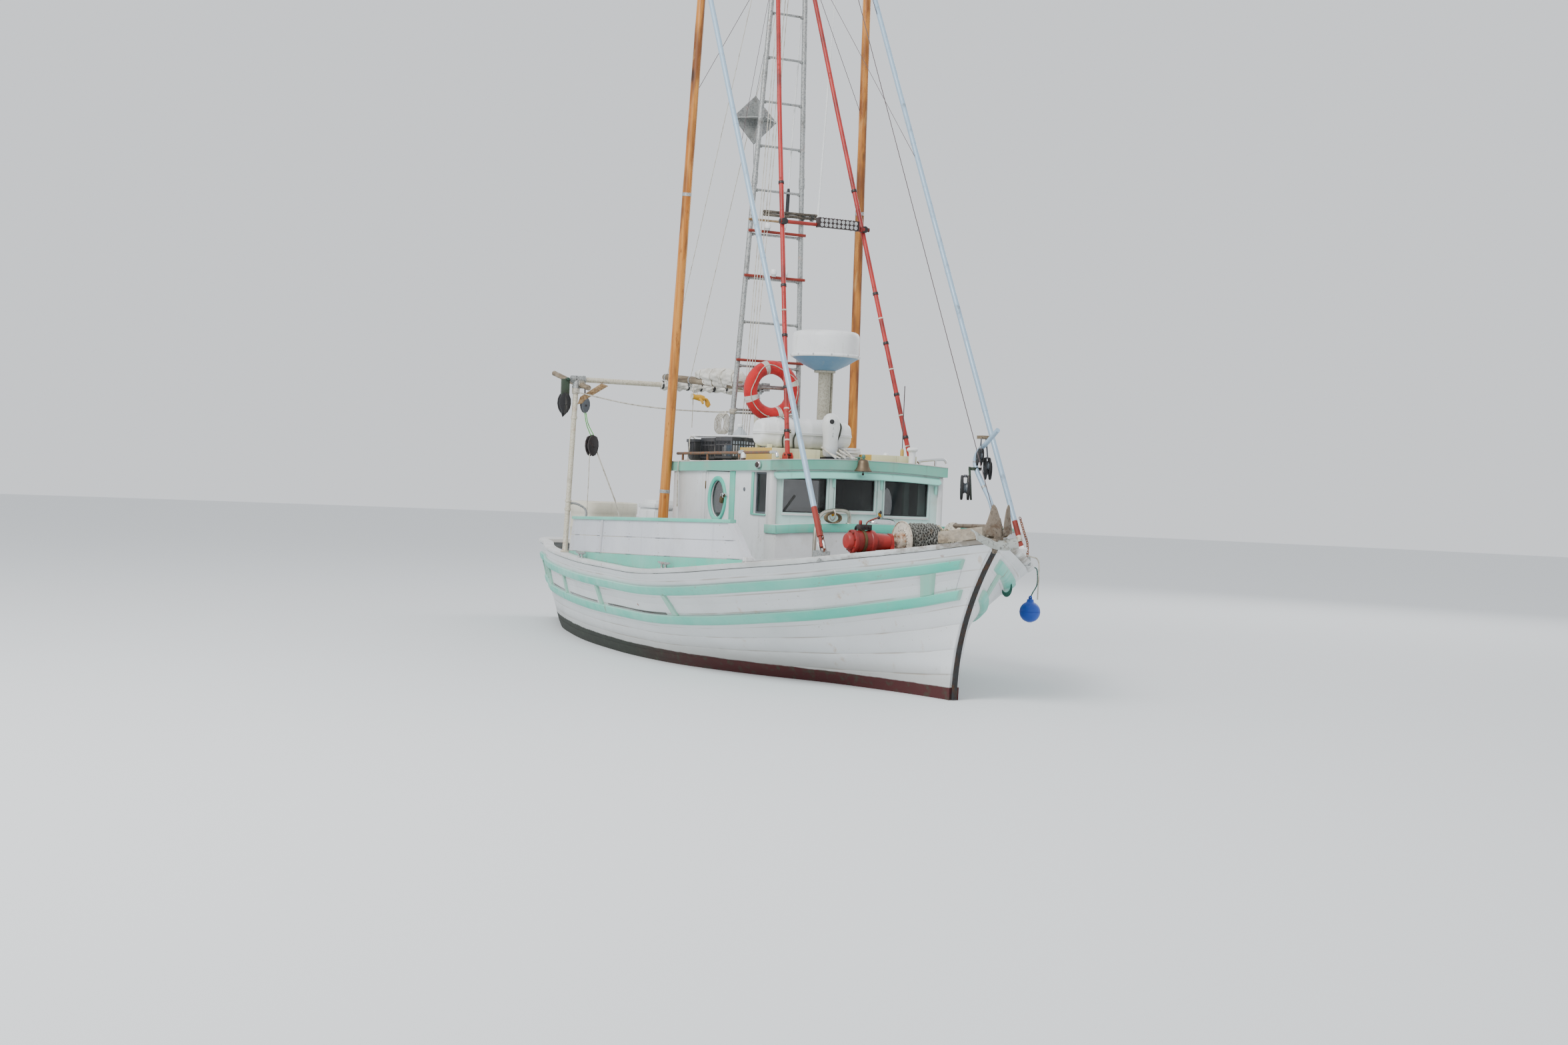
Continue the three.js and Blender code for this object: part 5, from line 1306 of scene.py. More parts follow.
boards = {
    "capRows": (
        (0.014, 0.0), (0.016, 0.005), (0.016, 0.022), (0.010, 0.029), (-0.034, 0.029), (-0.040, 0.022),
        (-0.040, 0.005), (-0.038, 0.0),
    ),
    "foreEnd": (
        (2.974, 1.348), (3.034, 1.350), (3.115, 1.235), (3.206, 1.090), (3.262, 1.046), (3.244, 1.026),
        (3.188, 1.030),
    ),
    "footNails": 12,
    "foot": (-1.54, 3.20), "head": (-1.31, 2.99), "headZ": (1.250, 1.354), "inset": (0.096, 0.098),
    "thick": 0.024, "groove": (1.085, 1.206), "filler": (0.915, 1.056), "gap": 0.0025, "steps": 30,
    "batten": (0.326, 0.0075, 0.010), "nails": (0.03, 0.30, 0.352, 0.53, 0.71, 0.965),
    "posts": (0.03, 0.27, 0.5, 0.73, 0.965), "nailStep": 0.075,
}


def between(ends, share):
    return ends[0] + (ends[1] - ends[0]) * share


def boardPoint(side, along, z, outward):
    footX, headX = between(boards["foot"], along), between(boards["head"], along)
    footHalf, footZ = topside(placeAt(footX), 0)[1:]
    headHalf = topside(placeAt(headX), 0)[1] - boards["inset"][1]
    footHalf, footZ = footHalf - boards["inset"][0], footZ - 0.02
    rise = (z - footZ) / (between(boards["headZ"], along) - footZ)
    return between((footX, headX), rise), side * (between((footHalf, headHalf), rise) + outward), z


def boardFoot(along):
    return topside(placeAt(between(boards["foot"], along)), 0)[2] + 0.001


def boardBand(shape, side, low, high, proud, look=0):
    rings = []
    for i in range(boards["steps"] + 1):
        along = i / boards["steps"]
        z0, z1 = low(along), high(along)
        soft = min(0.003, (z1 - z0) / 3)
        rows = [
            (z0, -boards["thick"]), (z0, proud - soft), (z0 + soft, proud),
            (z1 - soft, proud), (z1, proud - soft), (z1, -boards["thick"]),
        ]
        rings.append([boardPoint(side, along, z, outward) for z, outward in rows])
    return shape.loft(rings, look)


def boardUpright(shape, side, along, half, low, high, inner, outer, look=0):
    rings = []
    for z in (low, high):
        rings.append([
            boardPoint(side, along - half, z, inner), boardPoint(side, along + half, z, inner),
            boardPoint(side, along + half, z, outer), boardPoint(side, along - half, z, outer),
        ])
    return shape.loft(rings, look)


def makeBoards(side, name):
    shape = Shape("weatherBoards" + name.capitalize())
    groove = lambda along: between(boards["groove"], along)
    filler = lambda along: between(boards["filler"], along)
    head = lambda along: between(boards["headZ"], along) - 0.003
    gap = boards["gap"]
    boardBand(shape, side, boardFoot, lambda a: filler(a) - gap, -0.003, 1)
    boardBand(shape, side, lambda a: filler(a) + gap, lambda a: groove(a) - gap, 0.0)
    boardBand(shape, side, lambda a: groove(a) + gap, head, 0.0)
    along, half, proud = boards["batten"]
    boardUpright(shape, side, along, half, filler(along) + 0.004, head(along), 0.0005, proud)
    for place in boards["posts"]:
        boardUpright(
            shape, side, place, 0.006, boardFoot(place), head(place), -0.064, -boards["thick"] - 0.0005,
        )
    rings = []
    for i in range(boards["steps"] + 1):
        x = boards["head"][0] - 0.015 + (
            boards["head"][1] - boards["head"][0] + 0.03
        ) * i / boards["steps"]
        half = topside(placeAt(x), 0)[1] - boards["inset"][1]
        z = between(
            boards["headZ"], (x - boards["head"][0]) / (boards["head"][1] - boards["head"][0]),
        ) - 0.002
        rings.append([(x, side * (half + out), z + up) for out, up in boards["capRows"]])
    shape.loft(rings, 1)
    ends = []
    for outward in (-0.030, 0.012):
        ends.append([
            (x, side * (topside(placeAt(x), 0)[1] - 0.097 + outward), z) for x, z in boards["foreEnd"]
        ])
    shape.loft(ends)
    shape.done(
        [looks["boards"], looks["turquoise"]], "white_paint", replaces=["weather_boards_" + name],
        sharp=35,
    )
    runs = []
    for place in boards["nails"]:
        for low, high in ((filler(place), groove(place)), (groove(place), head(place))):
            runs.append([
                boardPoint(side, place, low + 0.03, 0.0), boardPoint(side, place, high - 0.02, 0.0),
            ])
    for k in range(boards["footNails"]):
        place = 0.06 + k * 0.08
        z = boardFoot(place) + 0.012
        runs.append([boardPoint(side, place, z, -0.003), boardPoint(side, place + 0.002, z, -0.003)])
    grown(
        "boardNails" + name.capitalize(), runs, studTree, {"Radius": 0.0042, "Step": boards["nailStep"]},
        looks["nails"],
    )


shelf = {
    "from": 3.22, "to": 3.62,
    "rows": ((-0.003, -0.030), (-0.015, -0.030), (-0.015, -0.098), (-0.003, -0.098)),
}


def makeShelves():
    shape = Shape("railShelves")
    places = placesBetween(placeAt(shelf["from"]), placeAt(shelf["to"]))
    for side in (-1, 1):
        sideBand(shape, shelf["rows"], places, side)
        x, half, z = offsetPoint(placeAt(3.235), 0, -0.06)
        shape.box((x - 0.03, side * half - 0.035, z - 0.001), (x + 0.03, side * half + 0.035, z + 0.045))
    shape.done([looks["white"]], "white_paint", bevel=0.003)


for side, name in ((-1, "starboard"), (1, "port")):
    makeBoards(side, name)
makeShelves()
print("weather boards made")


# house

house = {
    "hinges": (0.78, 1.20, 1.66),
    "front": 2.598, "aft": 0.7, "half": 0.912, "taper": 0.02265, "floor": 0.62,
    "windows": (
        (-0.752, -0.317, 1.450, 1.757), (-0.235, 0.165, 1.482, 1.757), (0.263, 0.718, 1.448, 1.757),
    ),
    "sideWindow": (2.288, 2.513, 1.428, 1.790), "backWindows": ((-0.620, -0.180), (0.180, 0.620)),
    "door": (1.345, 1.820, 0.620, 1.784), "light": (1.588, 1.537, 0.136, 0.166), "ring": 0.040,
}
roofForm = {"aft": (0.62, 0.915, 1.859), "fore": (2.63, 0.872, 1.892), "crown": 0.03}


def wallY(side, x, outward=0.0):
    return side * (house["half"] - (x - house["aft"]) * house["taper"] + outward)


def onWall(side):
    return lambda x, z, outward: (x, wallY(side, x, outward), z)


def onFront(y, z, outward):
    return (house["front"] + outward, y, z)


def roofTop(x, y):
    share = (x - roofForm["aft"][0]) / (roofForm["fore"][0] - roofForm["aft"][0])
    half = between((roofForm["aft"][1], roofForm["fore"][1]), share)
    edge = between((roofForm["aft"][2], roofForm["fore"][2]), share)
    return edge + roofForm["crown"] * (1 - (y / half) ** 2)


def slab(shape, outline, low, high, place, look=0):
    return shape.loft([[place(a, b, t) for a, b in outline] for t in (low, high)], look)


def frameOf(shape, outer, inner, low, high, place, look=0):  # flat ring between two outlines
    rings = []
    for outline, t in ((outer, low), (inner, low), (inner, high), (outer, high), (outer, low)):
        rings.append([place(a, b, t) for a, b in outline])
    return shape.loft(rings, look, capped=False)


def rectangle(a0, a1, b0, b1):
    return [(a0, b0), (a1, b0), (a1, b1), (a0, b1)]


def rimRectangle(a0, a1, b0, b1, a, b, count=40):  # rectangle's rim, met by rays from an inner point
    angles = [2 * math.pi * i / count for i in range(count)]
    for ca, cb in rectangle(a0, a1, b0, b1):
        corner = math.atan2(cb - b, ca - a) % (2 * math.pi)
        nearest = min(range(count), key=lambda i: abs(angles[i] - corner))
        angles[nearest] = corner
    rim = []
    for angle in angles:
        dx, dz = math.cos(angle), math.sin(angle)
        reach = min(
            ((a1 if dx > 0 else a0) - a) / dx if abs(dx) > 1e-9 else 1e9,
            ((b1 if dz > 0 else b0) - b) / dz if abs(dz) > 1e-9 else 1e9,
        )
        rim.append((a + dx * reach, b + dz * reach))
    return rim, angles


def rayEllipse(a, b, radiusA, radiusB, angles):
    points = []
    for angle in angles:
        reach = 1 / math.hypot(math.cos(angle) / radiusA, math.sin(angle) / radiusB)
        points.append((a + math.cos(angle) * reach, b + math.sin(angle) * reach))
    return points


def makeLight(shape, side, look, depth, proud):  # bevelled ring round an oval light
    x, z, radiusX, radiusZ = house["light"]
    place = onWall(side)
    ring = house["ring"]
    grows = (
        (ring, depth), (ring, proud - 0.004), (ring - 0.004, proud), (0.012, proud), (0.0, proud - 0.009),
        (0.0, depth),
    )
    rings = [
        [place(a, b, t) for a, b in ellipseOutline(x, z, radiusX + g, radiusZ + g)]
        for g, t in (*grows, grows[0])
    ]
    shape.loft(rings, look, capped=False)


def makeDoor():
    shape = Shape("doorLeaf")
    x0, x1, z0, z1 = house["door"]
    x, z, radiusX, radiusZ = house["light"]
    rim, angles = rimRectangle(x0, x1, z0, z1, x, z)
    inner = rayEllipse(x, z, radiusX, radiusZ, angles)
    place = onWall(-1)
    frameOf(shape, rim, inner, -0.030, 0.0, place)
    makeLight(shape, -1, 1, -0.001, 0.018)
    slab(shape, rectangle(x0 + 0.004, x0 + 0.034, z0 + 0.004, z1 - 0.004), 0.0002, 0.004, place)
    for level in house["hinges"]:
        shape.tube(
            [place(x0 - 0.002, level - 0.035, 0.006), place(x0 - 0.002, level + 0.035, 0.006)], 0.006, 2,
            10,
        )
    slab(shape, rectangle(1.776, 1.806, 1.10, 1.20), 0.0002, 0.004, place, 2)
    shape.tube([place(1.791, 1.15, 0.003), place(1.791, 1.15, 0.045)], 0.008, 2, 10)
    shape.tube([place(1.793, 1.15, 0.045), place(1.70, 1.147, 0.047)], 0.007, 2, 10)
    slab(shape, rectangle(1.716, 1.770, 1.556, 1.580), 0.0185, 0.023, place, 2)
    slab(shape, [(1.700, 1.510), (1.742, 1.498), (1.758, 1.548), (1.716, 1.560)], 0.024, 0.044, place, 2)
    shape.tube(
        [
            place(1.712, 1.556, 0.034), place(1.716, 1.586, 0.034), place(1.744, 1.588, 0.034),
            place(1.752, 1.550, 0.034),
        ],
        0.0045, 3, 8,
    )
    shape.tube(
        [place(1.744, 1.570, 0.026), place(1.776, 1.590, 0.026), place(1.800, 1.574, 0.020)], 0.007, 3, 8,
    )
    shape.done(
        [looks["white"], looks["turquoise"], looks["brassDull"], looks["chrome"]],
        "white_paint", "door", ["side_door"], bevel=0.0015,
    )
    pane = Shape("doorPane")
    slab(pane, ellipseOutline(x, z, radiusX - 0.0005, radiusZ - 0.0005), -0.018, -0.012, place)
    pane.done([looks["glass"]], "window_glass", "door")


def makeSides():
    shape = Shape("houseTrim")
    x0, x1, z0, z1 = house["sideWindow"]
    for side in (-1, 1):
        place = onWall(side)
        slab(shape, rectangle(0.672, 0.776, house["floor"] - 0.02, 1.776), 0.0003, 0.010, place)
        slab(shape, rectangle(x0 - 0.043, x0 - 0.0005, z0 - 0.012, z1 - 0.002), 0.0003, 0.009, place, 1)
        slab(shape, rectangle(x0, x1 + 0.012, z0 - 0.013, z0 - 0.0005), 0.0003, 0.014, place, 1)
        frameOf(
            shape, rectangle(x0 + 0.001, x1 - 0.001, z0 + 0.001, z1 - 0.001),
            rectangle(x0 + 0.016, x1 - 0.014, z0 + 0.016, z1 - 0.016), -0.031, -0.020, place, 2,
        )
        corner = [
            (2.548, 0.0), (2.580, 0.006), (2.598, 0.003), (2.6085, -0.006), (2.6115, -0.024),
            (2.6085, -0.05), (2.5985, -0.056),
        ]
        rings = [
            [(x, wallY(side, x, outward), z) for x, outward in corner]
            for z in (house["floor"] - 0.02, 1.80)
        ]
        shape.loft(rings)
        shape.lathe(
            [(0.0001, 0.0), (0.017, 0.0), (0.019, 0.004), (0.0, 0.004)],
            (2.104, wallY(side, 2.104), 1.635), (0, side, 0), 2, 16,
        )
    slab(shape, rectangle(1.832, 1.925, house["floor"], 1.790), 0.0003, 0.011, onWall(-1), 1)
    slab(shape, rectangle(1.262, 1.334, house["floor"], 1.776), 0.0003, 0.006, onWall(-1))
    makeLight(shape, 1, 1, 0.0003, 0.018)
    shape.done(
        [looks["white"], looks["turquoise"], looks["greySteel"]], "white_paint", bevel=0.0015,
    )
    panes = Shape("sidePanes")
    for side in (-1, 1):
        slab(
            panes, rectangle(x0 + 0.015, x1 - 0.013, z0 + 0.015, z1 - 0.015), -0.028, -0.023,
            onWall(side),
        )
    x, z, radiusX, radiusZ = house["light"]
    slab(panes, ellipseOutline(x, z, radiusX - 0.001, radiusZ - 0.001), -0.018, -0.012, onWall(1))
    for y0, y1 in house["backWindows"]:
        panes.box((0.712, y0 + 0.001, 1.401), (0.718, y1 - 0.001, 1.739))
    panes.done([looks["glass"]], "window_glass")


front = {
    "mullions": (-0.277, 0.214),
    "tabs": ((-0.258, 1.682, 1.754), (0.225, 1.677, 1.764), (0.788, 1.652, 1.727)),
    "latches": (-0.261, 0.215),
    "sills": (
        (-0.240, 0.180, 1.452, 1.470, 0.0075, 0.016), (0.255, 0.728, 1.424, 1.436, 0.0003, 0.014),
        (-0.760, -0.305, 1.426, 1.438, 0.0003, 0.014),
    ),
    "dripRows": (
        -0.851, -0.846, -0.83, -0.80, -0.6, -0.4, -0.2, 0.0, 0.2, 0.4, 0.6, 0.775, 0.805, 0.821, 0.826,
    ),
}


def makeFront():
    shape = Shape("frontTrim")
    for y0, y1, z0, z1 in house["windows"]:
        frameOf(
            shape, rectangle(y0 - 0.014, y1 + 0.014, z0 - 0.014, z1 + 0.012),
            rectangle(y0 + 0.001, y1 - 0.001, z0 + 0.001, z1 - 0.001), 0.0003, 0.007, onFront,
        )
        frameOf(
            shape, rectangle(y0 + 0.0015, y1 - 0.0015, z0 + 0.0015, z1 - 0.0015),
            rectangle(y0 + 0.011, y1 - 0.011, z0 + 0.011, z1 - 0.011), -0.0212, -0.012, onFront, 3,
        )
    for y0, y1, z0, z1, low, high in front["sills"]:
        slab(shape, rectangle(y0, y1, z0, z1), low, high, onFront, 1)
    for y in front["mullions"]:
        slab(shape, rectangle(y - 0.022, y + 0.022, 1.385, 1.765), 0.0003, 0.011, onFront)
    for y, low, high in front["tabs"]:
        slab(shape, rectangle(y - 0.011, y + 0.011, low, high), 0.0115, 0.022, onFront, 2)
    for y in front["latches"]:
        turn = Matrix.Rotation(0.25, 3, "X")
        shape.turnedBox((2.616, y, 1.452), (0.012, 0.024, 0.042), turn, 4)
        shape.tube([(2.612, y, 1.470), (2.634, y + 0.004, 1.474)], 0.010, 5, 12)
        shape.tube([(2.620, y + 0.004, 1.474), (2.624, y + 0.006, 1.492)], 0.007, 5, 10)
    shape.done(
        [
            looks["frame"], looks["white"], looks["turquoisePale"], looks["rubber"], looks["brass"],
            looks["blackSteel"],
        ],
        "mint_paint", bevel=0.0015,
    )
    lip = Shape("dripBoard")
    rings = []
    for y in front["dripRows"]:
        top = roofTop(2.6, y) - 0.098
        end = min(y + 0.852, 0.827 - y)
        short = 0.030 * (1 - math.sqrt(max(0.0, 1 - (1 - min(end / 0.03, 1)) ** 2)))
        low = top - 0.062 + short
        rings.append([
            (2.5984, y, top), (2.610, y, top), (2.626, y, top - 0.016), (2.6445, y, low + 0.006),
            (2.6435, y, low + 0.001), (2.638, y, low), (2.618, y, top - 0.030), (2.5984, y, top - 0.034),
        ])
    lip.loft(rings)
    lip.done([looks["turquoisePale"]], "mint_paint", replaces=["window_trim"], sharp=30)


def makeRoofEdge():
    shape = Shape("roofEdge")
    lift, wide = 0.0085, 0.03
    for x0, x1 in ((2.602, 2.634), (0.616, 0.648)):
        rings = []
        for i in range(25):
            share = -1 + i / 12
            half = between((roofForm["aft"][1], roofForm["fore"][1]), (x0 - 0.62) / 2.01) + 0.027
            y = half * share
            z = roofTop(x0, y) + lift
            rings.append([(x0, y, z - 0.003), (x1, y, z - 0.003), (x1, y, z + 0.003), (x0, y, z + 0.003)])
        shape.loft(rings)
    for side in (-1, 1):
        rings = []
        for x in (0.62, 2.63):
            half = between((roofForm["aft"][1], roofForm["fore"][1]), (x - 0.62) / 2.01) + 0.029
            z = roofTop(x, half) + lift
            rings.append([
                (x, side * half, z - 0.003), (x, side * half, z + 0.003),
                (x, side * (half - wide), z + 0.005), (x, side * (half - wide), z - 0.001),
            ])
        shape.loft(rings)
    shape.done([looks["white"]], "cream_paint")
    lamp = Shape("sideLamp")
    place = (2.441, wallY(-1, 2.441, 0.0445), 1.853)
    lamp.lathe(
        [(0.0, 0.0), (0.034, 0.0), (0.036, 0.006), (0.033, 0.016), (0.026, 0.022), (0.0, 0.022)], place,
        (0.3, -1, 0), 0, 28,
    )
    lamp.lathe([(0.0, 0.022), (0.024, 0.0225), (0.018, 0.030), (0.0, 0.034)], place, (0.3, -1, 0), 1, 24)
    lamp.done([looks["chrome"], looks["blackSteel"]], "stainless")


trunk = {
    "ventRows": (  # half width, half length, height
        (0.130, 0.060, 1.372), (0.134, 0.062, 1.380), (0.126, 0.056, 1.402), (0.104, 0.044, 1.418),
        (0.06, 0.022, 1.424),
    ),
    "ventSides": 40,
    "rail": (
        (2.975, -0.620, 0.675), (2.965, -0.620, 1.000), (2.945, -0.600, 1.330), (2.890, -0.520, 1.450),
        (2.810, -0.360, 1.482), (2.740, -0.200, 1.478), (2.715, -0.150, 1.440), (2.712, -0.148, 1.372),
    ),
    "railFoot": ((0.0, 0.0), (0.042, 0.0), (0.042, 0.008), (0.022, 0.014), (0.020, 0.03), (0.0, 0.03)),
    "railEnd": ((0.0, 0.0), (0.030, 0.0), (0.028, 0.007), (0.0, 0.009)),
    "half": 0.915, "aft": 2.5983, "fore": 2.805, "top": 1.338, "crown": 0.032, "band": 0.070,
}


def makeTrunk():
    shape = Shape("trunkCabin")

    def crest(y):
        return trunk["top"] + trunk["crown"] * (1 - (y / trunk["half"]) ** 2)

    across = [trunk["half"] * (1 - i / 10) for i in range(21)]
    rings = []
    for x in (trunk["aft"], trunk["fore"]):
        rings.append([(x, y, crest(y)) for y in across] + [(x, y, 0.60) for y in reversed(across)])
    shape.loft(rings)
    rings = []
    for x in (2.790, 2.819):
        rings.append(
            [(x, y, crest(y) + 0.003) for y in across]
            + [(x, y, crest(y) - trunk["band"]) for y in reversed(across)]
        )
    shape.loft(rings, 1)
    for side in (-1, 1):
        y0, y1 = sorted((side * trunk["half"], side * (trunk["half"] + 0.014)))
        shape.box((2.61, y0, trunk["top"] - trunk["band"]), (2.819, y1, trunk["top"] + 0.004), 1)
    shape.done(
        [looks["white"], looks["turquoise"]], "white_paint", replaces=["trunk_cabin"], bevel=0.003,
        sharp=35,
    )
    vent = Shape("trunkVent")
    rings = []
    sides = trunk["ventSides"]
    for half, reach, z in trunk["ventRows"]:
        ring = []
        for t in (2 * math.pi * i / sides for i in range(sides)):
            across = half * math.copysign(abs(math.sin(t)) ** 0.55, math.sin(t))
            ring.append((2.702 + reach * math.cos(t), 0.189 + across, z))
        rings.append(ring)
    vent.loft(rings)
    vent.done([looks["chrome"]], "stainless", sharp=50)
    rail = Shape("trunkHandrail")
    path = spline(list(trunk["rail"]), 7)
    rail.tube(path, 0.017, 0, 16)
    rail.lathe(list(trunk["railFoot"]), (2.975, -0.620, 0.664), look=1)
    rail.lathe(list(trunk["railEnd"]), (2.712, -0.148, 1.370), look=0)
    rail.done([looks["railSteel"], looks["greySteel"]], "stainless", replaces=["trunk_rail"])


inside = {"dash": (2.18, 2.560, 1.345, 1.372)}


def makeInside():
    shape = Shape("wheelhouseInside")
    x0, x1, z0, z1 = inside["dash"]
    shape.box((x0, -0.815, z0), (x1, 0.815, z1))
    shape.box((x0 + 0.10, -0.80, 0.64), (x0 + 0.13, 0.80, z0 - 0.001))
    for y in (-0.815, 0.795):
        shape.box((0.745, y, 1.02), (1.25, y + 0.02, 1.06))
    shape.box((2.30, -0.735, z1 + 0.001), (2.55, -0.40, z1 + 0.085), 1)
    shape.tube([(2.52, -0.70, 1.455), (2.50, -0.58, 1.60)], 0.012, 0, 10)
    shape.box((2.40, 0.05, z1 + 0.001), (2.50, 0.16, z1 + 0.06), 2)
    shape.box((2.36, 0.585, z1 + 0.001), (2.40, 0.640, 1.755), 3)
    shape.box((2.50, 0.660, z1 + 0.001), (2.52, 0.760, 1.755), 3)
    shape.box((2.20, -0.16, z1 + 0.001), (2.40, -0.02, z1 + 0.16), 2)
    shape.box((0.80, -0.80, 0.640), (1.16, -0.34, 0.98), 0)
    shape.box((0.80, -0.80, 0.982), (1.16, -0.34, 1.04), 4)
    shape.done(
        [looks["whiteInside"], looks["matBlue"], looks["blackSteel"], looks["frame"], looks["canvas"]],
        "white_paint", bevel=0.006,
    )


makeDoor()
makeSides()
makeFront()
makeRoofEdge()
makeTrunk()
makeInside()
print("house made")


# roof gear

raft = {
    "place": (1.930, -0.232, 2.152), "half": 0.460, "wide": 0.134, "high": 0.139,
    "ribs": (-0.30, -0.215, 0.03, 0.22),
    "shells": ((-0.012, -0.001, 0.016), (0.001, 0.012, 0.013)), "straps": (-0.255, -0.145, 0.30),
    "strapEdge": ((1.0, -0.009), (1.018, -0.009), (1.018, 0.009), (1.0, 0.009)),
}


def superellipse(a, b, power, count):
    points = []
    for i in range(count):
        t = 2 * math.pi * i / count
        c, s = math.cos(t), math.sin(t)
        points.append((
            a * math.copysign(abs(c) ** (2 / power), c), b * math.copysign(abs(s) ** (2 / power), s),
        ))
    return points


def makeRaft():
    shape = Shape("raftCanister")
    x, y, z = raft["place"]
    rings = []
    steps = 72
    for i in range(steps + 1):
        share = -math.cos(math.pi * i / steps)
        size = max(1 - abs(share) ** 5, 0.0) ** 0.36
        size = 0.55 + 0.45 * size
        along = share * raft["half"]
        raised = sum(0.006 * max(0.0, 1 - (abs(along - rib) / 0.016) ** 4) for rib in raft["ribs"])
        outline = superellipse(raft["wide"] * size + raised, raft["high"] * size + raised, 2.7, 36)
        rings.append([(x + a, y + along, z + b) for a, b in outline])
    shape.loft(rings)
    for low, high, grow in raft["shells"]:
        outline = superellipse(raft["wide"] + grow, raft["half"] + grow - 0.004, 5.0, 64)
        shape.plate([(x + a, y + b) for a, b in outline], z + low, z + high, "z")
    shape.done([looks["plastic"]], "white_plastic", replaces=["raft_canister"], bevel=0.002, sharp=42)
    straps = Shape("raftStraps")
    for along in raft["straps"]:
        rings = []
        for turned, (a, b) in enumerate(
            superellipse(raft["wide"] + 0.017, raft["high"] + 0.0085, 2.7, 36)
        ):
            rings.append([
                (x + a * k, y + along + d + 0.02 * math.sin(turned * 0.5), z + b * k)
                for k, d in raft["strapEdge"]
            ])
        rings.append(rings[0])
        straps.loft(rings, 0, capped=False)
    straps.turnedBox(
        (x + 0.158, y - 0.235, z + 0.012), (0.022, 0.062, 0.03), Matrix.Rotation(0.15, 3, "X"), 1,
    )
    straps.tube([(x + 0.172, y - 0.262, z + 0.012), (x + 0.172, y - 0.206, z + 0.016)], 0.0055, 2, 8)
    straps.tube([(x + 0.165, y - 0.235, z + 0.03), (x + 0.158, y - 0.23, z + 0.075)], 0.009, 3, 8)
    straps.done([looks["ropeDark"], looks["brassDull"], looks["chrome"], looks["yellow"]], "bare_wood")


roofBoxes = {
    "boxes": (  # low corner, high corner; the fore face is cream, and the side faces take the ochre yellow paint as painted shade of the cream box
        ((1.700, -0.742, 0.0), (2.352, -0.268, 2.010)),
        ((2.170, 0.180, 0.0), (2.500, 0.642, 1.988)),
        ((1.780, -0.266, 0.0), (2.110, 0.250, 2.011)),
    ),
    "stands": (-0.62, -0.03, 0.16), "lathShifts": (0.0, 0.012, -0.008, 0.006, 0.0),
    "matEdge": ((2.27, 0.009), (2.40, 0.010), (2.53, 0.009), (2.53, 0.004), (2.40, 0.004), (2.27, 0.004)),
    "matRows": (-0.25, -0.20, -0.15, -0.10, -0.05, 0.0, 0.04),
    "sticks": (
        (0.0, 0.0, 0.35), (0.03, 0.035, 0.1), (-0.02, 0.07, -0.2), (0.035, 0.105, 0.5), (0.0, 0.14, 0.2),
        (-0.03, -0.03, 0.6),
    ),
}


def makeRoofBoxes():
    shape = Shape("roofBoxes")
    for (x0, y0, _), (x1, y1, top) in roofBoxes["boxes"]:
        low = min(roofTop(x, y) for x in (x0, x1) for y in (y0, y1)) - 0.004
        middle = (y0 + y1) / 2 + 0.02
        shape.box((x0, y0 + 0.014, low), (x1 - 0.016, y1 - 0.014, top - 0.002), 0)
        shape.box((x1 - 0.0155, y0 + 0.0005, low), (x1, middle - 0.001, top), 0)
        shape.box((x1 - 0.0155, middle + 0.001, low), (x1, y1 - 0.0005, top), 0)
        # side boards in the ochre yellow paint: painted shade on the sides of the cream box
        shape.box((x0, y0, low), (x1 - 0.016, y0 + 0.0135, top), 1)
        shape.box((x0, y1 - 0.0135, low), (x1 - 0.016, y1, top), 1)
    for y in roofBoxes["stands"]:
        shape.box((1.80, y - 0.02, 1.98), (1.825, y + 0.02, 2.046), 0)
        shape.box((2.035, y - 0.02, 1.98), (2.06, y + 0.02, 2.046), 0)
    shape.done([looks["cream"], looks["yellow"]], "cream_paint", replaces=["roof_boards"], bevel=0.002)
    laths = Shape("roofLaths")
    base = roofTop(2.2, 0.17) + 0.003
    for i, shift in enumerate(roofBoxes["lathShifts"]):
        laths.box(
            (2.172 - 0.36 + shift, 0.045 + shift * 0.4, base + i * 0.0255),
            (2.30 + shift, 0.168 + shift * 0.4, base + i * 0.0255 + 0.022),
        )
    laths.done([looks["white"]], "white_paint", bevel=0.002)
    mat = Shape("roofMat")
    rows = []
    for y in roofBoxes["matRows"]:
        rows.append([
            (x, y, roofTop(x, y) + up + 0.003 * math.sin(x * 60 + y * 40))
            for x, up in roofBoxes["matEdge"]
        ])
    mat.loft(rows)
    mat.done([looks["panBlue"]], "white_plastic", bevel=0.001)
    sticks = Shape("roofSticks")
    for k, (dx, dy, turn) in enumerate(roofBoxes["sticks"]):
        foot = Vector((2.43 + dx, -0.10 + dy, roofTop(2.43, -0.10 + dy) + 0.022))
        tip = foot + Vector((-0.16, -0.11 * turn, 0.045 + 0.010 * k))
        sticks.tube([foot, tip], 0.0085, 0, 10)
    sticks.done([looks["ropeWhite"]], "bare_wood")


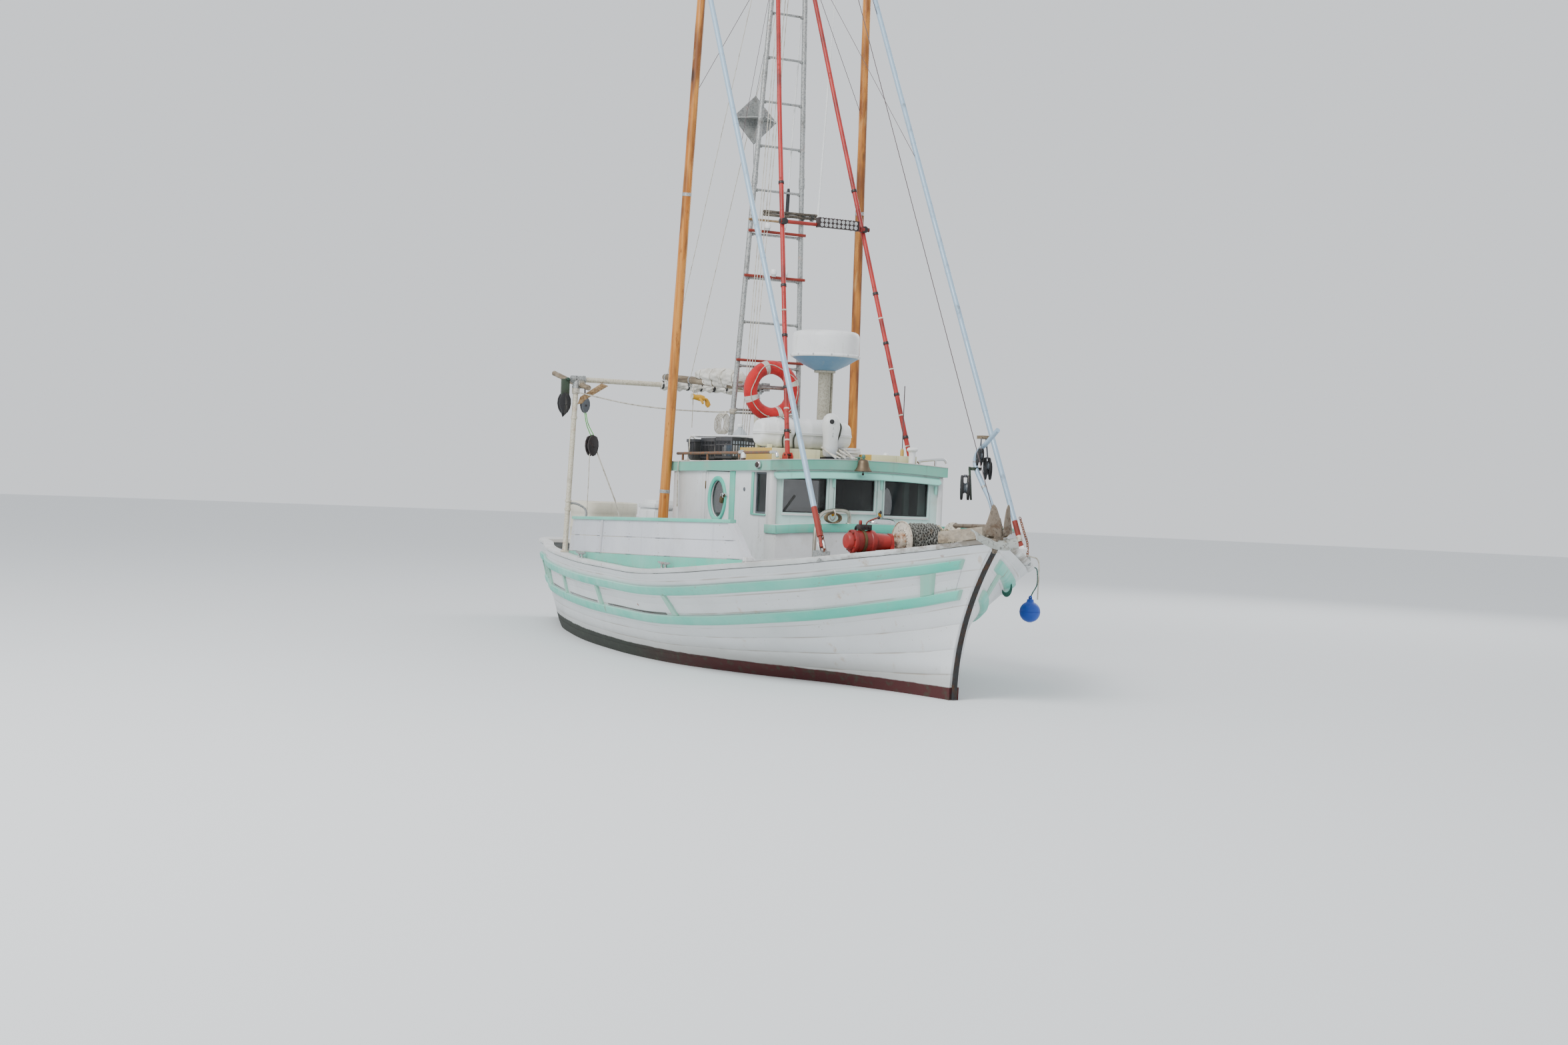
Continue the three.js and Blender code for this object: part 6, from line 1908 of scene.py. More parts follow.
def makeCrate(shape, x0, x1, y0, y1, top, slots):
    low = max(roofTop(x, y) for x in (x0, x1) for y in (y0, y1)) + 0.002
    shape.box((x0, y0, low), (x1, y1, low + 0.008))
    for z0, z1 in ((low + 0.001, low + 0.03), (top - 0.034, top)):
        frameOf(
            shape, rectangle(x0, x1, y0, y1), rectangle(x0 + 0.006, x1 - 0.006, y0 + 0.006, y1 - 0.006),
            z0, z1, lambda a, b, t: (a, b, t),
        )
    for i in range(slots + 1):
        x = x0 + 0.002 + (x1 - x0 - 0.014) * i / slots
        for y in (y0 + 0.001, y1 - 0.006):
            shape.box((x, y, low + 0.02), (x + 0.010, y + 0.005, top - 0.02))
    for i in range(slots + 1):
        y = y0 + 0.002 + (y1 - y0 - 0.014) * i / slots
        for x in (x0 + 0.001, x1 - 0.006):
            shape.box((x, y, low + 0.02), (x + 0.005, y + 0.010, top - 0.02))
    for k in range(1, 3):
        z = low + (top - low) * k / 3
        frameOf(
            shape, rectangle(x0 + 0.0015, x1 - 0.0015, y0 + 0.0015, y1 - 0.0015),
            rectangle(x0 + 0.0065, x1 - 0.0065, y0 + 0.0065, y1 - 0.0065), z - 0.006, z + 0.006,
            lambda a, b, t: (a, b, t),
        )


crates = {
    "boxes": ((0.86, 1.165, -0.745, -0.42, 2.098, 9), (1.18, 1.535, -0.745, -0.40, 2.104, 12)),
    "bottles": ((1.25, -0.66), (1.34, -0.67), (1.43, -0.66), (1.25, -0.50), (1.44, -0.50)),
    "bottle": ((0.0, 0.0), (0.034, 0.0), (0.036, 0.01), (0.036, 0.115), (0.028, 0.135), (0.0, 0.137)),
    "jug": (
        (0.0, 0.0), (0.075, 0.0), (0.082, 0.01), (0.084, 0.05), (0.080, 0.06), (0.084, 0.07),
        (0.084, 0.15),
        (0.078, 0.185), (0.060, 0.220), (0.034, 0.248), (0.024, 0.256), (0.022, 0.272), (0.0, 0.272),
    ),
    "cap": ((0.0, 0.0), (0.026, 0.0), (0.027, 0.004), (0.027, 0.024), (0.024, 0.027), (0.0, 0.027)),
    "rods": (
        ((0.595, -0.705, 2.128), (0.66, -0.70, 2.113), (1.50, -0.58, 2.113)),
        ((0.600, -0.730, 2.120), (1.84, -0.640, 2.1125)),
    ),
}


def makeCrates():
    shape = Shape("roofCrates")
    for numbers in crates["boxes"]:
        makeCrate(shape, *numbers)
    shape.done([looks["crate"]], "white_plastic")
    goods = Shape("crateGoods")
    for k, (x, y) in enumerate(crates["bottles"]):
        base = roofTop(x, y) + 0.012
        goods.lathe(list(crates["bottle"]), (x, y, base), look=k % 2, sides=18)
    goods.box((0.885, -0.72, 1.925), (1.14, -0.45, 2.03), 2)
    goods.done([looks["plastic"], looks["panBlue"], looks["rubber"]], "white_plastic", bevel=0.002)
    jug = Shape("clearJug")
    jug.lathe(list(crates["jug"]), (1.345, -0.575, 1.932), sides=28)
    jug.done([looks["jug"]], "window_glass")
    cap = Shape("jugCap")
    cap.lathe(list(crates["cap"]), (1.345, -0.575, 2.2045), sides=20)
    cap.done([looks["plastic"]], "white_plastic")
    rods = Shape("whiteRods")
    for path in crates["rods"]:
        rods.tube(list(path), 0.0085, 0, 10)
    rods.done([looks["plastic"]], "white_plastic")


beacon = {
    "place": (2.2, -0.088), "looks": (0.93, -0.36, 0.0),
    "body": (  # height, half length, half width
        (0.0, 0.030, 0.040), (0.004, 0.046, 0.056), (0.020, 0.054, 0.064), (0.09, 0.058, 0.068),
        (0.16, 0.057, 0.066), (0.22, 0.062, 0.073), (0.28, 0.066, 0.079), (0.33, 0.062, 0.077),
        (0.365, 0.050, 0.062), (0.388, 0.030, 0.038), (0.395, 0.008, 0.012),
    ),
    "bezel": ((0.0, -0.02), (0.030, -0.02), (0.031, 0.006), (0.024, 0.010), (0.0, 0.010)),
    "lens": ((0.0, 0.0105), (0.022, 0.0105), (0.017, 0.019), (0.0, 0.022)),
    "keys": ((-0.011, 0.212), (0.011, 0.212), (-0.011, 0.190), (0.011, 0.190)),
}


def makeBeacon():
    shape = Shape("beaconBody")
    x, y = beacon["place"]
    low = roofTop(x, y) + 0.036
    rings = []
    for rise, a, b in beacon["body"]:
        rings.append([(x + p, y + q, low + rise) for p, q in superellipse(a, b, 2.4, 32)])
    shape.loft(rings)
    look = Vector(beacon["looks"]).normalized()
    shape.lathe(list(beacon["bezel"]), Vector((x, y, low + 0.318)) + look * 0.058, look, 0, 24)
    shape.lathe(list(beacon["lens"]), Vector((x, y, low + 0.318)) + look * 0.058, look, 1, 24)
    shape.lathe(drum(0.020, -0.02, 0.004), Vector((x, y, low + 0.262)) + look * 0.060, look, 2, 24)
    for side, rise in beacon["keys"]:
        across = Vector((-look.y, look.x, 0))
        shape.lathe(
            drum(0.008, -0.02, 0.0025), Vector((x, y, low + rise)) + look * 0.0585 + across * side, look,
            2, 12,
        )
    shape.box(
        (x - 0.075, y - 0.075, roofTop(x, y - 0.08) + 0.001), (x + 0.075, y + 0.075, low - 0.001), 1,
    )
    shape.done(
        [looks["plastic"], looks["rubber"], looks["plasticGrey"]], "white_plastic", replaces=["beacon"],
    )


roofRail = {
    "y": -0.862, "z": 1.953, "posts": (0.72, 1.272, 1.94), "radius": 0.013,
    "end": ((2.556, 0.012), (2.63, 0.013), (2.668, 0.002), (2.682, -0.028)),
    "port": (
        (2.50, 0.655, 1.938), (2.50, 0.697, 1.952), (2.50, 0.893, 1.973), (2.505, 0.935, 1.968),
        (2.51, 0.953, 1.940),
    ),
    "flange": ((0.0, 0.0), (0.026, 0.0), (0.024, 0.006), (0.0, 0.007)),
    "vent": (
        (0.0, 0.0), (0.034, 0.0), (0.036, 0.006), (0.031, 0.012), (0.030, 0.10), (0.033, 0.118),
        (0.046, 0.126),
        (0.051, 0.134), (0.049, 0.146), (0.034, 0.157), (0.0, 0.161),
    ),
    "ventCap": ((0.0, 0.0), (0.026, 0.0), (0.024, 0.012), (0.014, 0.022), (0.0, 0.026)),
    "aerialFoot": ((0.0, 0.0), (0.017, 0.0), (0.017, 0.045), (0.011, 0.066), (0.0, 0.068)),
    "lamp": ((0.0, 0.0), (0.020, 0.0), (0.022, 0.006), (0.022, 0.040), (0.016, 0.050), (0.0, 0.052)),
}


def makeRoofRails():
    shape = Shape("roofRail")
    y, z = roofRail["y"], roofRail["z"]
    shape.tube([(0.596, y, z - 0.008), (2.560, y, z + 0.012)], roofRail["radius"], 0, 14)
    for x in roofRail["posts"]:
        base = roofTop(x, y) + 0.009
        shape.tube([(x, y, base), (x, y, z)], 0.012, 0, 12)
        shape.lathe(list(roofRail["flange"]), (x, y, base - 0.001), look=0, sides=16)
    shape.tube(spline([(x, y, z + up) for x, up in roofRail["end"]], 5), 0.0145, 1, 14)
    shape.tube([(1.99, y, roofTop(1.99, y) + 0.009), (1.99, y, z + 0.03)], 0.013, 1, 14)
    shape.tube([(1.95, y, z + 0.010), (2.04, y, z + 0.012)], 0.018, 1, 14)
    shape.done([looks["pipeRusty"], looks["chrome"]], "galvanised_pipe")
    port = Shape("roofRailPort")
    port.tube(spline(list(roofRail["port"]), 5), 0.012, 0, 14)
    port.tube([(2.50, 0.839, roofTop(2.5, 0.839) + 0.008), (2.50, 0.839, 1.968)], 0.011, 0, 12)
    port.tube([(2.50, 0.672, roofTop(2.5, 0.672) - 0.001), (2.50, 0.672, 1.946)], 0.011, 0, 12)
    port.done([looks["chrome"]], "stainless")
    vent = Shape("mushroomVent")
    base = roofTop(2.555, 0.56) + 0.001
    vent.lathe(list(roofRail["vent"]), (2.555, 0.56, base), sides=32)
    vent.lathe(list(roofRail["ventCap"]), (2.40, 0.377, 1.9885), sides=24)
    vent.done([looks["plastic"]], "white_plastic")
    whip = Shape("roofAerial")
    whip.lathe(list(roofRail["aerialFoot"]), (2.44, 0.522, 1.9885), look=0, sides=16)
    whip.tube([(2.44, 0.522, 2.05), (2.44, 0.522, 2.62)], 0.0045, 1, 8)
    whip.done([looks["yellow"], looks["greySteel"]], "white_plastic")
    light = Shape("navigationLight")
    light.turnedBox((2.04, -0.872, 1.9), (0.05, 0.024, 0.02), Matrix.Identity(3), 1)
    light.lathe(list(roofRail["lamp"]), (2.04, -0.868, 1.911), look=0, sides=18)
    light.done([looks["plastic"], looks["blackSteel"]], "white_plastic")


radar = {
    "place": (1.6, 0.15, 2.76), "pipe": 0.058, "webs": (0.4, 1.97, 3.54, 5.11),
    "web": ((0.058, 0.0), (0.105, 0.0), (0.058, 0.09)),
    "flange": ((0.0, 0.0), (0.115, 0.0), (0.115, 0.012), (0.064, 0.016), (0.0, 0.016)),
    "dome": (
        (0.0, 0.119), (0.314, 0.119), (0.321, 0.124), (0.322, 0.130), (0.322, 0.143), (0.318, 0.147),
        (0.313, 0.150),
        (0.3135, 0.300), (0.310, 0.328), (0.300, 0.346), (0.280, 0.358), (0.24, 0.365), (0.12, 0.3685),
        (0.0, 0.369),
    ),
    "pan": (
        (0.0, 0.0), (0.096, 0.0), (0.108, 0.006), (0.120, 0.012), (0.205, 0.055), (0.290, 0.108),
        (0.306, 0.1185),
        (0.0, 0.1185),
    ),
    "clips": 12,
}


def makeRadar():
    x, y, z = radar["place"]
    post = Shape("radarPost")
    base = roofTop(x, y) + 0.001
    post.tube([(x, y, base), (x, y, z - 0.001)], radar["pipe"], 0, 28)
    post.lathe(list(radar["flange"]), (x, y, base), sides=32)
    post.lathe(drum(0.100, -0.018, -0.0005), (x, y, z), sides=32)
    for turn in radar["webs"]:
        away = Vector((math.cos(turn), math.sin(turn), 0))
        across = Vector((-away.y, away.x, 0))
        foot = Vector((x, y, base + 0.014))
        post.loft([
            [foot + away * r + across * w + Vector((0, 0, h)) for r, h in radar["web"]]
            for w in (-0.004, 0.004)
        ])
    post.tube(
        [(x + 0.01, y + 0.073, roofTop(x, y + 0.07) + 0.001), (x + 0.01, y + 0.073, z - 0.020)], 0.013, 0,
        12,
    )
    post.done([looks["postPipe"]], "galvanised_pipe", replaces=["radome_post"])
    dome = Shape("radarDome")
    dome.lathe(list(radar["dome"]), (x, y, z), sides=64)
    dome.lathe(list(radar["pan"]), (x, y, z), look=1, sides=64)
    for turn in range(radar["clips"]):
        angle = turn * math.pi / 6 + 0.2
        a, b = x + 0.3215 * math.cos(angle), y + 0.3215 * math.sin(angle)
        dome.box((a - 0.006, b - 0.006, z + 0.127), (a + 0.006, b + 0.006, z + 0.144), 2)
    dome.done(
        [looks["plastic"], looks["panBlue"], looks["plasticGrey"]], "white_plastic", replaces=["radome"],
        sharp=45,
    )


bell = {
    "place": (2.715, -0.03, 1.831),
    "cup": (
        (0.0, 0.004), (0.066, 0.002), (0.074, 0.0), (0.0775, 0.005), (0.0735, 0.012), (0.062, 0.026),
        (0.054, 0.044),
        (0.048, 0.072), (0.043, 0.094), (0.034, 0.103), (0.018, 0.107), (0.0, 0.108),
    ),
    "crown": (
        (0.0, 0.107), (0.013, 0.107), (0.011, 0.118), (0.016, 0.128), (0.016, 0.138), (0.009, 0.148),
        (0.0, 0.150),
    ),
    "clapper": ((0.0, 0.0), (0.009, 0.003), (0.012, 0.010), (0.009, 0.018), (0.0, 0.021)),
}


def makeBell():
    shape = Shape("bronzeBell")
    x, y, z = bell["place"]
    shape.lathe(list(bell["cup"]), (x, y, z), sides=44)
    shape.lathe(list(bell["crown"]), (x, y, z), look=1, sides=20)
    shape.box((x - 0.127, y - 0.013, z + 0.1185), (x + 0.014, y + 0.013, z + 0.1265), 1)
    shape.box((x - 0.086, y - 0.013, z + 0.03), (x - 0.078, y + 0.013, z + 0.118), 1)
    shape.tube([(x, y, z + 0.03), (x + 0.002, y, z - 0.018)], 0.004, 2, 8)
    shape.lathe(list(bell["clapper"]), (x + 0.002, y, z - 0.034), look=2, sides=14)
    shape.done(
        [looks["bronze"], looks["verdigris"], looks["blackSteel"]], "bronze", replaces=["bell"], sharp=45,
    )


makeRaft()
makeRoofBoxes()
makeCrates()
makeBeacon()
makeRoofRails()
makeRadar()
makeBell()
print("roof gear made")


# mast, stays and boom

mast = {
    "x": 0.69, "foot": 1.859, "head": 8.35, "footHalf": 0.372, "headHalf": 0.090, "lean": 0.035,
    "radius": 0.025,
    "firstRung": 2.39, "rungStep": 0.42, "rungs": 14, "rung": 0.0115, "hounds": 6.7,
    "shoe": ((0.0, 0.0), (0.055, 0.0), (0.055, 0.010), (0.032, 0.016), (0.032, 0.05), (0.0, 0.05)),
    "joins": (4.6, 6.55), "rungEnd": ((0.0, 0.0), (0.017, 0.0), (0.0155, 0.012), (0.0, 0.012)),
    "headPosts": (-0.135, -0.045, 0.045, 0.135), "sheaves": (-0.09, 0.0, 0.09),
    "sheave": ((0.0, -0.03), (0.022, -0.03), (0.017, -0.022), (0.017, 0.022), (0.022, 0.03), (0.0, 0.03)),
    "bars": ((4.10, 0.014), (3.672, 0.014), (2.865, 0.013)),
    "lamps": ((-0.117, 4.142), (0.050, 4.156), (-0.026, 3.708), (0.096, 3.714)),
    "lamp": ((0.0, 0.0), (0.026, 0.0), (0.030, 0.010), (0.032, 0.036), (0.026, 0.050), (0.0, 0.052)),
    "lampFoot": ((0.0, -0.020), (0.020, -0.020), (0.023, -0.012), (0.022, -0.001), (0.0, -0.001)),
}


def mastPoint(side, z):
    share = (z - mast["foot"]) / (mast["head"] - mast["foot"])
    half = mast["footHalf"] + (mast["headHalf"] - mast["footHalf"]) * share
    return Vector((mast["x"] + (z - mast["foot"]) * mast["lean"], side * half, z))


def makeMast():
    shape = Shape("mastLegs")
    for side in (-1, 1):
        base = roofTop(mastPoint(side, 1.86).x, mastPoint(side, 1.86).y) + 0.001
        low, high = mastPoint(side, base), mastPoint(side, mast["head"])
        shape.tube([low, high], mast["radius"], 0, 20)
        shape.lathe(list(mast["shoe"]), low, sides=24)
        for z in mast["joins"]:
            shape.tube([mastPoint(side, z - 0.05), mastPoint(side, z + 0.05)], 0.0295, 0, 20)
        for i in range(mast["rungs"]):
            z = mast["firstRung"] + i * mast["rungStep"]
            place = mastPoint(side, z)
            shape.lathe(
                list(mast["rungEnd"]), place - Vector((0, side * 0.030, 0)), (0, -side, 0), sides=12,
            )
    head = mastPoint(1, mast["head"])
    shape.box((head.x - 0.039, -0.139, 8.291), (head.x + 0.039, 0.139, 8.303), 0)
    shape.box((head.x - 0.039, -0.139, 8.349), (head.x + 0.039, 0.139, 8.361), 0)
    for y in mast["headPosts"]:
        shape.box((head.x - 0.038, y - 0.004, 8.303), (head.x + 0.038, y + 0.004, 8.349), 0)
    for y in mast["sheaves"]:
        shape.lathe(list(mast["sheave"]), (head.x, y, 8.326), (0, 1, 0), 1, 16)
    half = mastPoint(1, 2.62).y
    shape.tube([(0.716, -half, 2.62), (0.716, half, 2.62)], 0.0195, 0, 16)
    shape.box((0.700, -0.030, 2.581), (0.719, 0.030, 2.659), 0)
    for z in (2.582, 2.648):
        shape.box((0.606, -0.028, z), (0.702, 0.028, z + 0.009), 0)
    shape.lathe(drum(0.013, 0.0, 0.09), (0.624, 0, 2.574), look=1, sides=14)
    shape.done([looks["zinc"], looks["blackSteel"]], "galvanised_pipe", replaces=["mast"])
    last = mast["firstRung"] + mast["rungStep"] * mast["rungs"]
    ladder = [tuple(mastPoint(0, z)) for z in (mast["firstRung"], last - mast["rungStep"] + 0.01)]
    grown("mastRungs", ladder, rungTree, {
        "Bottom": mastPoint(1, mast["firstRung"]).y * 2, "Top": mastPoint(1, last).y * 2,
        "Thickness": mast["rung"], "Step": mast["rungStep"] * math.hypot(1, mast["lean"]),
    }, looks["zinc"])
    bars = Shape("mastBars")
    for z, radius in mast["bars"]:
        reach = mastPoint(1, z)
        x = reach.x + mast["radius"] + radius - 0.002
        bars.tube([(x, -reach.y - 0.03, z), (x, reach.y + 0.03, z)], radius, 0, 12)
    x = mastPoint(1, 4.208).x + 0.035
    bars.tube([(x, -0.31, 4.204), (x, 0.345, 4.212)], 0.011, 1, 12)
    bars.done([looks["red"], looks["tanWood"]], "red_paint")
    lamps = Shape("mastLamps")
    for y, z in mast["lamps"]:
        x = mastPoint(1, z).x + 0.062
        lamps.lathe(list(mast["lamp"]), (x, y, z - 0.012), look=0, sides=20)
        lamps.lathe(list(mast["lampFoot"]), (x, y, z - 0.012), look=1, sides=20)
        lamps.box((x - 0.028, y - 0.006, z - 0.050), (x - 0.018, y + 0.006, z + 0.020), 1)
    lamps.done([looks["plastic"], looks["plasticGrey"]], "white_plastic")


crosstree = {"z": 4.276, "from": -0.16, "to": 0.46, "radius": 0.0145}


def makeCrosstree():
    z = crosstree["z"]
    x = mastPoint(1, z).x + 0.042
    laths = Shape("crosstreeLaths")
    for up, grow in ((-0.0145, 0.0), (0.0150, -0.04)):
        path = [
            (
                x + 0.001 * math.sin(i * 2.1),
                crosstree["from"] + (crosstree["to"] + grow - crosstree["from"]) * i / 12,
                z + up + 0.010 * i / 12 + 0.0012 * math.sin(i * 1.3),
            )
            for i in range(13)
        ]
        laths.tube(path, [crosstree["radius"] * (1 + 0.05 * math.sin(i * 1.7)) for i in range(13)], 0, 12)
    laths.done([looks["darkWood"]], "bare_wood", replaces=["crosstree"])
    turns = []
    for y in (-mastPoint(1, z).y, mastPoint(1, z).y, 0.36):
        for k in range(4):
            turns.append([
                (
                    x + (0.022 if y == 0.36 else 0.030) * math.cos(t) - (0.0 if y == 0.36 else 0.016),
                    y - 0.014 + k * 0.009, z + 0.033 * math.sin(t),
                )
                for t in fullTurn(14)[:-1]
            ])
    grown(
        "crosstreeLashings", turns, ropeTree, {"Thickness": 0.007, "Lay": 0.03, "Step": 0.009},
        looks["ropeDark"], cyclic=True,
    )


stay = {
    "foot": (2.5, 0.652), "padX": 2.42, "padY": 0.632, "radius": 0.0215,
    "clamps": (2.16, 2.55, 3.02, 3.48, 4.45), "tapes": (2.08, 2.36, 2.78, 3.25), "ears": (-0.028, 0.028),
}


def stayPoint(side, z):
    hounds = mastPoint(side, mast["hounds"]) + Vector((0.006, 0, 0))
    foot = Vector((stay["foot"][0], side * stay["foot"][1], 1.7))
    return foot.lerp(hounds, (z - 1.7) / (mast["hounds"] - 1.7))


def makeRedStay(side, name):
    shape = Shape(name + "RedStay")
    base = roofTop(2.42, side * 0.632) + 0.001
    top = mastPoint(side, mast["hounds"]) + Vector((0.040, 0, -0.03))
    shape.tube(
        [stayPoint(side, 1.955), stayPoint(side, 2.9), stayPoint(side, 5.2), top], stay["radius"], 0, 20,
    )
    outline = [
        (stay["padX"] + a, side * stay["padY"] + b) for a, b in superellipse(0.054, 0.054, 5.0, 28)
    ]
    shape.plate(outline, base, base + 0.012, "z", 0)
    for across in stay["ears"]:
        y = stayPoint(side, 1.96).y + across
        ear = [
            (2.376, base + 0.010), (2.468, base + 0.010), (2.468, 1.940), (2.446, 1.971), (2.400, 1.971),
            (2.376, 1.945),
        ]
        shape.plate(ear, y - 0.004, y + 0.004, "y", 0)
    shape.lathe(drum(0.008, -0.038, 0.038), (2.43, stayPoint(side, 1.955).y, 1.952), (0, 1, 0), 1, 12)
    for z in stay["clamps"]:
        place, after = stayPoint(side, z - 0.012), stayPoint(side, z + 0.012)
        shape.tube([place, after], 0.027, 1, 20)
    for z in stay["tapes"]:
        shape.tube([stayPoint(side, z - 0.006), stayPoint(side, z + 0.006)], 0.0245, 2, 20)
    shape.tube([stayPoint(side, 6.60), top], 0.026, 1, 20)
    shape.done(
        [looks["red"], looks["blackSteel"], looks["ropeWhite"]], "red_paint",
        replaces=["red_stay_" + name], bevel=0.001,
    )


lampBar = {
    "z": 4.08, "x": 1.763, "half": 0.459, "from": -0.09, "to": 0.33, "tape": (0.350, 0.378, 0.402),
    "lens": ((0.0, -0.004), (0.0175, -0.004), (0.0180, 0.0018), (0.0150, 0.0022), (0.0, -0.0006)),
    "bulb": ((0.0, 0.0), (0.0060, 0.0), (0.0045, 0.0026), (0.0, 0.0032)), "lenses": 9, "fins": 14,
}


def makeLampBar():
    z, x, half = lampBar["z"], lampBar["x"], lampBar["half"]
    shape = Shape("lampCrossbar")
    shape.tube([(x, -half, z), (x, half, z)], 0.0165, 0, 16)
    for side in (-1, 1):
        y = stayPoint(side, z).y
        shape.tube([(x - 0.052, y, z), (x + 0.019, y, z)], 0.031, 1, 18)
        shape.lathe(drum(0.020, 0.0, 0.006), (x, side * (half + 0.0005), z), (0, side, 0), 1, 16)
    y0, y1, low, high = lampBar["from"], lampBar["to"], z - 0.026, z + 0.062
    back, face = x - 0.003, x + 0.056
    shape.plate(
        [(back, low + 0.004), (face, low), (face, high), (back, high - 0.004)], y0 + 0.010, y1 - 0.010,
        "y", 2,
    )
    for y in (y0, y1 - 0.010):
        shape.plate(
            [
                (back - 0.001, low - 0.001), (face + 0.004, low - 0.001), (face + 0.004, high + 0.001),
                (back - 0.001, high + 0.001),
            ],
            y, y + 0.010, "y", 2,
        )
    for up in (low + 0.024, high - 0.024):
        for k in range(lampBar["lenses"]):
            middle = Vector((face - 0.001, y0 + 0.034 + k * 0.044, up))
            shape.lathe(list(lampBar["lens"]), middle, (1, 0, 0), 4, 14)
            shape.lathe(list(lampBar["bulb"]), middle, (1, 0, 0), 3, 10)
    for k in range(lampBar["fins"]):
        fin = y0 + 0.024 + k * 0.029
        shape.box(
            (back + 0.004, fin - 0.0025, high - 0.006), (face - 0.012, fin + 0.0025, high + 0.0055), 2,
        )
    for y in (y0 + 0.06, y1 - 0.06):
        shape.tube([(x, y, z - 0.005), (x + 0.03, y, z)], 0.022, 1, 14)
    for y in lampBar["tape"]:
        shape.tube([(x, y - 0.010, z), (x, y + 0.010, z)], 0.0245, 0, 16)
    shape.done(
        [looks["red"], looks["blackSteel"], looks["blackSteel"], looks["plastic"], looks["chrome"]],
        "red_paint", replaces=["lamp_bar"], bevel=0.0008,
    )


boom = {
    "pivot": (0.56, 0.0, 2.62), "length": 2.28, "rise": 0.168, "radius": 0.0435, "sail": (-0.42, -1.44),
}


def boomPoint(along, y=0.0, up=0.0):  # along the spar from the gooseneck, in metres
    share = along / boom["length"]
    return Vector((boom["pivot"][0] - along, y, boom["pivot"][2] + share * boom["rise"] + up))


def makeBoom():
    shape = Shape("boomSpar")
    steps = 26
    path = [boomPoint(0.03 + (boom["length"] - 0.03) * i / steps) for i in range(steps + 1)]
    shape.tube(
        path, [boom["radius"] - 0.008 * i / steps + 0.0008 * math.sin(i * 1.9) for i in range(steps + 1)],
        0, 22,
    )
    px, _, pz = boom["pivot"]
    for y in (-0.0255, 0.0205):
        ear = [
            (px - 0.10, pz - 0.024), (px - 0.10, pz + 0.034), (px + 0.006, pz + 0.022), (px + 0.023, pz),
            (px + 0.006, pz - 0.022),
        ]
        shape.plate(ear, y, y + 0.005, "y", 1)
    shape.tube([(px - 0.02, 0, pz), (px + 0.020, 0, pz)], 0.019, 1, 14)
    for along, grow in ((0.10, 0.003), (0.30, 0.003), (1.60, 0.003), (2.22, 0.004)):
        radius = boom["radius"] - 0.008 * along / boom["length"] + grow
        shape.tube([boomPoint(along - 0.014), boomPoint(along + 0.014)], radius, 1, 22)
    for along in (1.62, 2.22):
        eye = [boomPoint(along, 0.017 * math.cos(t), -0.056 + 0.017 * math.sin(t)) for t in fullTurn(16)]
        shape.tube(eye, 0.005, 1, 8, capped=False)
    shape.done([looks["bareWood"], looks["zincRusty"]], "bare_wood", body="boom", replaces=["boom"])


def sailRadius(share):
    return (0.100 - 0.028 * share) * (0.5 + 0.5 * math.sin(math.pi * max(0.0, min(share, 1.0))) ** 0.35)


sailTies = (0.09, 0.33, 0.58, 0.85)


def sailSkin(share, turn):  # radius of the bundle, pinched by its ties and creased along its folds
    pinch = sum(math.exp(-((share - tie) / 0.020) ** 2) for tie in sailTies)
    folds = 0.060 * math.sin(turn * 5 + share * 7) + 0.045 * math.sin(
        turn * 8 - share * 13
    ) + 0.04 * math.sin(turn * 2 + share * 19)
    folds += 0.02 * math.sin(turn * 13 + share * 37)
    return sailRadius(share) * (0.93 + folds * (1 - 0.6 * pinch) - 0.12 * min(pinch, 1.0))


def makeSail():
    shape = Shape("sailBundle")
    rings = []
    steps, sides = 120, 48
    start, end = boom["sail"]
    for i in range(steps + 1):
        share = i / steps
        along = -(start + (end - start) * share)
        ring = []
        for j in range(sides):
            turn = 2 * math.pi * (j + 0.5) / sides
            size = sailSkin(share, turn)
            point = boomPoint(along, size * math.sin(turn), 0.070 + size * math.cos(turn))
            clear = boom["radius"] + 0.0015
            centre = boomPoint(along)
            away = Vector((0, point.y - centre.y, point.z - centre.z))
            if away.length < clear:
                point = centre + away.normalized() * clear
            ring.append(point)
        rings.append(ring)
    shape.loft(rings, 0)
    sail = shape.done([looks["canvas"]], "canvas", body="boom", replaces=["furled_sail"], sharp=60)
    runs = []
    for tie in sailTies:
        along = -(start + (end - start) * tie)
        for k in range(2):
            run = []
            for j in range(22):
                turn = 2 * math.pi * j / 22
                size = sailSkin(tie, turn) + 0.004
                point = boomPoint(
                    along + 0.010 * (k - 0.5) + 0.004 * math.sin(turn), size * math.sin(turn),
                    0.070 + size * math.cos(turn),
                )
                low = boomPoint(along, 0, 0)
                away = Vector((0, point.y, point.z - low.z))
                if away.length < boom["radius"] + 0.006:
                    point = Vector((point.x, *(low + away.normalized() * (boom["radius"] + 0.006)).yz))
                run.append(tuple(point))
            runs.append(run)
    grown(
        "sailTies", runs, ropeTree, {"Thickness": 0.010, "Lay": 0.04, "Step": 0.010}, looks["ropeWhite"],
        body="boom", cyclic=True,
    )


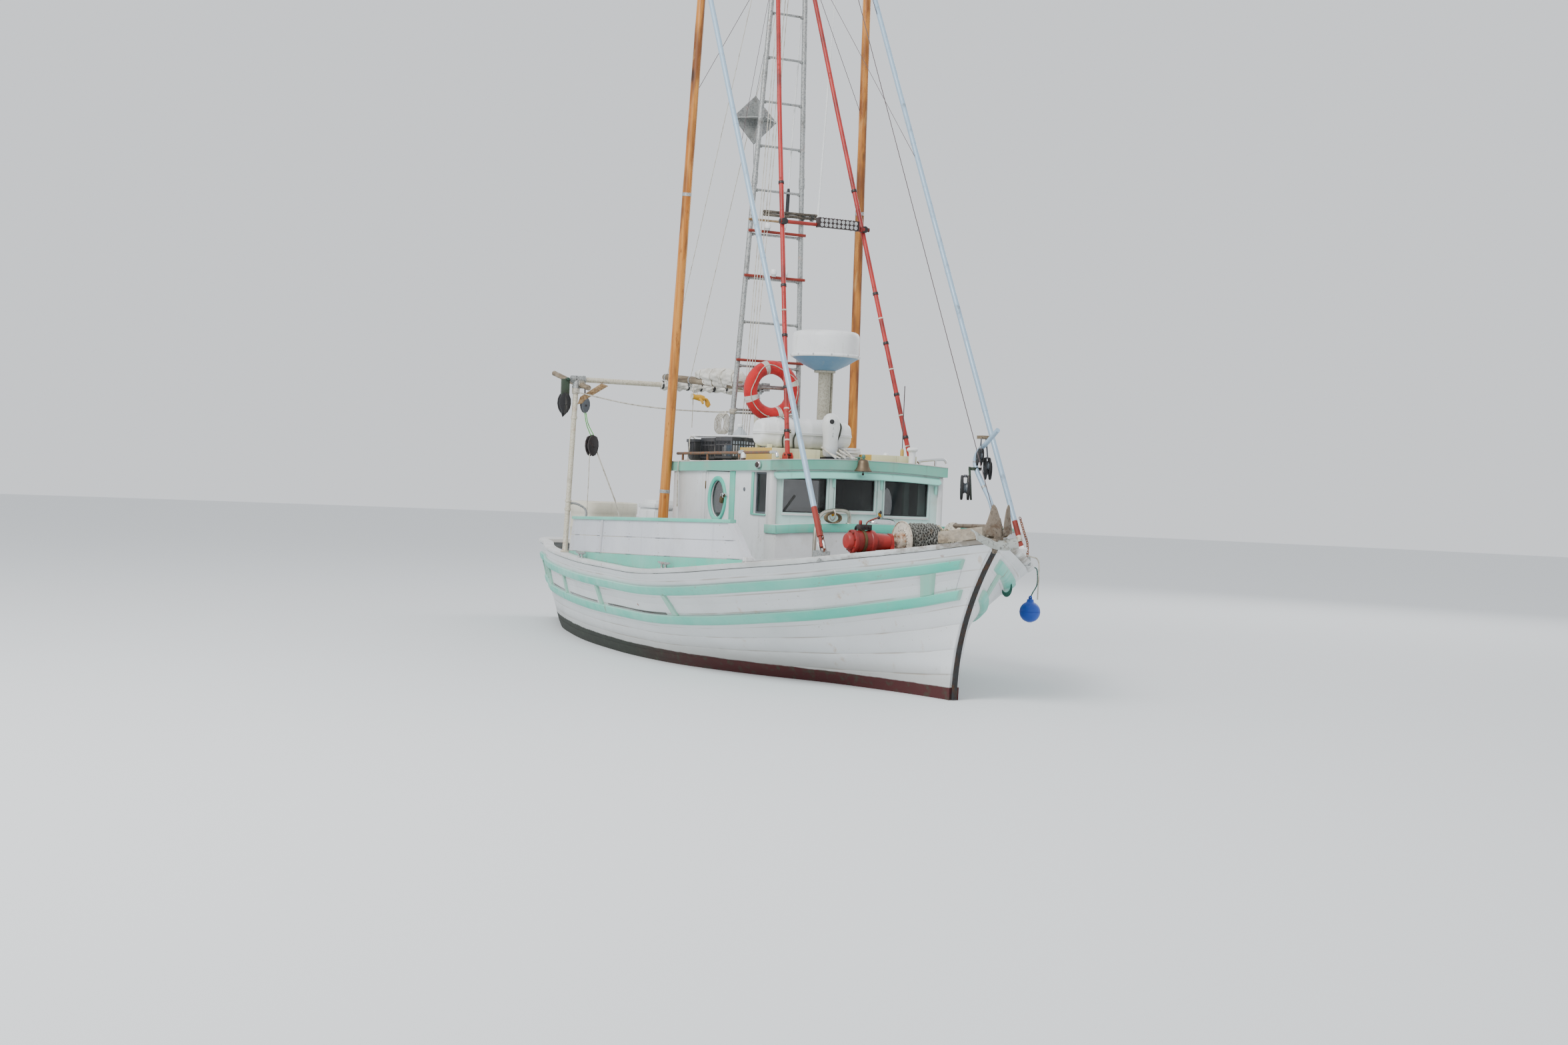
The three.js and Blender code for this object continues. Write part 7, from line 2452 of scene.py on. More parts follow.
trolling = {
    "x": 0.64, "y": 1.014, "z": 1.18, "out": 0.0249, "forward": 0.03, "length": 8.3, "low": 0.050,
    "high": 0.034,
    "collars": (0.05, 0.40, 3.2, 5.5, 8.22), "eyes": (3.2, 5.5),
    "ear": ((-0.036, -0.044), (0.036, -0.044), (0.036, 0.058), (-0.036, 0.058)),
    "cheek": (
        (-0.039, 1.0325), (0.039, 1.0325), (0.039, 1.190), (0.020, 1.224), (-0.020, 1.224),
        (-0.039, 1.190),
    ),
    "bolt": ((0.0, 0.0), (0.024, 0.0), (0.024, 0.010), (0.014, 0.013), (0.0, 0.013)),
    "rivet": ((0.0, 0.0), (0.013, 0.0), (0.011, 0.006), (0.0, 0.007)),
}


def poleTurn(side):
    out, forward = trolling["out"], trolling["forward"]
    return Matrix.Rotation(side * out, 3, "X") @ Matrix.Rotation(forward, 3, "Y")


def makePole(side, name):
    shape = Shape(name + "TrollingPole")
    turn = poleTurn(side)
    pivot = Vector((trolling["x"], side * trolling["y"], trolling["z"]))
    length, low, high = trolling["length"], trolling["low"], trolling["high"]
    steps = 60
    path = [pivot + turn @ Vector((0, 0, 0.02 + (length - 0.02) * i / steps)) for i in range(steps + 1)]
    radii = [
        low + (high - low) * i / steps + 0.0007 * math.sin(i * 1.7) - 0.0008 for i in range(steps + 1)
    ]
    shape.tube(path, radii, 0, 20)
    for x in (-0.0495, 0.0455):
        corners = [Vector((x + a, b, c)) for a in (0.0, 0.004) for b, c in trolling["ear"]]
        shape.loft([[pivot + turn @ c for c in corners[:4]], [pivot + turn @ c for c in corners[4:]]], 1)
    for at in trolling["collars"]:
        radius = low + (high - low) * at / length + 0.0012
        shape.tube(
            [pivot + turn @ Vector((0, 0, at - 0.016)), pivot + turn @ Vector((0, 0, at + 0.016))],
            radius, 1, 20,
        )
    shape.tube(
        [pivot + turn @ Vector((-0.050, 0, 0)), pivot + turn @ Vector((0.050, 0, 0))], 0.012, 1, 12,
    )
    for at in trolling["eyes"]:
        radius = low + (high - low) * at / length
        ring = [
            pivot + turn @ Vector((radius + 0.014 + 0.014 * math.cos(t), 0, at + 0.014 * math.sin(t)))
            for t in fullTurn(14)
        ]
        shape.tube(ring, 0.004, 1, 8, capped=False)
    shape.done(
        [looks["varnish"], looks["zincRusty"]], "varnished_wood", body="trolling_pole_" + name,
        replaces=["trolling_pole_" + name],
    )
    step = Shape(name + "PoleStep")
    y = side * 1.014
    step.box((0.582, y - 0.046, deckTop(0.58) + 0.001), (0.698, y + 0.046, 1.031), 1)
    step.box((0.569, y - 0.047, 1.032), (0.711, y + 0.047, 1.089), 0)
    for x in (0.567, 0.701):
        step.plate([(y + a, b) for a, b in trolling["cheek"]], x, x + 0.011, "x", 0)
        step.lathe(
            list(trolling["bolt"]), (x if x < 0.6 else x + 0.011, y, 1.18),
            ((-1 if x < 0.6 else 1), 0, 0), 0, 6,
        )
    for z in (0.80, 0.96):
        for dx in (-0.035, 0.035):
            step.lathe(list(trolling["rivet"]), (0.64 + dx, y + side * 0.046, z), (0, side, 0), 0, 12)
    step.done(
        [looks["zincRusty"], looks["white"]], "galvanised_pipe", replaces=["pole_step_" + name],
        bevel=0.002,
    )


def makeBowPole(side, name):
    shape = Shape(name + "BowPole")
    frame = bowPoleFrame(side)
    pivot = Vector((bowPole["x"], side * bowPole["y"], bowPole["z"]))
    length = bowPole["length"][side]
    place = lambda x, y, z: pivot + frame @ Vector((x, y, z))
    steps = 40
    red = {-1: 0.34, 1: 0.27}[side]
    shape.tube([place(0, 0, red + (length - red) * i / steps) for i in range(steps + 1)], 0.0238, 0, 20)
    shape.tube([place(0, 0, 0.075 if side < 0 else 0.13), place(0, 0, red - 0.0005)], 0.0238, 1, 20)
    if side > 0:
        shape.tube([place(0, 0, 0.075), place(0, 0, 0.1295)], 0.0238, 3, 20)
    ear = [
        (-0.019, -0.023), (0.019, -0.023), (0.019, 0.06), (0.012, 0.079), (-0.012, 0.079), (-0.019, 0.06),
    ]
    shape.loft([[place(x, a, b) for a, b in ear] for x in (-0.0115, 0.0115)], 1)
    for at in (1.35, 2.75, 4.15):
        shape.tube([place(0, 0, at - 0.02), place(0, 0, at + 0.02)], 0.0252, 0, 20)
    shape.lathe(
        [(0.0, 0.0), (0.0235, 0.0), (0.020, 0.014), (0.0, 0.016)], place(0, 0, length - 0.016),
        frame @ Vector((0, 0, 1)), 2, 20,
    )
    shape.done(
        [looks["bluePipe"], looks["red"], looks["greySteel"], looks["flangeCream"]], "blue_pipe",
        body="bow_pole_" + name, replaces=["bow_pole_" + name],
    )


lifeRing = {
    "place": (0.806, 0.006, 2.584), "major": 0.226, "minor": 0.0665, "bands": (0.35, 1.92, 3.49, 5.06),
    "steps": 96,
}


def makeRing():
    shape = Shape("lifeRing")
    x, y, z = lifeRing["place"]
    major, minor, steps = lifeRing["major"], lifeRing["minor"], lifeRing["steps"]
    rings = []
    for i in range(steps):
        turn = 2 * math.pi * i / steps
        middle = Vector((x, y + major * math.cos(turn), z + major * math.sin(turn)))
        out = Vector((0, math.cos(turn), math.sin(turn)))
        size = minor * (1 - 0.012 * math.cos(8 * turn))
        rings.append([
            middle + (out * math.cos(t) + Vector((1, 0, 0)) * math.sin(t)) * size
            for t in fullTurn(28)[:-1]
        ])
    rings.append(rings[0])
    shape.loft(rings, 0, capped=False)
    for band in lifeRing["bands"]:
        strip = []
        for i in range(7):
            turn = band + (i - 3) * 0.035
            middle = Vector((x, y + major * math.cos(turn), z + major * math.sin(turn)))
            out = Vector((0, math.cos(turn), math.sin(turn)))
            strip.append([
                middle + (out * math.cos(t) + Vector((1, 0, 0)) * math.sin(t)) * (minor + 0.0008)
                for t in fullTurn(28)[:-1]
            ])
        shape.loft(strip, 1)
    shape.done([looks["ringCloth"], looks["bandCloth"]], "ring_cover", replaces=["life_ring"], sharp=50)
    holder = Shape("ringHolder")
    holder.tube([(0.745, -0.05, 2.358), (0.745, 0.06, 2.358)], 0.009, 0, 10)
    for side in (-1, 1):
        holder.tube(
            [
                mastPoint(side, 2.81) + Vector((0.02, 0, 0)), (0.742, side * 0.13, 2.81),
                (0.742, -side * 0.01, 2.81),
            ],
            0.008, 0, 10,
        )
        holder.tube(
            spline(
                [
                    (0.742, side * 0.05, 2.358), (0.742, side * 0.05, 2.30), (0.80, side * 0.05, 2.281),
                    (0.862, side * 0.05, 2.30), (0.872, side * 0.05, 2.345),
                ],
                4,
            ),
            0.007, 0, 10,
        )
    holder.tube(
        [(0.745, -mastPoint(1, 2.358).y, 2.358), (0.745, mastPoint(1, 2.358).y, 2.358)], 0.010, 0, 10,
    )
    holder.done([looks["zinc"]], "galvanised_pipe")
    line = []
    for i in range(49):
        turn = 0.35 + 2 * math.pi * i / 48
        loose = 0.5 - 0.5 * math.cos(4 * (turn - 0.35))
        reach = major + 0.03 - 0.020 * loose
        line.append((
            x + minor * (0.94 + 0.12 * loose), y + reach * math.cos(turn),
            z + reach * math.sin(turn) - 0.022 * loose,
        ))
    grown(
        "ringLine", line, ropeTree, {"Thickness": 0.010, "Lay": 0.05, "Step": 0.012}, looks["ropeWhite"],
    )


reflector = {"place": (0.53, -0.155, 5.2), "reach": 0.236, "thick": 0.0025}


def makeReflector():
    x, y, z = reflector["place"]
    reach, thick = reflector["reach"], reflector["thick"]
    shape = Shape("radarReflector")
    diamond = [(reach, 0), (0, reach), (-reach, 0), (0, -reach)]
    shape.plate([(x + a, z + b) for a, b in diamond], y - thick, y + thick, "y")
    for side in (-1, 1):
        shape.plate(
            [
                (x + a, y + side * max(b, 0) + side * thick)
                for a, b in ((reach, 0), (0, reach), (-reach, 0))
            ],
            z - thick, z + thick, "z",
        )
        for up in (-1, 1):
            shape.loft([
                [
                    (
                        x + s * thick, y + side * (thick + q * (reach - thick)),
                        z + up * (thick + (1 - q - p) * (reach - 2 * thick)),
                    )
                    for q, p in ((0.0, 0.0), (1.0, 0.0), (0.0, 1.0))
                ]
                for s in (-1, 1)
            ])
    shape.done([looks["zinc"]], "galvanised_pipe", replaces=["radar_reflector"])
    hang = Shape("reflectorLines")
    hang.tube([(x, y, z + reach - 0.01), mastPoint(-1, 5.95) + Vector((-0.02, 0, 0))], 0.0022, 0, 6)
    hang.tube([(x, y, z - reach + 0.01), mastPoint(-1, 4.55) + Vector((-0.02, 0, 0))], 0.0022, 0, 6)
    hang.done([looks["ropeDark"]], "galvanised_pipe")


rigging = {
    "pole": ((7.2, 0.034, 0.0028), (4.2, 0.040, 0.0028)), "bowPole": (5.6, 3.9),
    "forestay": (4.842, -0.0, 1.402),
    # y at the foot, y at the head
    "halyards": ((-0.285, -0.06), (-0.262, -0.03), (-0.242, 0.03), (-0.215, 0.06)),
}


def makeRigging():
    head = mastPoint(0, 8.33)
    wires = Shape("standingRigging")
    hounds = {side: mastPoint(side, mast["hounds"]) for side in (-1, 1)}
    wires.tube([head + Vector((0.03, 0, 0)), rigging["forestay"]], 0.0035, 0, 8)
    (high, highOut, highWire), (low, lowOut, lowWire) = rigging["pole"]
    for side in (-1, 1):
        turn, base = poleTurn(side), Vector((trolling["x"], side * trolling["y"], trolling["z"]))
        pole = lambda at: base + turn @ Vector((0, 0, at))
        wires.tube(
            [head + Vector((-0.02, side * 0.12, 0)), pole(high) + Vector((0, -side * highOut, 0))],
            highWire, 0, 8,
        )
        wires.tube(
            [hounds[side] + Vector((0, side * 0.02, 0)), pole(low) + Vector((0, -side * lowOut, 0))],
            lowWire, 0, 8,
        )
        foot = Vector((bowPole["x"], side * bowPole["y"], bowPole["z"]))
        lean = bowPoleFrame(side) @ Vector((0, 0, 1))
        upper, lower = rigging["bowPole"]
        wires.tube(
            [
                head + Vector((0.02, side * 0.09, -0.02)),
                foot + lean * upper - Vector((0, side * 0.021, 0)),
            ],
            0.0028, 0, 8,
        )
        wires.tube([foot + lean * lower, hounds[side] + Vector((0.04, 0, 0.05))], 0.0024, 0, 8)
    wires.done([looks["greySteel"]], "stainless")
    halyards = Shape("mastHalyards")
    for k, (y0, y1) in enumerate(rigging["halyards"]):
        low = (0.752 + 0.004 * k, y0, roofTop(0.75, y0) + 0.002)
        halyards.tube([low, head + Vector((0.028, y1, -0.02))], 0.0040, 0, 8)
    halyards.tube([boomPoint(2.22, 0, 0.038), head + Vector((-0.03, 0.0, -0.02))], 0.0038, 0, 8)
    halyards.tube([boomPoint(1.62, 0, 0.040), mastPoint(0, 6.75) + Vector((-0.03, 0.0, 0))], 0.0038, 0, 8)
    halyards.done([looks["ropeWhite"]], "canvas")


aerials = {
    "upper": ((-1, 6.95, 1.3), (1, 7.05, 1.2)),  # side, height, length
    "upperFoot": ((0.0, -0.03), (0.017, -0.03), (0.017, 0.08), (0.010, 0.11), (0.0, 0.11)),
    "crossFoot": ((0.0, -0.03), (0.016, -0.03), (0.018, 0.03), (0.0125, 0.17), (0.0, 0.17)),
    "innerFoot": ((0.0, -0.04), (0.017, -0.04), (0.018, 0.20), (0.011, 0.24), (0.0, 0.24)),
}


def makeAerials():
    shape = Shape("whipAerials")
    for side, z, tall in aerials["upper"]:
        place = mastPoint(side, z) + Vector((-0.02, side * 0.055, 0))
        shape.tube([mastPoint(side, z), place], 0.011, 1, 12)
        shape.lathe(list(aerials["upperFoot"]), place, look=0, sides=16)
        shape.tube([place + Vector((0, 0, 0.1)), place + Vector((0, 0, tall))], 0.0048, 0, 10)
    cross = Vector((mastPoint(1, 4.28).x + 0.045, 0.425, 4.262))
    shape.lathe(list(aerials["crossFoot"]), cross, (-0.02, 0.052, 1.0), 0, 18)
    shape.tube(
        [cross + Vector((-0.003, 0.008, 0.16)), cross + Vector((-0.03, 0.085, 1.62))], 0.0100, 0, 12,
    )
    shape.tube(
        [cross + Vector((-0.03, 0.085, 1.62)), cross + Vector((-0.065, 0.18, 3.45))], 0.0065, 0, 10,
    )
    inner = Vector((mastPoint(1, 4.3).x - 0.01, 0.115, 4.300))
    shape.lathe(list(aerials["innerFoot"]), inner, (0.0, 0.03, 1.0), 2, 18)
    shape.tube([inner + Vector((0, 0.006, 0.22)), inner + Vector((0.0, 0.075, 1.95))], 0.0085, 0, 12)
    shape.done([looks["plastic"], looks["zinc"], looks["rubber"]], "white_plastic")


makeMast()
makeCrosstree()
makeLampBar()
makeBoom()
makeSail()
makeRing()
makeReflector()
makeRigging()
makeAerials()
for side, name in ((-1, "starboard"), (1, "port")):
    makeRedStay(side, name)
    makePole(side, name)
    makeBowPole(side, name)
print("rig made")


# after deck gear

gallows = {
    "collars": (1.34, 1.43, 2.30),
    "spar": ((-1.40, 2.607), (-1.625, 2.6445), (-1.982, 2.702), (-2.246, 2.756), (-2.420, 2.790)),
    "knee": (
        (-0.700, 2.650), (-0.775, 2.672), (-1.005, 2.520), (-1.032, 2.440), (-0.985, 2.452),
        (-0.955, 2.490),
    ),
    "x": -1.61, "footHalf": 1.118, "topHalf": 1.050, "top": 2.700, "radius": 0.0275, "reach": 0.060,
}


def postPoint(side, z):
    share = (z - 0.78) / (gallows["top"] - 0.78)
    half = gallows["footHalf"] + (gallows["topHalf"] - gallows["footHalf"]) * share
    return Vector((gallows["x"] - 0.015 * share, side * half, z))


def elbow(shape, middle, look, *arms):  # pipe fitting: a short wide sleeve along each arm
    for arm, length in arms:
        arm = Vector(arm).normalized()
        shape.tube([middle - arm * 0.02, middle + arm * length], 0.0385, look, 18)
        shape.tube([middle + arm * (length - 0.016), middle + arm * (length + 0.002)], 0.043, look, 18)


def makeGallows():
    shape = Shape("gallowsFrame")
    x, top, half = gallows["x"] - 0.015, gallows["top"], gallows["topHalf"]
    for side in (-1, 1):
        railTop = topside(placeAt(gallows["x"]), 0)[2]
        shape.tube([postPoint(side, railTop + 0.002), postPoint(side, top)], gallows["radius"], 0, 22)
        shape.tube([postPoint(side, railTop + 0.001), postPoint(side, 0.911)], 0.045, 0, 22)
        for z in gallows["collars"]:
            shape.tube([postPoint(side, z - 0.012), postPoint(side, z + 0.012)], 0.034, 0, 18)
        elbow(
            shape, Vector((x, side * half, top)), 1, ((0, -side, 0), 0.09),
            (postPoint(side, 1.0) - postPoint(side, 2.0), 0.09),
        )
        shape.tube([(x, side * half, top), (x, side * (half + gallows["reach"]), top)], 0.0385, 1, 18)
    shape.tube([(x, -half, top), (x, half, top)], gallows["radius"], 0, 22)
    shape.done([looks["pipeCream"], looks["zinc"]], "galvanised_pipe", sharp=45)
    spar = Shape("gallowsSpar")
    y = -1.0
    path = spline([(a, y, b) for a, b in gallows["spar"]], 6)
    spar.tube(path, [0.0270 + 0.0012 * math.sin(i * 1.4) for i in range(len(path))], 0, 18)
    spar.done([looks["bareWood"]], "bare_wood", replaces=["gallows"])
    lashing = []
    for k in range(5):
        shift = -0.028 + k * 0.014
        lashing.append([
            (x + 0.034 * math.cos(t), y + shift, 2.672 + 0.062 * math.sin(t)) for t in fullTurn(22)[:-1]
        ])
    grown(
        "sparLashing", lashing, ropeTree, {"Thickness": 0.011, "Lay": 0.05, "Step": 0.012},
        looks["ropeWhite"], cyclic=True,
    )
    knee = Shape("gallowsKnee")
    knee.plate(list(gallows["knee"]), x + 0.001, x + 0.030, "x")
    knee.done([looks["tanWood"]], "bare_wood", bevel=0.003)


def wrappedAlong(name, y0, y1, x, z, radius, look, slot):  # cloth wound round the cross pipe
    shape = Shape(name)
    rings = []
    steps, sides = 90, 36
    for i in range(steps + 1):
        share = i / steps
        pinch = max(
            math.exp(-((share - tie) / 0.012) ** 2) for tie in (0.02, 0.19, 0.37, 0.55, 0.73, 0.90)
        )
        ring = []
        for j in range(sides):
            turn = 2 * math.pi * j / sides
            bulge = 0.010 * math.sin(
                turn * 3 + share * 26
            ) + 0.006 * math.sin(turn * 7 - share * 41) + 0.005 * math.sin(share * 60 + turn)
            size = radius * (
                1.0 + 0.10 * math.sin(share * 15)
            ) + bulge * (1 - 0.7 * pinch) - 0.008 * pinch
            ring.append((x + size * math.cos(turn), y0 + (y1 - y0) * share, z + size * math.sin(turn)))
        rings.append(ring)
    shape.loft(rings)
    return shape.done([looks[look]], slot, sharp=60)


def makeWrapping():
    x, z = gallows["x"] - 0.015, gallows["top"]
    wrappedAlong("pipeWrapping", -0.09, 0.757, x, z, 0.045, "canvas", "canvas")
    ties = Shape("wrappingTies")
    for share in (0.02, 0.19, 0.37, 0.55, 0.73, 0.90):
        y = -0.09 + 0.847 * share
        ties.tube([(x, y - 0.009, z), (x, y + 0.009, z)], 0.0475, 0, 22)
    ties.done([looks["rubber"]], "canvas")


def makeBlock(shape, centre, size, across, cheek, wheel):  # tackle block: two cheeks about a sheave
    across = Vector(across).normalized()
    up = Vector((0, 0, 1))
    along = across.cross(up).normalized()
    outline = [
        (0.0, 1.0), (0.34, 0.86), (0.52, 0.45), (0.55, 0.0), (0.46, -0.42), (0.24, -0.80), (0.0, -0.92),
        (-0.24, -0.80), (-0.46, -0.42), (-0.55, 0.0), (-0.52, 0.45), (-0.34, 0.86),
    ]
    for low, high in ((-0.34, -0.17), (0.17, 0.34)):
        shape.loft(
            [
                [
                    Vector(centre) + along * a * size + up * b * size + across * t * size
                    for a, b in outline
                ]
                for t in (low, high)
            ],
            cheek,
        )
    shape.lathe(
        [
            (0.0, -0.15 * size), (0.46 * size, -0.15 * size), (0.38 * size, -0.03 * size),
            (0.38 * size, 0.03 * size), (0.46 * size, 0.15 * size), (0.0, 0.15 * size),
        ],
        centre, across, wheel, 24,
    )
    shape.lathe(drum(0.12 * size, -0.38 * size, 0.38 * size), centre, across, wheel, 14)
    shape.lathe(
        drum(0.15 * size, -0.10 * size, 0.12 * size), Vector(centre) + up * 0.92 * size, (0, 0, 1), wheel,
        14,
    )


tackle = {
    "x": -1.625, "straps": ((-0.058, -0.046), (-0.040, -0.028)),
    "cheek": (
        (-1.175, 2.30), (-1.115, 2.36), (-1.105, 2.50), (-1.14, 2.56), (-1.19, 2.50), (-1.195, 2.36),
    ),
    "eyes": (-0.885, -0.250),
    "eye": ((0.0, 0.0), (0.022, 0.0), (0.020, 0.006), (0.012, 0.012), (0.010, 0.026), (0.0, 0.028)),
    "bracket": (
        (0.0, -1.10, 1.350), (0.0, -1.08, 1.395), (0.01, -1.02, 1.405), (0.03, -0.940, 1.372),
        (0.04, -0.905, 1.330),
        (0.04, -0.900, 1.255),
    ),
}


def makeTackle():
    x = tackle["x"]
    gurdy = Shape("hangingBlocks")
    for low, high in tackle["straps"]:
        gurdy.box((x + low, -1.200, 2.40), (x + high, -1.112, 2.70), 1)
    gurdy.tube([(x - 0.062, -1.140, 2.70), (x + 0.0, -1.140, 2.70)], 0.016, 1, 12)
    gurdy.tube([(x - 0.066, -1.156, 2.45), (x - 0.020, -1.156, 2.45)], 0.010, 0, 12)
    makeBlock(gurdy, (x - 0.043, -1.162, 2.44), 0.115, (1, 0, 0), 0, 0)
    gurdy.loft([[(x + across, a, b) for a, b in tackle["cheek"]] for across in (-0.053, -0.033)], 0)
    gurdy.done([looks["rubber"], looks["gearGreen"]], "iron", bevel=0.002)
    snatch = Shape("snatchBlock")
    makeBlock(snatch, (x, -0.945, 2.432), 0.085, (1, 0, 0), 1, 0)
    snatch.tube([(x, -0.948, 2.50), (x, -0.955, 2.672)], 0.007, 0, 10)
    makeBlock(snatch, (x, -0.852, 2.010), 0.115, (1, 0.2, 0), 0, 0)
    snatch.done([looks["blackSteel"], looks["greySteel"]], "iron", bevel=0.002)
    cord = []
    for k in range(2):
        cord.append([
            (x + 0.006 * k, -0.945 + 0.010 * k, 2.360), (x + 0.01, -0.925 + 0.02 * k, 2.24),
            (x + 0.005, -0.870 + 0.035 * k, 2.122),
        ])
    for run in cord:
        run[:] = [tuple(p) for p in spline(run, 8)]
    grown(
        "blockCord", cord, ropeTree, {"Thickness": 0.011, "Lay": 0.05, "Step": 0.012},
        looks["ropeBright"],
    )
    falls = Shape("blockFalls")
    falls.tube([(x, -0.872, 1.93), (x, -0.885, deckTop(x) + 0.012)], 0.0048, 0, 8)
    falls.tube(
        [(x + 0.01, -0.820, 2.005), (x + 0.02, -0.570, 1.441), (x + 0.03, -0.250, deckTop(x) + 0.012)],
        0.0075, 0, 10,
    )
    for y in tackle["eyes"]:
        falls.lathe(
            list(tackle["eye"]), (x + (0.03 if y > -0.5 else 0.0), y, deckTop(x) + 0.001), look=1,
            sides=18,
        )
    falls.done([looks["ropeWhite"], looks["zincRusty"]], "canvas")
    bracket = Shape("postBracket")
    bracket.tube(spline([(x + out, y, z) for out, y, z in tackle["bracket"]], 5), 0.0125, 0, 12)
    bracket.done([looks["zincRusty"]], "galvanised_pipe")


tank = {
    "centre": (-2.58, -0.30), "half": 0.31, "corner": 0.11, "bands": (0.28, 0.46, 0.64),
    "nozzle": (
        (0.0, -0.01), (0.026, -0.01), (0.026, 0.005), (0.020, 0.009), (0.020, 0.018), (0.0, 0.018),
    ),
}


def roundedSquare(cx, cy, half, corner, steps=8):
    points = []
    for sx, sy, start in ((1, 1, 0.0), (-1, 1, 0.5), (-1, -1, 1.0), (1, -1, 1.5)):
        for i in range(steps + 1):
            turn = math.pi * (start + 0.5 * i / steps)
            points.append((
                cx + sx * (half - corner) + corner * math.cos(turn),
                cy + sy * (half - corner) + corner * math.sin(turn),
            ))
    return points


def makeTank():
    shape = Shape("baitTank")
    cx, cy = tank["centre"]
    low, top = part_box("bait_tank")[0][2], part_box("bait_tank")[1][2]
    rings = []
    levels = [(0.0, -0.012), (0.012, -0.002)]
    for r in tank["bands"]:
        levels += [(r - 0.018, -0.008), (r - 0.010, -0.001), (r + 0.010, -0.001), (r + 0.018, -0.008)]
    levels += [
        (0.80, -0.008), (0.806, -0.001), (top - low - 0.040, -0.001), (top - low - 0.012, -0.004),
        (top - low - 0.003, -0.020),
    ]
    for z, grow in levels:
        rings.append([
            (x, y, low + z) for x, y in roundedSquare(cx, cy, tank["half"] + grow, tank["corner"] + grow)
        ])
    for z, grow in ((top - low - 0.003, -0.045), (0.06, -0.055)):
        rings.append([
            (x, y, low + z)
            for x, y in roundedSquare(cx, cy, tank["half"] + grow, max(tank["corner"] + grow, 0.02))
        ])
    shape.loft(rings)
    lid = Shape("baitTankLid")
    lid.plate(roundedSquare(cx, cy, 0.262, 0.07), top - 0.022, top - 0.006, "z")
    lid.plate(roundedSquare(cx, cy, 0.10, 0.04), top - 0.006, top - 0.0008, "z")
    lid.done([looks["creamPlastic"]], "cream_plastic", bevel=0.004)
    shape.done([looks["creamPlastic"]], "cream_plastic", replaces=["bait_tank"], sharp=50)
    hose = Shape("tankFittings")
    for y in (cy - 0.14, cy + 0.14):
        hose.lathe(list(tank["nozzle"]), (cx + 0.30, y, low + 0.16), (1, 0, 0), 0, 18)
    hose.done([looks["rubber"]], "iron")


locker = {
    "x": (-0.299, 0.089), "y": (-0.859, -0.501), "wallTop": 1.405, "panelTop": 1.38, "rimTop": 1.452,
    "lidTop": 1.4865, "wall": 0.012, "panel": 0.180, "lift": 0.06,
}


def makeLocker():  # white moulded box with two doors and a raised lid
    (x0, x1), (y0, y1) = locker["x"], locker["y"]
    wall, lift, panelTop = locker["wall"], locker["lift"], locker["panelTop"]
    base = deckTop(-0.1) + 0.002
    shape = Shape("deckLocker")
    shape.box((x0 + wall, y0 + wall, base), (x1 - wall, y1 - wall, locker["wallTop"]), 0)
    for x in (x0 + 0.006, (x0 + x1) / 2 + 0.003):
        shape.box((x, y0 + 0.004, base + lift), (x + locker["panel"], y0 + wall, panelTop), 0)
        shape.box((x + 0.145, y0 - 0.000, 1.05), (x + 0.158, y0 + 0.005, 1.13), 1)  # pull
    shape.box((x1 - wall, y0 + 0.02, base + lift), (x1 - 0.004, y1 - 0.02, panelTop), 0)
    shape.box((x0, y0, 1.408), (x1, y1, locker["rimTop"]), 0)
    shape.box((x0 + 0.030, y0 + 0.030, locker["rimTop"]), (x1 - 0.030, y1 - 0.030, locker["lidTop"]), 0)
    shape.box((x1 - 0.006, y0 + 0.12, 1.395), (x1 - 0.0005, y0 + 0.19, 1.425), 1)  # latch
    shape.done(
        [looks["plastic"], looks["plasticGrey"]], "white_plastic", replaces=["deck_locker"], bevel=0.006,
    )


hatch = {
    "half": 0.429, "wall": 0.048, "x": (-1.249, -0.371), "planks": 7, "gap": 0.001, "batten": 0.030,
    "edge": 0.020,
}


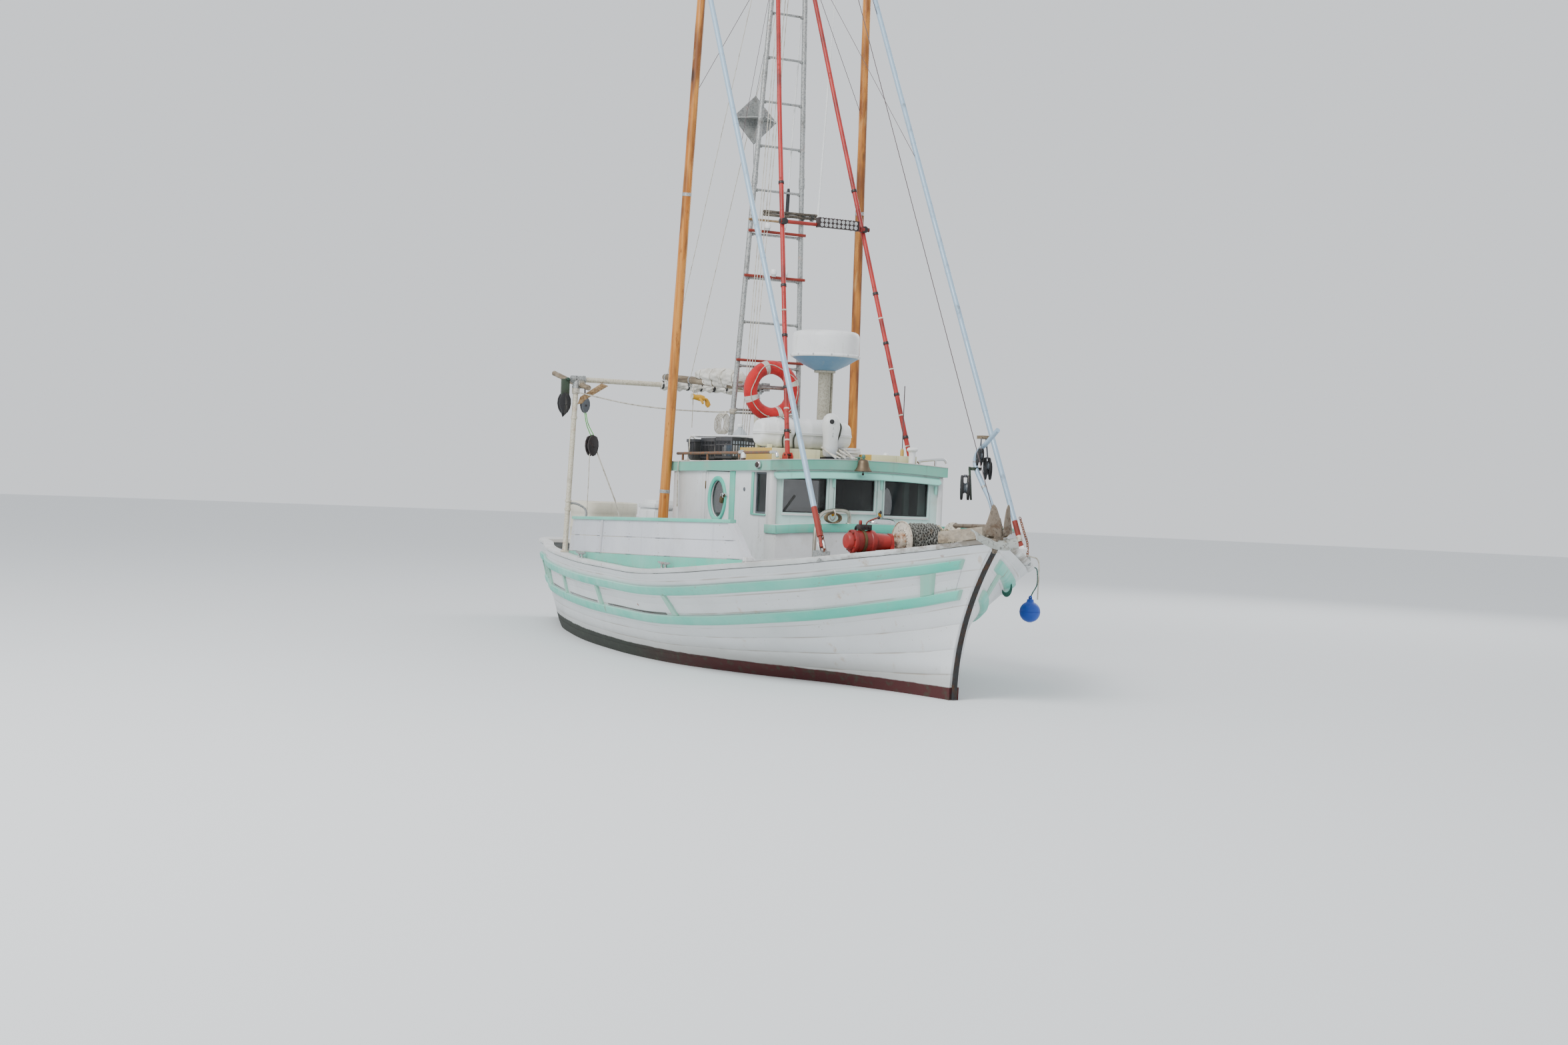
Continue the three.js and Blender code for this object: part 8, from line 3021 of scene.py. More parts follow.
def makeHatch():
    coaming = Shape("hatchCoaming")
    half, wall, gap = hatch["half"], hatch["wall"], hatch["gap"]
    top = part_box("hatch_coaming")[1][2] - 0.0008
    x0, x1 = hatch["x"]
    for x in (x0, x1 - wall):
        coaming.box((x, -half, deckTop(x) - 0.006), (x + wall, half, top))
    for y in (-half, half - wall):
        coaming.box((x0 + wall + 0.0005, y, deckTop(-0.8) - 0.006), (x1 - wall - 0.0005, y + wall, top))
    for x in (x0, x1 - 0.012):  # metal corners
        for y in (-half, half - 0.012):
            coaming.box((x + 0.001, y + 0.001, top - 0.15), (x + 0.011, y + 0.011, top + 0.0002), 1)
    coaming.done([looks["white"], looks["zinc"]], "white_paint", replaces=["hatch_coaming"], bevel=0.003)
    cover = Shape("hatchLid")
    low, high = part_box("hatch_cover")
    batten, edge, planks = hatch["batten"], hatch["edge"], hatch["planks"]
    for i in range(planks):
        y0 = low[1] + (high[1] - low[1]) * i / planks + gap
        y1 = low[1] + (high[1] - low[1]) * (i + 1) / planks - gap
        start = y0 if i else y0 + edge
        stop = y1 if i < planks - 1 else y1 - edge
        cover.box((low[0] + 0.031, start, low[2] + 0.0003), (high[0] - 0.031, stop, high[2] - 0.005), 0)
    for x in (low[0], high[0] - batten):
        cover.box((x, low[1], low[2] + 0.0002), (x + batten, high[1], high[2] - 0.0004), 0)
    for y in (low[1], high[1] - edge):
        cover.box(
            (low[0] + 0.0305, y, low[2] + 0.0002), (high[0] - 0.0305, y + edge, high[2] - 0.0008), 0,
        )
    for y in (-0.22, 0.22):  # hinge straps and lifting rings
        cover.box(
            (low[0] + 0.004, y - 0.03, high[2] - 0.002), (low[0] + 0.13, y + 0.03, high[2] + 0.003), 1,
        )
        middle = high[0] - 0.09
        ring = [
            (middle, y + 0.028 * math.cos(t), high[2] + 0.002 + 0.012 * abs(math.sin(t)))
            for t in fullTurn(18)
        ]
        cover.tube(ring, 0.0042, 1, 8, capped=False)
    cover.done(
        [looks["whiteInside"], looks["zinc"]],
        "white_paint", body="hatch_cover", replaces=["hatch_cover"], bevel=0.0018,
    )


rudder = {"x": -4.33, "top": -0.04, "bottom": -0.96, "chord": 0.43, "stock": 0.0258, "thick": 0.0245}


def makeRudder():
    shape = Shape("rudderBlade")
    x, top, bottom, chord, thick = (rudder[name] for name in ("x", "top", "bottom", "chord", "thick"))
    outline = [
        (0.059, top - 0.151), (0.059, bottom + 0.001), (-chord + 0.06, bottom + 0.041),
        (-chord + 0.002, bottom + 0.20), (-chord + 0.041, top - 0.151),
    ]
    cx = sum(a for a, _ in outline) / 5
    cz = sum(b for _, b in outline) / 5
    rings = []
    for inset, side in ((0.022, -thick), (0.0, -0.010), (0.0, 0.010), (0.022, thick)):
        share = inset / 0.3
        rings.append([(x + a + (cx - a) * share, side, b + (cz - b) * share) for a, b in outline])
    shape.loft(rings)
    shape.tube([(x, 0, bottom - 0.006), (x, 0, top + 0.036)], rudder["stock"], 1, 22)
    for z in (top - 0.20, bottom + 0.12):  # straps over the blade
        shape.box((x - 0.20, -0.0255, z - 0.02), (x + 0.03, -thick, z + 0.02), 1)
        shape.box((x - 0.20, thick, z - 0.02), (x + 0.03, 0.0255, z + 0.02), 1)
    shape.done(
        [looks["bottom"], looks["iron"]], "antifouling", body="rudder", replaces=["rudder"], bevel=0.002,
    )


propeller = {
    "x": -4.13, "z": -0.59, "blades": 3, "steps": 14, "root": 0.035, "reach": 0.214, "wide": 0.094,
    "thick": 0.0095,
    "hub": (
        (0.0, -0.055), (0.040, -0.055), (0.046, -0.048), (0.051, 0.0), (0.050, 0.056), (0.030, 0.062),
        (0.026, 0.070), (0.022, 0.083), (0.0, 0.086),
    ),
    "section": (
        (-1.0, 0.0), (-0.6, 0.55), (0.0, 1.0), (0.6, 0.7), (1.0, 0.0), (0.6, -0.35), (0.0, -0.45),
        (-0.6, -0.3),
    ),
}


def makePropeller():
    shape = Shape("propellerBlades")
    x, z, steps = propeller["x"], propeller["z"], propeller["steps"]
    shape.lathe(list(propeller["hub"]), (x, 0, z), (1, 0, 0), 0, 32)
    for blade in range(propeller["blades"]):
        turn = Matrix.Rotation(2 * math.pi * blade / propeller["blades"], 3, "X")
        rings = []
        for i in range(steps + 1):
            share = i / steps
            reach = Vector((0, 0, propeller["root"] + propeller["reach"] * share))
            wide = propeller["wide"] * math.sin(math.pi * (0.14 + 0.80 * share)) ** 0.7
            wide *= 1 if share < 0.97 else 0.6
            pitch = math.radians(62 - 22 * share)
            chord = Vector((math.sin(math.pi / 2 - pitch), math.cos(math.pi / 2 - pitch), 0))
            flat = Vector((-chord.y, chord.x, 0)) * propeller["thick"] * (1.15 - share)
            ring = []
            for a, b in propeller["section"]:
                ring.append(Vector((x, 0, z)) + turn @ (chord * a * wide + flat * b + reach))
            rings.append(ring)
        shape.loft(rings, 0)
    shape.done([looks["brassDull"]], "bronze", body="propeller", replaces=["propeller"], sharp=55)
    shaft = Shape("propellerShaft")
    shaft.tube([(-4.072, 0, z), (-3.95, 0, z)], 0.019, 0, 18)
    shaft.done([looks["brassDull"]], "bronze")


helm = {"centre": (2.49, -0.38, 1.21), "radius": 0.21, "rim": 0.0136, "spokes": 5}


def makeHelm():
    shape = Shape("helmWheel")
    centre, radius = Vector(helm["centre"]), helm["radius"]
    ring = [
        (centre.x, centre.y + radius * math.cos(t), centre.z + radius * math.sin(t)) for t in fullTurn(60)
    ]
    shape.tube(ring, helm["rim"], 0, 14, capped=False)
    for i in range(helm["spokes"]):
        turn = 2 * math.pi * i / helm["spokes"] + 0.3
        out = Vector((0, math.cos(turn), math.sin(turn)))
        shape.tube([centre + out * reach for reach in (0.03, 0.12, 0.20)], [0.010, 0.0075, 0.010], 1, 12)
    hub = [(0.0, -0.012), (0.036, -0.012), (0.038, 0.0), (0.030, 0.012), (0.014, 0.017), (0.0, 0.018)]
    shape.lathe(hub, centre, (-1, 0, 0), 1, 26)
    shape.done(
        [looks["varnish"], looks["chrome"]], "varnished_wood", body="helm_wheel", replaces=["helm_wheel"],
    )


engine = {"cylinders": 4, "pitch": 0.205, "head": 0.185, "manifold": 0.38, "crank": 0.22}


def makeEngine():
    shape = Shape("engineBlock")
    (x0, y0, z0), (x1, y1, z1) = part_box("engine")
    manifold = z0 + engine["manifold"]
    shape.box((x0 + 0.02, y0 + 0.05, z0 + 0.001), (x1 - 0.02, y1 - 0.05, z0 + 0.16), 0)
    shape.box((x0 + 0.04, y0 + 0.10, z0 + 0.161), (x1 - 0.10, y1 - 0.10, z0 + 0.34), 0)
    for i in range(engine["cylinders"]):
        left = x0 + 0.06 + i * engine["pitch"]
        shape.box((left, y0 + 0.14, z0 + 0.341), (left + engine["head"], y1 - 0.14, z1 - 0.02), 0)
        shape.lathe(drum(0.035, 0.0, 0.018), (left + 0.09, 0, z1 - 0.0195), sides=16)
        shape.tube([(left + 0.09, y0 + 0.14, manifold), (left + 0.09, y0 + 0.06, manifold)], 0.028, 1, 14)
    shape.tube([(x0 + 0.08, y0 + 0.05, manifold), (x1 - 0.14, y0 + 0.05, manifold)], 0.044, 1, 18)
    flywheel = [(0.0, 0.0), (0.15, 0.0), (0.15, 0.03), (0.06, 0.03), (0.06, 0.075), (0.0, 0.075)]
    shape.lathe(flywheel, (x1 - 0.098, 0, z0 + engine["crank"]), (1, 0, 0), 1, 30)
    for y in (y0 + 0.0005, y1 - 0.0505):  # bearers
        shape.box((x0 + 0.05, y, z0 + 0.05), (x1 - 0.05, y + 0.05, z0 + 0.075), 1)
    shape.done([looks["engine"], looks["iron"]], "engine_paint", replaces=["engine"], bevel=0.006)


makeGallows()
makeWrapping()
makeTackle()
makeTank()
makeLocker()
makeHatch()
makeRudder()
makePropeller()
makeHelm()
makeEngine()
print("after gear made")


# foredeck gear

winch = {"x": 3.79, "z": 1.262, "rim": 0.1675, "faces": (-0.247, -0.235, 0.235, 0.247)}
chainCore = (
    (-0.229, 0.108), (-0.19, 0.134), (-0.10, 0.142), (0.0, 0.143), (0.10, 0.136), (0.18, 0.122),
    (0.229, 0.104),
)


def aboutDrum(y, radius, turn):
    return Vector((winch["x"] + radius * math.cos(turn), y, winch["z"] + radius * math.sin(turn)))


def coreRadius(y):
    for (y0, r0), (y1, r1) in zip(chainCore, chainCore[1:]):
        if y <= y1:
            return r0 + (r1 - r0) * (y - y0) / (y1 - y0)
    return chainCore[-1][1]


drumForm = {
    "gypsy": (
        (0.0, -0.370), (0.018, -0.370), (0.020, -0.366), (0.020, -0.296), (0.066, -0.292),
        (0.072, -0.284),
        (0.078, -0.250),
    ),
    "warping": (
        (0.053, 0.275), (0.051, 0.300), (0.056, 0.335), (0.070, 0.355), (0.083, 0.364), (0.083, 0.372),
        (0.020, 0.375), (0.020, 0.447), (0.016, 0.450), (0.0, 0.450),
    ),
    "sides": 56, "rivets": 24,
}


def makeDrum():
    shape = Shape("winchDrum")
    place = (winch["x"], 0, winch["z"])
    a, b, c, d = winch["faces"]
    rim, sides = winch["rim"], drumForm["sides"]
    for low, high in ((a, b), (c, d)):
        flange = [
            (0.0, low), (rim - 0.006, low), (rim, low + 0.003), (rim, high - 0.003), (rim - 0.006, high),
            (0.0, high),
        ]
        shape.lathe(flange, place, (0, 1, 0), 0, sides)
        middle = (low + high) / 2 + (-0.005 if low < 0 else 0.005)
        hoop = [aboutDrum(middle, rim - 0.004, 2 * math.pi * i / sides) for i in range(sides + 1)]
        shape.tube(hoop, 0.0055, 1, 10, capped=False)
        for i in range(drumForm["rivets"]):
            turn = 2 * math.pi * i / drumForm["rivets"]
            shape.lathe(
                drum(0.0052, 0.0, 0.0012),
                aboutDrum(low - 0.0008 if low < 0 else high - 0.0004, 0.092, turn), (0, 1, 0), 3, 8,
            )
    shape.lathe([(0.0, b), *((r - 0.026, y) for y, r in chainCore), (0.0, c)], place, (0, 1, 0), 2, 40)
    shape.lathe([*drumForm["gypsy"], (0.078, a), (0.0, a)], place, (0, 1, 0), 4, 36)
    for i in range(6):
        shape.lathe(drum(0.0085, 0.0, 0.009), aboutDrum(-0.3005, 0.050, math.pi * i / 3), (0, 1, 0), 1, 6)
    shape.lathe([(0.0, d), (0.060, d + 0.004), *drumForm["warping"]], place, (0, 1, 0), 1, 36)
    shape.done(
        [
            looks["flangeCream"], looks["flangeRust"], looks["iron"], looks["blackSteel"],
            looks["flangeRust"],
        ],
        "iron", body="winch_drum", replaces=["winch_drum"], sharp=42,
    )


def makeChain():
    whole = []
    for layer, (inset, step) in enumerate(((0.020, 0.026), (0.0, 0.0245))):
        y0, y1 = (-0.218, 0.216) if layer == 0 else (-0.214, 0.105)
        count = int((y1 - y0) / step)
        total = count * 28
        for i in range(total + 1):
            y = y0 + (y1 - y0) * i / total
            wobble = 0.0035 * math.sin(i * 0.71) + 0.003 * math.sin(i * 0.233 + layer)
            radius = coreRadius(y) - inset + wobble + 0.004 * math.sin(y * 70)
            whole.append((y, radius, 2 * math.pi * i / 28 + layer * 0.4))
    split = 0.128
    for name, keep, look in (
        ("chainDark", lambda y: y < split - 0.06, "chain"),
        ("chainPale", lambda y: y >= split - 0.06, "chainPale"),
    ):
        runs, run = [], []
        for y, radius, turn in whole:
            if keep(y + 0.010 * math.sin(turn * 2)):
                run.append(tuple(aboutDrum(y, radius, turn)))
            elif len(run) > 3:
                runs.append(run)
                run = []
            else:
                run = []
        if len(run) > 3:
            runs.append(run)
        grown(
            name, runs, chainTree, {"Wire": 0.0042, "Length": 0.040, "Width": 0.026, "Pitch": 0.0255},
            looks[look], body="winch_drum", sharp=70,
        )


winchFrame = {
    "cheeks": ((-0.3765, -0.3415), (0.3955, 0.4345)),
    "motorEnd": (
        (0.0, -0.3775), (0.061, -0.3775), (0.063, -0.40), (0.073, -0.516), (0.073, -0.5185),
        (0.0, -0.5185),
    ),
    "motor": (
        (0.0, -0.518), (0.082, -0.518), (0.095, -0.526), (0.095, -0.560), (0.088, -0.566),
        (0.088, -0.690),
        (0.095, -0.696), (0.095, -0.724), (0.084, -0.7285), (0.0, -0.7285),
    ),
    "motorCap": ((0.0, -0.728), (0.073, -0.728), (0.073, -0.742), (0.058, -0.771), (0.0, -0.7715)),
    "bolts": 8, "ports": (-0.640, -0.605, -0.570), "hoses": (-0.585, -0.625),
    "plug": ((0.0, 0.0), (0.014, 0.0), (0.014, 0.03), (0.010, 0.035), (0.0, 0.036)),
    "lever": (
        (0.0, -0.590, 1.385), (0.006, -0.575, 1.415), (0.022, -0.525, 1.440), (0.030, -0.492, 1.450),
    ),
    "knob": (
        (0.0, -0.013), (0.007, -0.0115), (0.0125, -0.004), (0.0125, 0.004), (0.007, 0.0115), (0.0, 0.013),
    ),
    "turns": 5, "turnSteps": 18,
}


def makeWinchFrame():
    shape = Shape("winchFrame")
    x, z = winch["x"], winch["z"]
    deck = deckTop(3.76) + 0.004
    shape.box((x - 0.149, -0.364, max(deck, 0.704)), (x + 0.089, 0.434, 0.7895), 0)
    for low, high in winchFrame["cheeks"]:
        outline = [
            (x - 0.149, 0.7895), (x + 0.089, 0.7895), (x + 0.049, z - 0.010), (x + 0.034, z + 0.042),
            (x + 0.012, z + 0.059), (x - 0.012, z + 0.059), (x - 0.034, z + 0.042),
            (x - 0.049, z - 0.010),
        ]
        hole = ellipseOutline(x, z, 0.0224, 0.0224, 40)
        rim, angles = [], [2 * math.pi * i / 40 for i in range(40)]
        for angle in angles:
            dx, dz = math.cos(angle), math.sin(angle)
            reach = 1.0
            for (a0, b0), (a1, b1) in zip(outline, outline[1:] + outline[:1]):
                ex, ez = a1 - a0, b1 - b0
                cross = dx * ez - dz * ex
                if abs(cross) < 1e-9:
                    continue
                t = ((a0 - x) * ez - (b0 - z) * ex) / cross
                s = ((a0 - x) * dz - (b0 - z) * dx) / cross
                if t > 0 and -1e-6 <= s <= 1 + 1e-6:
                    reach = min(reach, t)
            rim.append((x + dx * reach, z + dz * reach))
        frameOf(shape, rim, hole, low, high, lambda a, b, t: (a, t, b), 0)
    motor = z - 0.010
    place = (x, 0, motor)
    shape.lathe(list(winchFrame["motorEnd"]), place, (0, 1, 0), 0, 30)
    shape.lathe(list(winchFrame["motor"]), place, (0, 1, 0), 0, 36)
    shape.lathe(list(winchFrame["motorCap"]), place, (0, 1, 0), 0, 30)
    shape.lathe(drum(0.0985, -0.618, -0.642), place, (0, 1, 0), 2, 40)
    for i in range(winchFrame["bolts"]):
        turn = 2 * math.pi * i / winchFrame["bolts"] + 0.2
        shape.lathe(
            drum(0.0085, 0.0, 0.008),
            (x + 0.083 * math.cos(turn), -0.7285 - 0.008, motor + 0.083 * math.sin(turn)), (0, 1, 0), 3,
            6,
        )
    shape.box((x - 0.059, -0.699, 1.103), (x + 0.059, -0.378, 1.160), 0)
    shape.box((x - 0.052, -0.56, 0.79), (x + 0.052, -0.378, 1.1025), 0)
    shape.box((x - 0.033, -0.659, 1.345), (x + 0.033, -0.551, 1.3895), 1)
    for y in winchFrame["ports"]:
        shape.lathe(drum(0.013, -0.036, 0.040), (x, y, 1.368), (1, 0, 0), 1, 14)
    shape.lathe(list(winchFrame["plug"]), (x, -0.642, 1.3895), look=0, sides=14)
    lever = [(x + out, y, up) for out, y, up in winchFrame["lever"]]
    shape.tube(spline(lever, 5), 0.0055, 3, 10)
    shape.lathe(list(winchFrame["knob"]), (x + 0.030, -0.490, 1.450), look=1, sides=18)
    for y in winchFrame["hoses"]:
        hose = [
            (x - 0.034, y, 1.368), (x - 0.085, y - 0.01, 1.362), (x - 0.128, y + 0.005, 1.250),
            (x - 0.140, y + 0.01, 1.0), (x - 0.135, y + 0.02, deckTop(3.66) + 0.006),
        ]
        shape.tube(spline(hose, 8), 0.0105, 4, 12)
    shape.done(
        [looks["red"], looks["blackSteel"], looks["brassDull"], looks["redWorn"], looks["rubber"]],
        "red_paint", replaces=["winch_frame"], bevel=0.0016,
    )
    rope = []
    steps = winchFrame["turnSteps"]
    for k in range(winchFrame["turns"]):
        for i in range(steps):
            t = 2 * math.pi * i / steps
            rope.append(tuple(aboutDrum(0.262 + (k + i / steps) * 0.0145, 0.066, t)))
    grown(
        "warpTurns", rope, ropeTree, {"Thickness": 0.015, "Lay": 0.07, "Step": 0.014}, looks["ropeWhite"],
        body="winch_drum",
    )


anchorForm = {
    "x": 4.955, "y": -0.037, "z": 1.425, "lean": 28.6,
    "shank": (0.0195, 0.018, 0.0155), "eye": 0.020,
    "dishRows": (  # fore end and drop of each row of the dish
        (4.9265, 0.0005), (4.945, 0.003), (4.964, 0.008), (4.986, 0.022), (5.000, 0.042), (5.0075, 0.068),
    ),
    "dishStart": -0.3045, "dishWidth": 0.399, "dishTop": 1.4075, "dishThick": 0.0145,
    "palmLow": {-1: 1.345, 1: 1.355},
    "palm": (  # distance from the middle and height, from the inner foot over the tip
        (0.003, 1.400), (-0.001, 1.455), (-0.011, 1.505), (-0.026, 1.549), (-0.038, 1.578),
        (-0.052, 1.597),
        (-0.066, 1.603), (-0.076, 1.590), (-0.084, 1.556), (-0.093, 1.520), (-0.104, 1.483),
        (-0.118, 1.442),
        (-0.134, 1.402), (-0.132, 1.372),
    ),
    "palmMiddle": (-0.060, 1.46), "palmEdge": 0.010, "palmThick": 0.0078,
}


def makeAnchor():
    shape = Shape("clawAnchor")
    x, y, z = anchorForm["x"], anchorForm["y"], anchorForm["z"]
    shank = [(x, y - 0.008, z), (4.60, y + 0.004, z - 0.004), (4.232, -0.020, z - 0.012)]
    shape.tube(shank, list(anchorForm["shank"]), 1, 14)
    size = anchorForm["eye"]
    eye = [(4.258 + size * math.cos(t), -0.020, 1.413 + size * math.sin(t)) for t in fullTurn(18)]
    shape.tube(eye, 0.0062, 1, 8, capped=False)
    tail = [(x - 0.003, y - 0.063, 1.333), (x, y - 0.063, 1.290), (x + 0.008, y - 0.063, 1.2215)]
    shape.tube(tail, [0.0315, 0.027, 0.0175], 1, 20)
    web = [
        (y - 0.059, 1.312), (y - 0.045, 1.306), (y + 0.010, 1.306), (y + 0.021, 1.330), (y + 0.012, 1.42),
        (y - 0.012, 1.498), (y - 0.030, 1.498), (y - 0.052, 1.42),
    ]
    shape.plate(web, x - 0.0215, x - 0.0045, "x", 1)
    shape.done([looks["saddle"], looks["anchor"]], "iron", bevel=0.0018)
    dish = Shape("anchorDish")
    rings = []
    for fore, drop in anchorForm["dishRows"]:
        upper = []
        for i in range(29):
            across = i / 28
            side = anchorForm["dishStart"] + anchorForm["dishWidth"] * across
            sag = drop + 0.062 * across + 0.044 * math.sin(math.pi * across)
            upper.append(Vector((fore, side, anchorForm["dishTop"] - sag)))
        lower = [p - Vector((0, 0, anchorForm["dishThick"])) for p in upper]
        rings.append([*upper, *reversed(lower)])
    dish.loft(rings)
    dish.done([looks["saddle"]], "iron", replaces=["anchor"], bevel=0.003)
    palms = Shape("anchorPalms")
    ca, cb = anchorForm["palmMiddle"]
    edge, thick = anchorForm["palmEdge"], anchorForm["palmThick"]
    turn = Matrix.Rotation(math.radians(90 - anchorForm["lean"]), 3, "Z")
    for side in (-1, 1):
        low = anchorForm["palmLow"][side]
        outline = [(0.002, low), *anchorForm["palm"], (-0.120, low + 0.020)]
        rings = []
        for inset, t in ((edge, -thick), (0.0, -0.0030), (0.0, 0.0030), (edge, thick)):
            ring = []
            for a, b in outline:
                share = inset / math.hypot(ca - a, cb - b)
                point = turn @ Vector((a + (ca - a) * share, t, 0))
                across = (-0.015 + point.y) * (-1 if side > 0 else 1)
                ring.append(Vector((x + 0.006 + point.x, across + y, b + (cb - b) * share)))
            rings.append(ring)
        palms.loft(rings)
    palms.done([looks["anchor"]], "iron", sharp=50)


roller = {
    "cheek": (
        (4.441, 1.301), (4.835, 1.345), (4.870, 1.366), (4.888, 1.390), (4.872, 1.410), (4.840, 1.419),
        (4.790, 1.412), (4.700, 1.391), (4.441, 1.371),
    ),
    "cheeks": ((-0.0915, -0.0805), (0.0805, 0.0915)), "bolts": (4.50, 4.62, 4.74), "boltZ": 1.345,
    "axle": (4.848, 0, 1.384), "plank": (4.58, 4.84), "plankRise": (0.003, 0.094), "plankIn": 0.022,
    "plankOut": 0.004,
}


def makeRoller():
    shape = Shape("bowRoller")
    for low, high in roller["cheeks"]:
        shape.plate(list(roller["cheek"]), low, high, "y", 0)
        face, way = (low, -1) if low < 0 else (high, 1)
        for x in roller["bolts"]:
            bolt = [(0.0, 0.0), (0.010, 0.0), (0.009, 0.005), (0.0, 0.006)]
            shape.lathe(bolt, (x, face, roller["boltZ"]), (0, way, 0), 1, 12)
    shape.box((4.441, -0.0795, 1.300), (4.799, 0.0795, 1.3515), 0)
    x, _, z = roller["axle"]
    shape.tube([(x, -0.0975, z), (x, 0.0975, z)], 0.0085, 1, 14)
    sheave = [
        (0.0, -0.058), (0.0215, -0.058), (0.0215, -0.045), (0.0150, -0.018), (0.0150, 0.018),
        (0.0215, 0.045),
        (0.0215, 0.058), (0.0, 0.058),
    ]
    shape.lathe(sheave, roller["axle"], (0, 1, 0), 1, 24)
    shape.done(
        [looks["bareWood"], looks["zincRusty"]], "galvanised_pipe", replaces=["bow_roller"], bevel=0.0015,
    )
    plank = Shape("bowPlank")
    rings = []
    start, end = (placeAt(x) for x in roller["plank"])
    lift, top = roller["plankRise"]
    inner, outer = roller["plankIn"], roller["plankOut"]
    for i in range(9):
        px, half, pz = offsetPoint(start + (end - start) * i / 8, 0.0, 0.030)
        rings.append([
            (px, -half - outer, pz + lift), (px, -half + inner, pz + lift),
            (px, -half + inner, pz + top), (px, -half - outer, pz + top),
        ])
    plank.loft(rings)
    plank.done([looks["bareWood"]], "bare_wood", bevel=0.002)


davit = {
    "y": 0.118, "foot": 4.672, "pipe": 0.0195, "steps": 7, "clamps": (20, 33, 44),
    "path": (
        (4.656, 1.352), (4.554, 1.597), (4.430, 1.740), (4.317, 1.872), (4.291, 1.952), (4.340, 2.026),
        (4.448, 2.088), (4.604, 2.1935),
    ),
    "blocks": (  # place from the hanger, height and size
        (-0.02, -0.010, 1.960, 0.062), (0.005, 0.060, 1.865, 0.078), (0.03, 0.035, 1.905, 0.070),
        (0.055, -0.045, 1.985, 0.058),
    ),
    "hanger": 4.385,
}


def makeDavit():
    y, pipe = davit["y"], davit["pipe"]
    foot = topside(placeAt(davit["foot"]), 0)[2]
    shape = Shape("bowDavit")
    curve = [Vector((a, y, b)) for a, b in ((4.674, foot + 0.004), *davit["path"])]
    curve = spline(curve, davit["steps"])
    shape.tube(curve, pipe, 0, 18)
    shape.tube([curve[-4], curve[-1]], pipe + 0.0003, 0, 18)
    for i in davit["clamps"]:
        shape.tube([curve[i], curve[i + 1]], pipe + 0.0010, 1, 18)
    shape.done([looks["bluePipe"], looks["zincRusty"]], "blue_pipe", replaces=["bow_davit"])
    gear = Shape("davitGear")
    hang = Vector((davit["hanger"], y, 2.060))
    gear.box((4.330, y - 0.020, 2.122), (4.402, y + 0.085, 2.150), 1)
    for dx, dy, z, size in davit["blocks"]:
        makeBlock(gear, (hang.x + dx, y + dy, z), size, (0.3, 1, 0), 0, 3)
        gear.tube(
            [(hang.x + dx, y + dy, z + size), (hang.x + dx * 0.5, y + dy * 0.6, 2.124)], 0.0045, 3, 8,
        )
    gear.box((4.262, y - 0.045, 1.866), (4.330, y + 0.036, 1.892), 2)
    makeBlock(gear, (4.288, y - 0.085, 1.720), 0.105, (0.5, 1, 0), 0, 3)
    strap = ((-0.010, 1.895), (0.006, 1.895), (0.034, 1.625), (0.018, 1.625))
    gear.loft([[(4.300 + t, y - 0.06 + a, b) for a, b in strap] for t in (0.0, 0.010)], 2)
    gear.done(
        [looks["rubber"], looks["bareWood"], looks["gearGreen"], looks["greySteel"]], "iron", bevel=0.001,
    )


fittings = {
    "chainHang": ((-0.040, 0.28), (-0.042, 0.14), (-0.044, 0.05)), "chainFoot": (0.045, 0.010, -0.040),
    "chainOut": 0.022,
    "chain": {"Wire": 0.0036, "Length": 0.034, "Width": 0.022, "Pitch": 0.0225},
    "bittX": 3.90, "bittIn": 0.06,
    "bitt": (
        (0.0, 0.0), (0.034, 0.0), (0.030, 0.012), (0.026, 0.05), (0.034, 0.068), (0.036, 0.085),
        (0.028, 0.098), (0.0, 0.100),
    ),
    "cleats": (2.05, -0.6), "cleatIn": 0.05, "cleatLegs": (-0.04, 0.04),
}


def makePoleChain(side, name):  # chain from the red foot of a bow pole down to its step
    foot = Vector((bowPole["x"], side * bowPole["y"], bowPole["z"]))
    frame = bowPoleFrame(side)
    hang = [foot + frame @ Vector((0.0, side * reach, at)) for reach, at in fittings["chainHang"]]
    x, y, z = fittings["chainFoot"]
    hang.append(foot + Vector((x, y * side, z)))
    hang = [p + Vector((fittings["chainOut"], 0, 0)) for p in hang]
    runs = [[tuple(p) for p in spline(hang, 12)]]
    grown(
        name + "PoleChain", runs, chainTree, fittings["chain"], looks["chainRusty"],
        body="bow_pole_" + name, sharp=70,
    )


def makeBowFittings():
    for side, name in ((-1, "starboard"), (1, "port")):
        makePoleChain(side, name)
    bitt = Shape("portBitt")
    x = fittings["bittX"]
    _, half, railTop = topside(placeAt(x), 0)
    bitt.lathe(list(fittings["bitt"]), (x, half - fittings["bittIn"], railTop + 0.004), sides=26)
    bitt.done([looks["plastic"]], "white_paint")
    cleats = Shape("railCleats")
    leg = [(0.0, 0.0), (0.016, 0.0), (0.011, 0.012), (0.010, 0.040), (0.0, 0.041)]
    for side in (-1, 1):
        for x in fittings["cleats"]:
            px, py, pz = topside(placeAt(x), 0)
            py = side * (py - fittings["cleatIn"])
            for dx in fittings["cleatLegs"]:
                cleats.lathe(leg, (px + dx, py, pz + 0.004), sides=14)
            horn = [
                (px + dx, py, pz + dz)
                for dx, dz in ((-0.12, 0.052), (-0.06, 0.046), (0.06, 0.046), (0.12, 0.052))
            ]
            cleats.tube(horn, [0.008, 0.0125, 0.0125, 0.008], 0, 12)
    cleats.done([looks["zincRusty"]], "galvanised_pipe")


makeDrum()
makeChain()
makeWinchFrame()
makeAnchor()
makeRoller()
makeDavit()
makeBowFittings()
print("foredeck gear made")


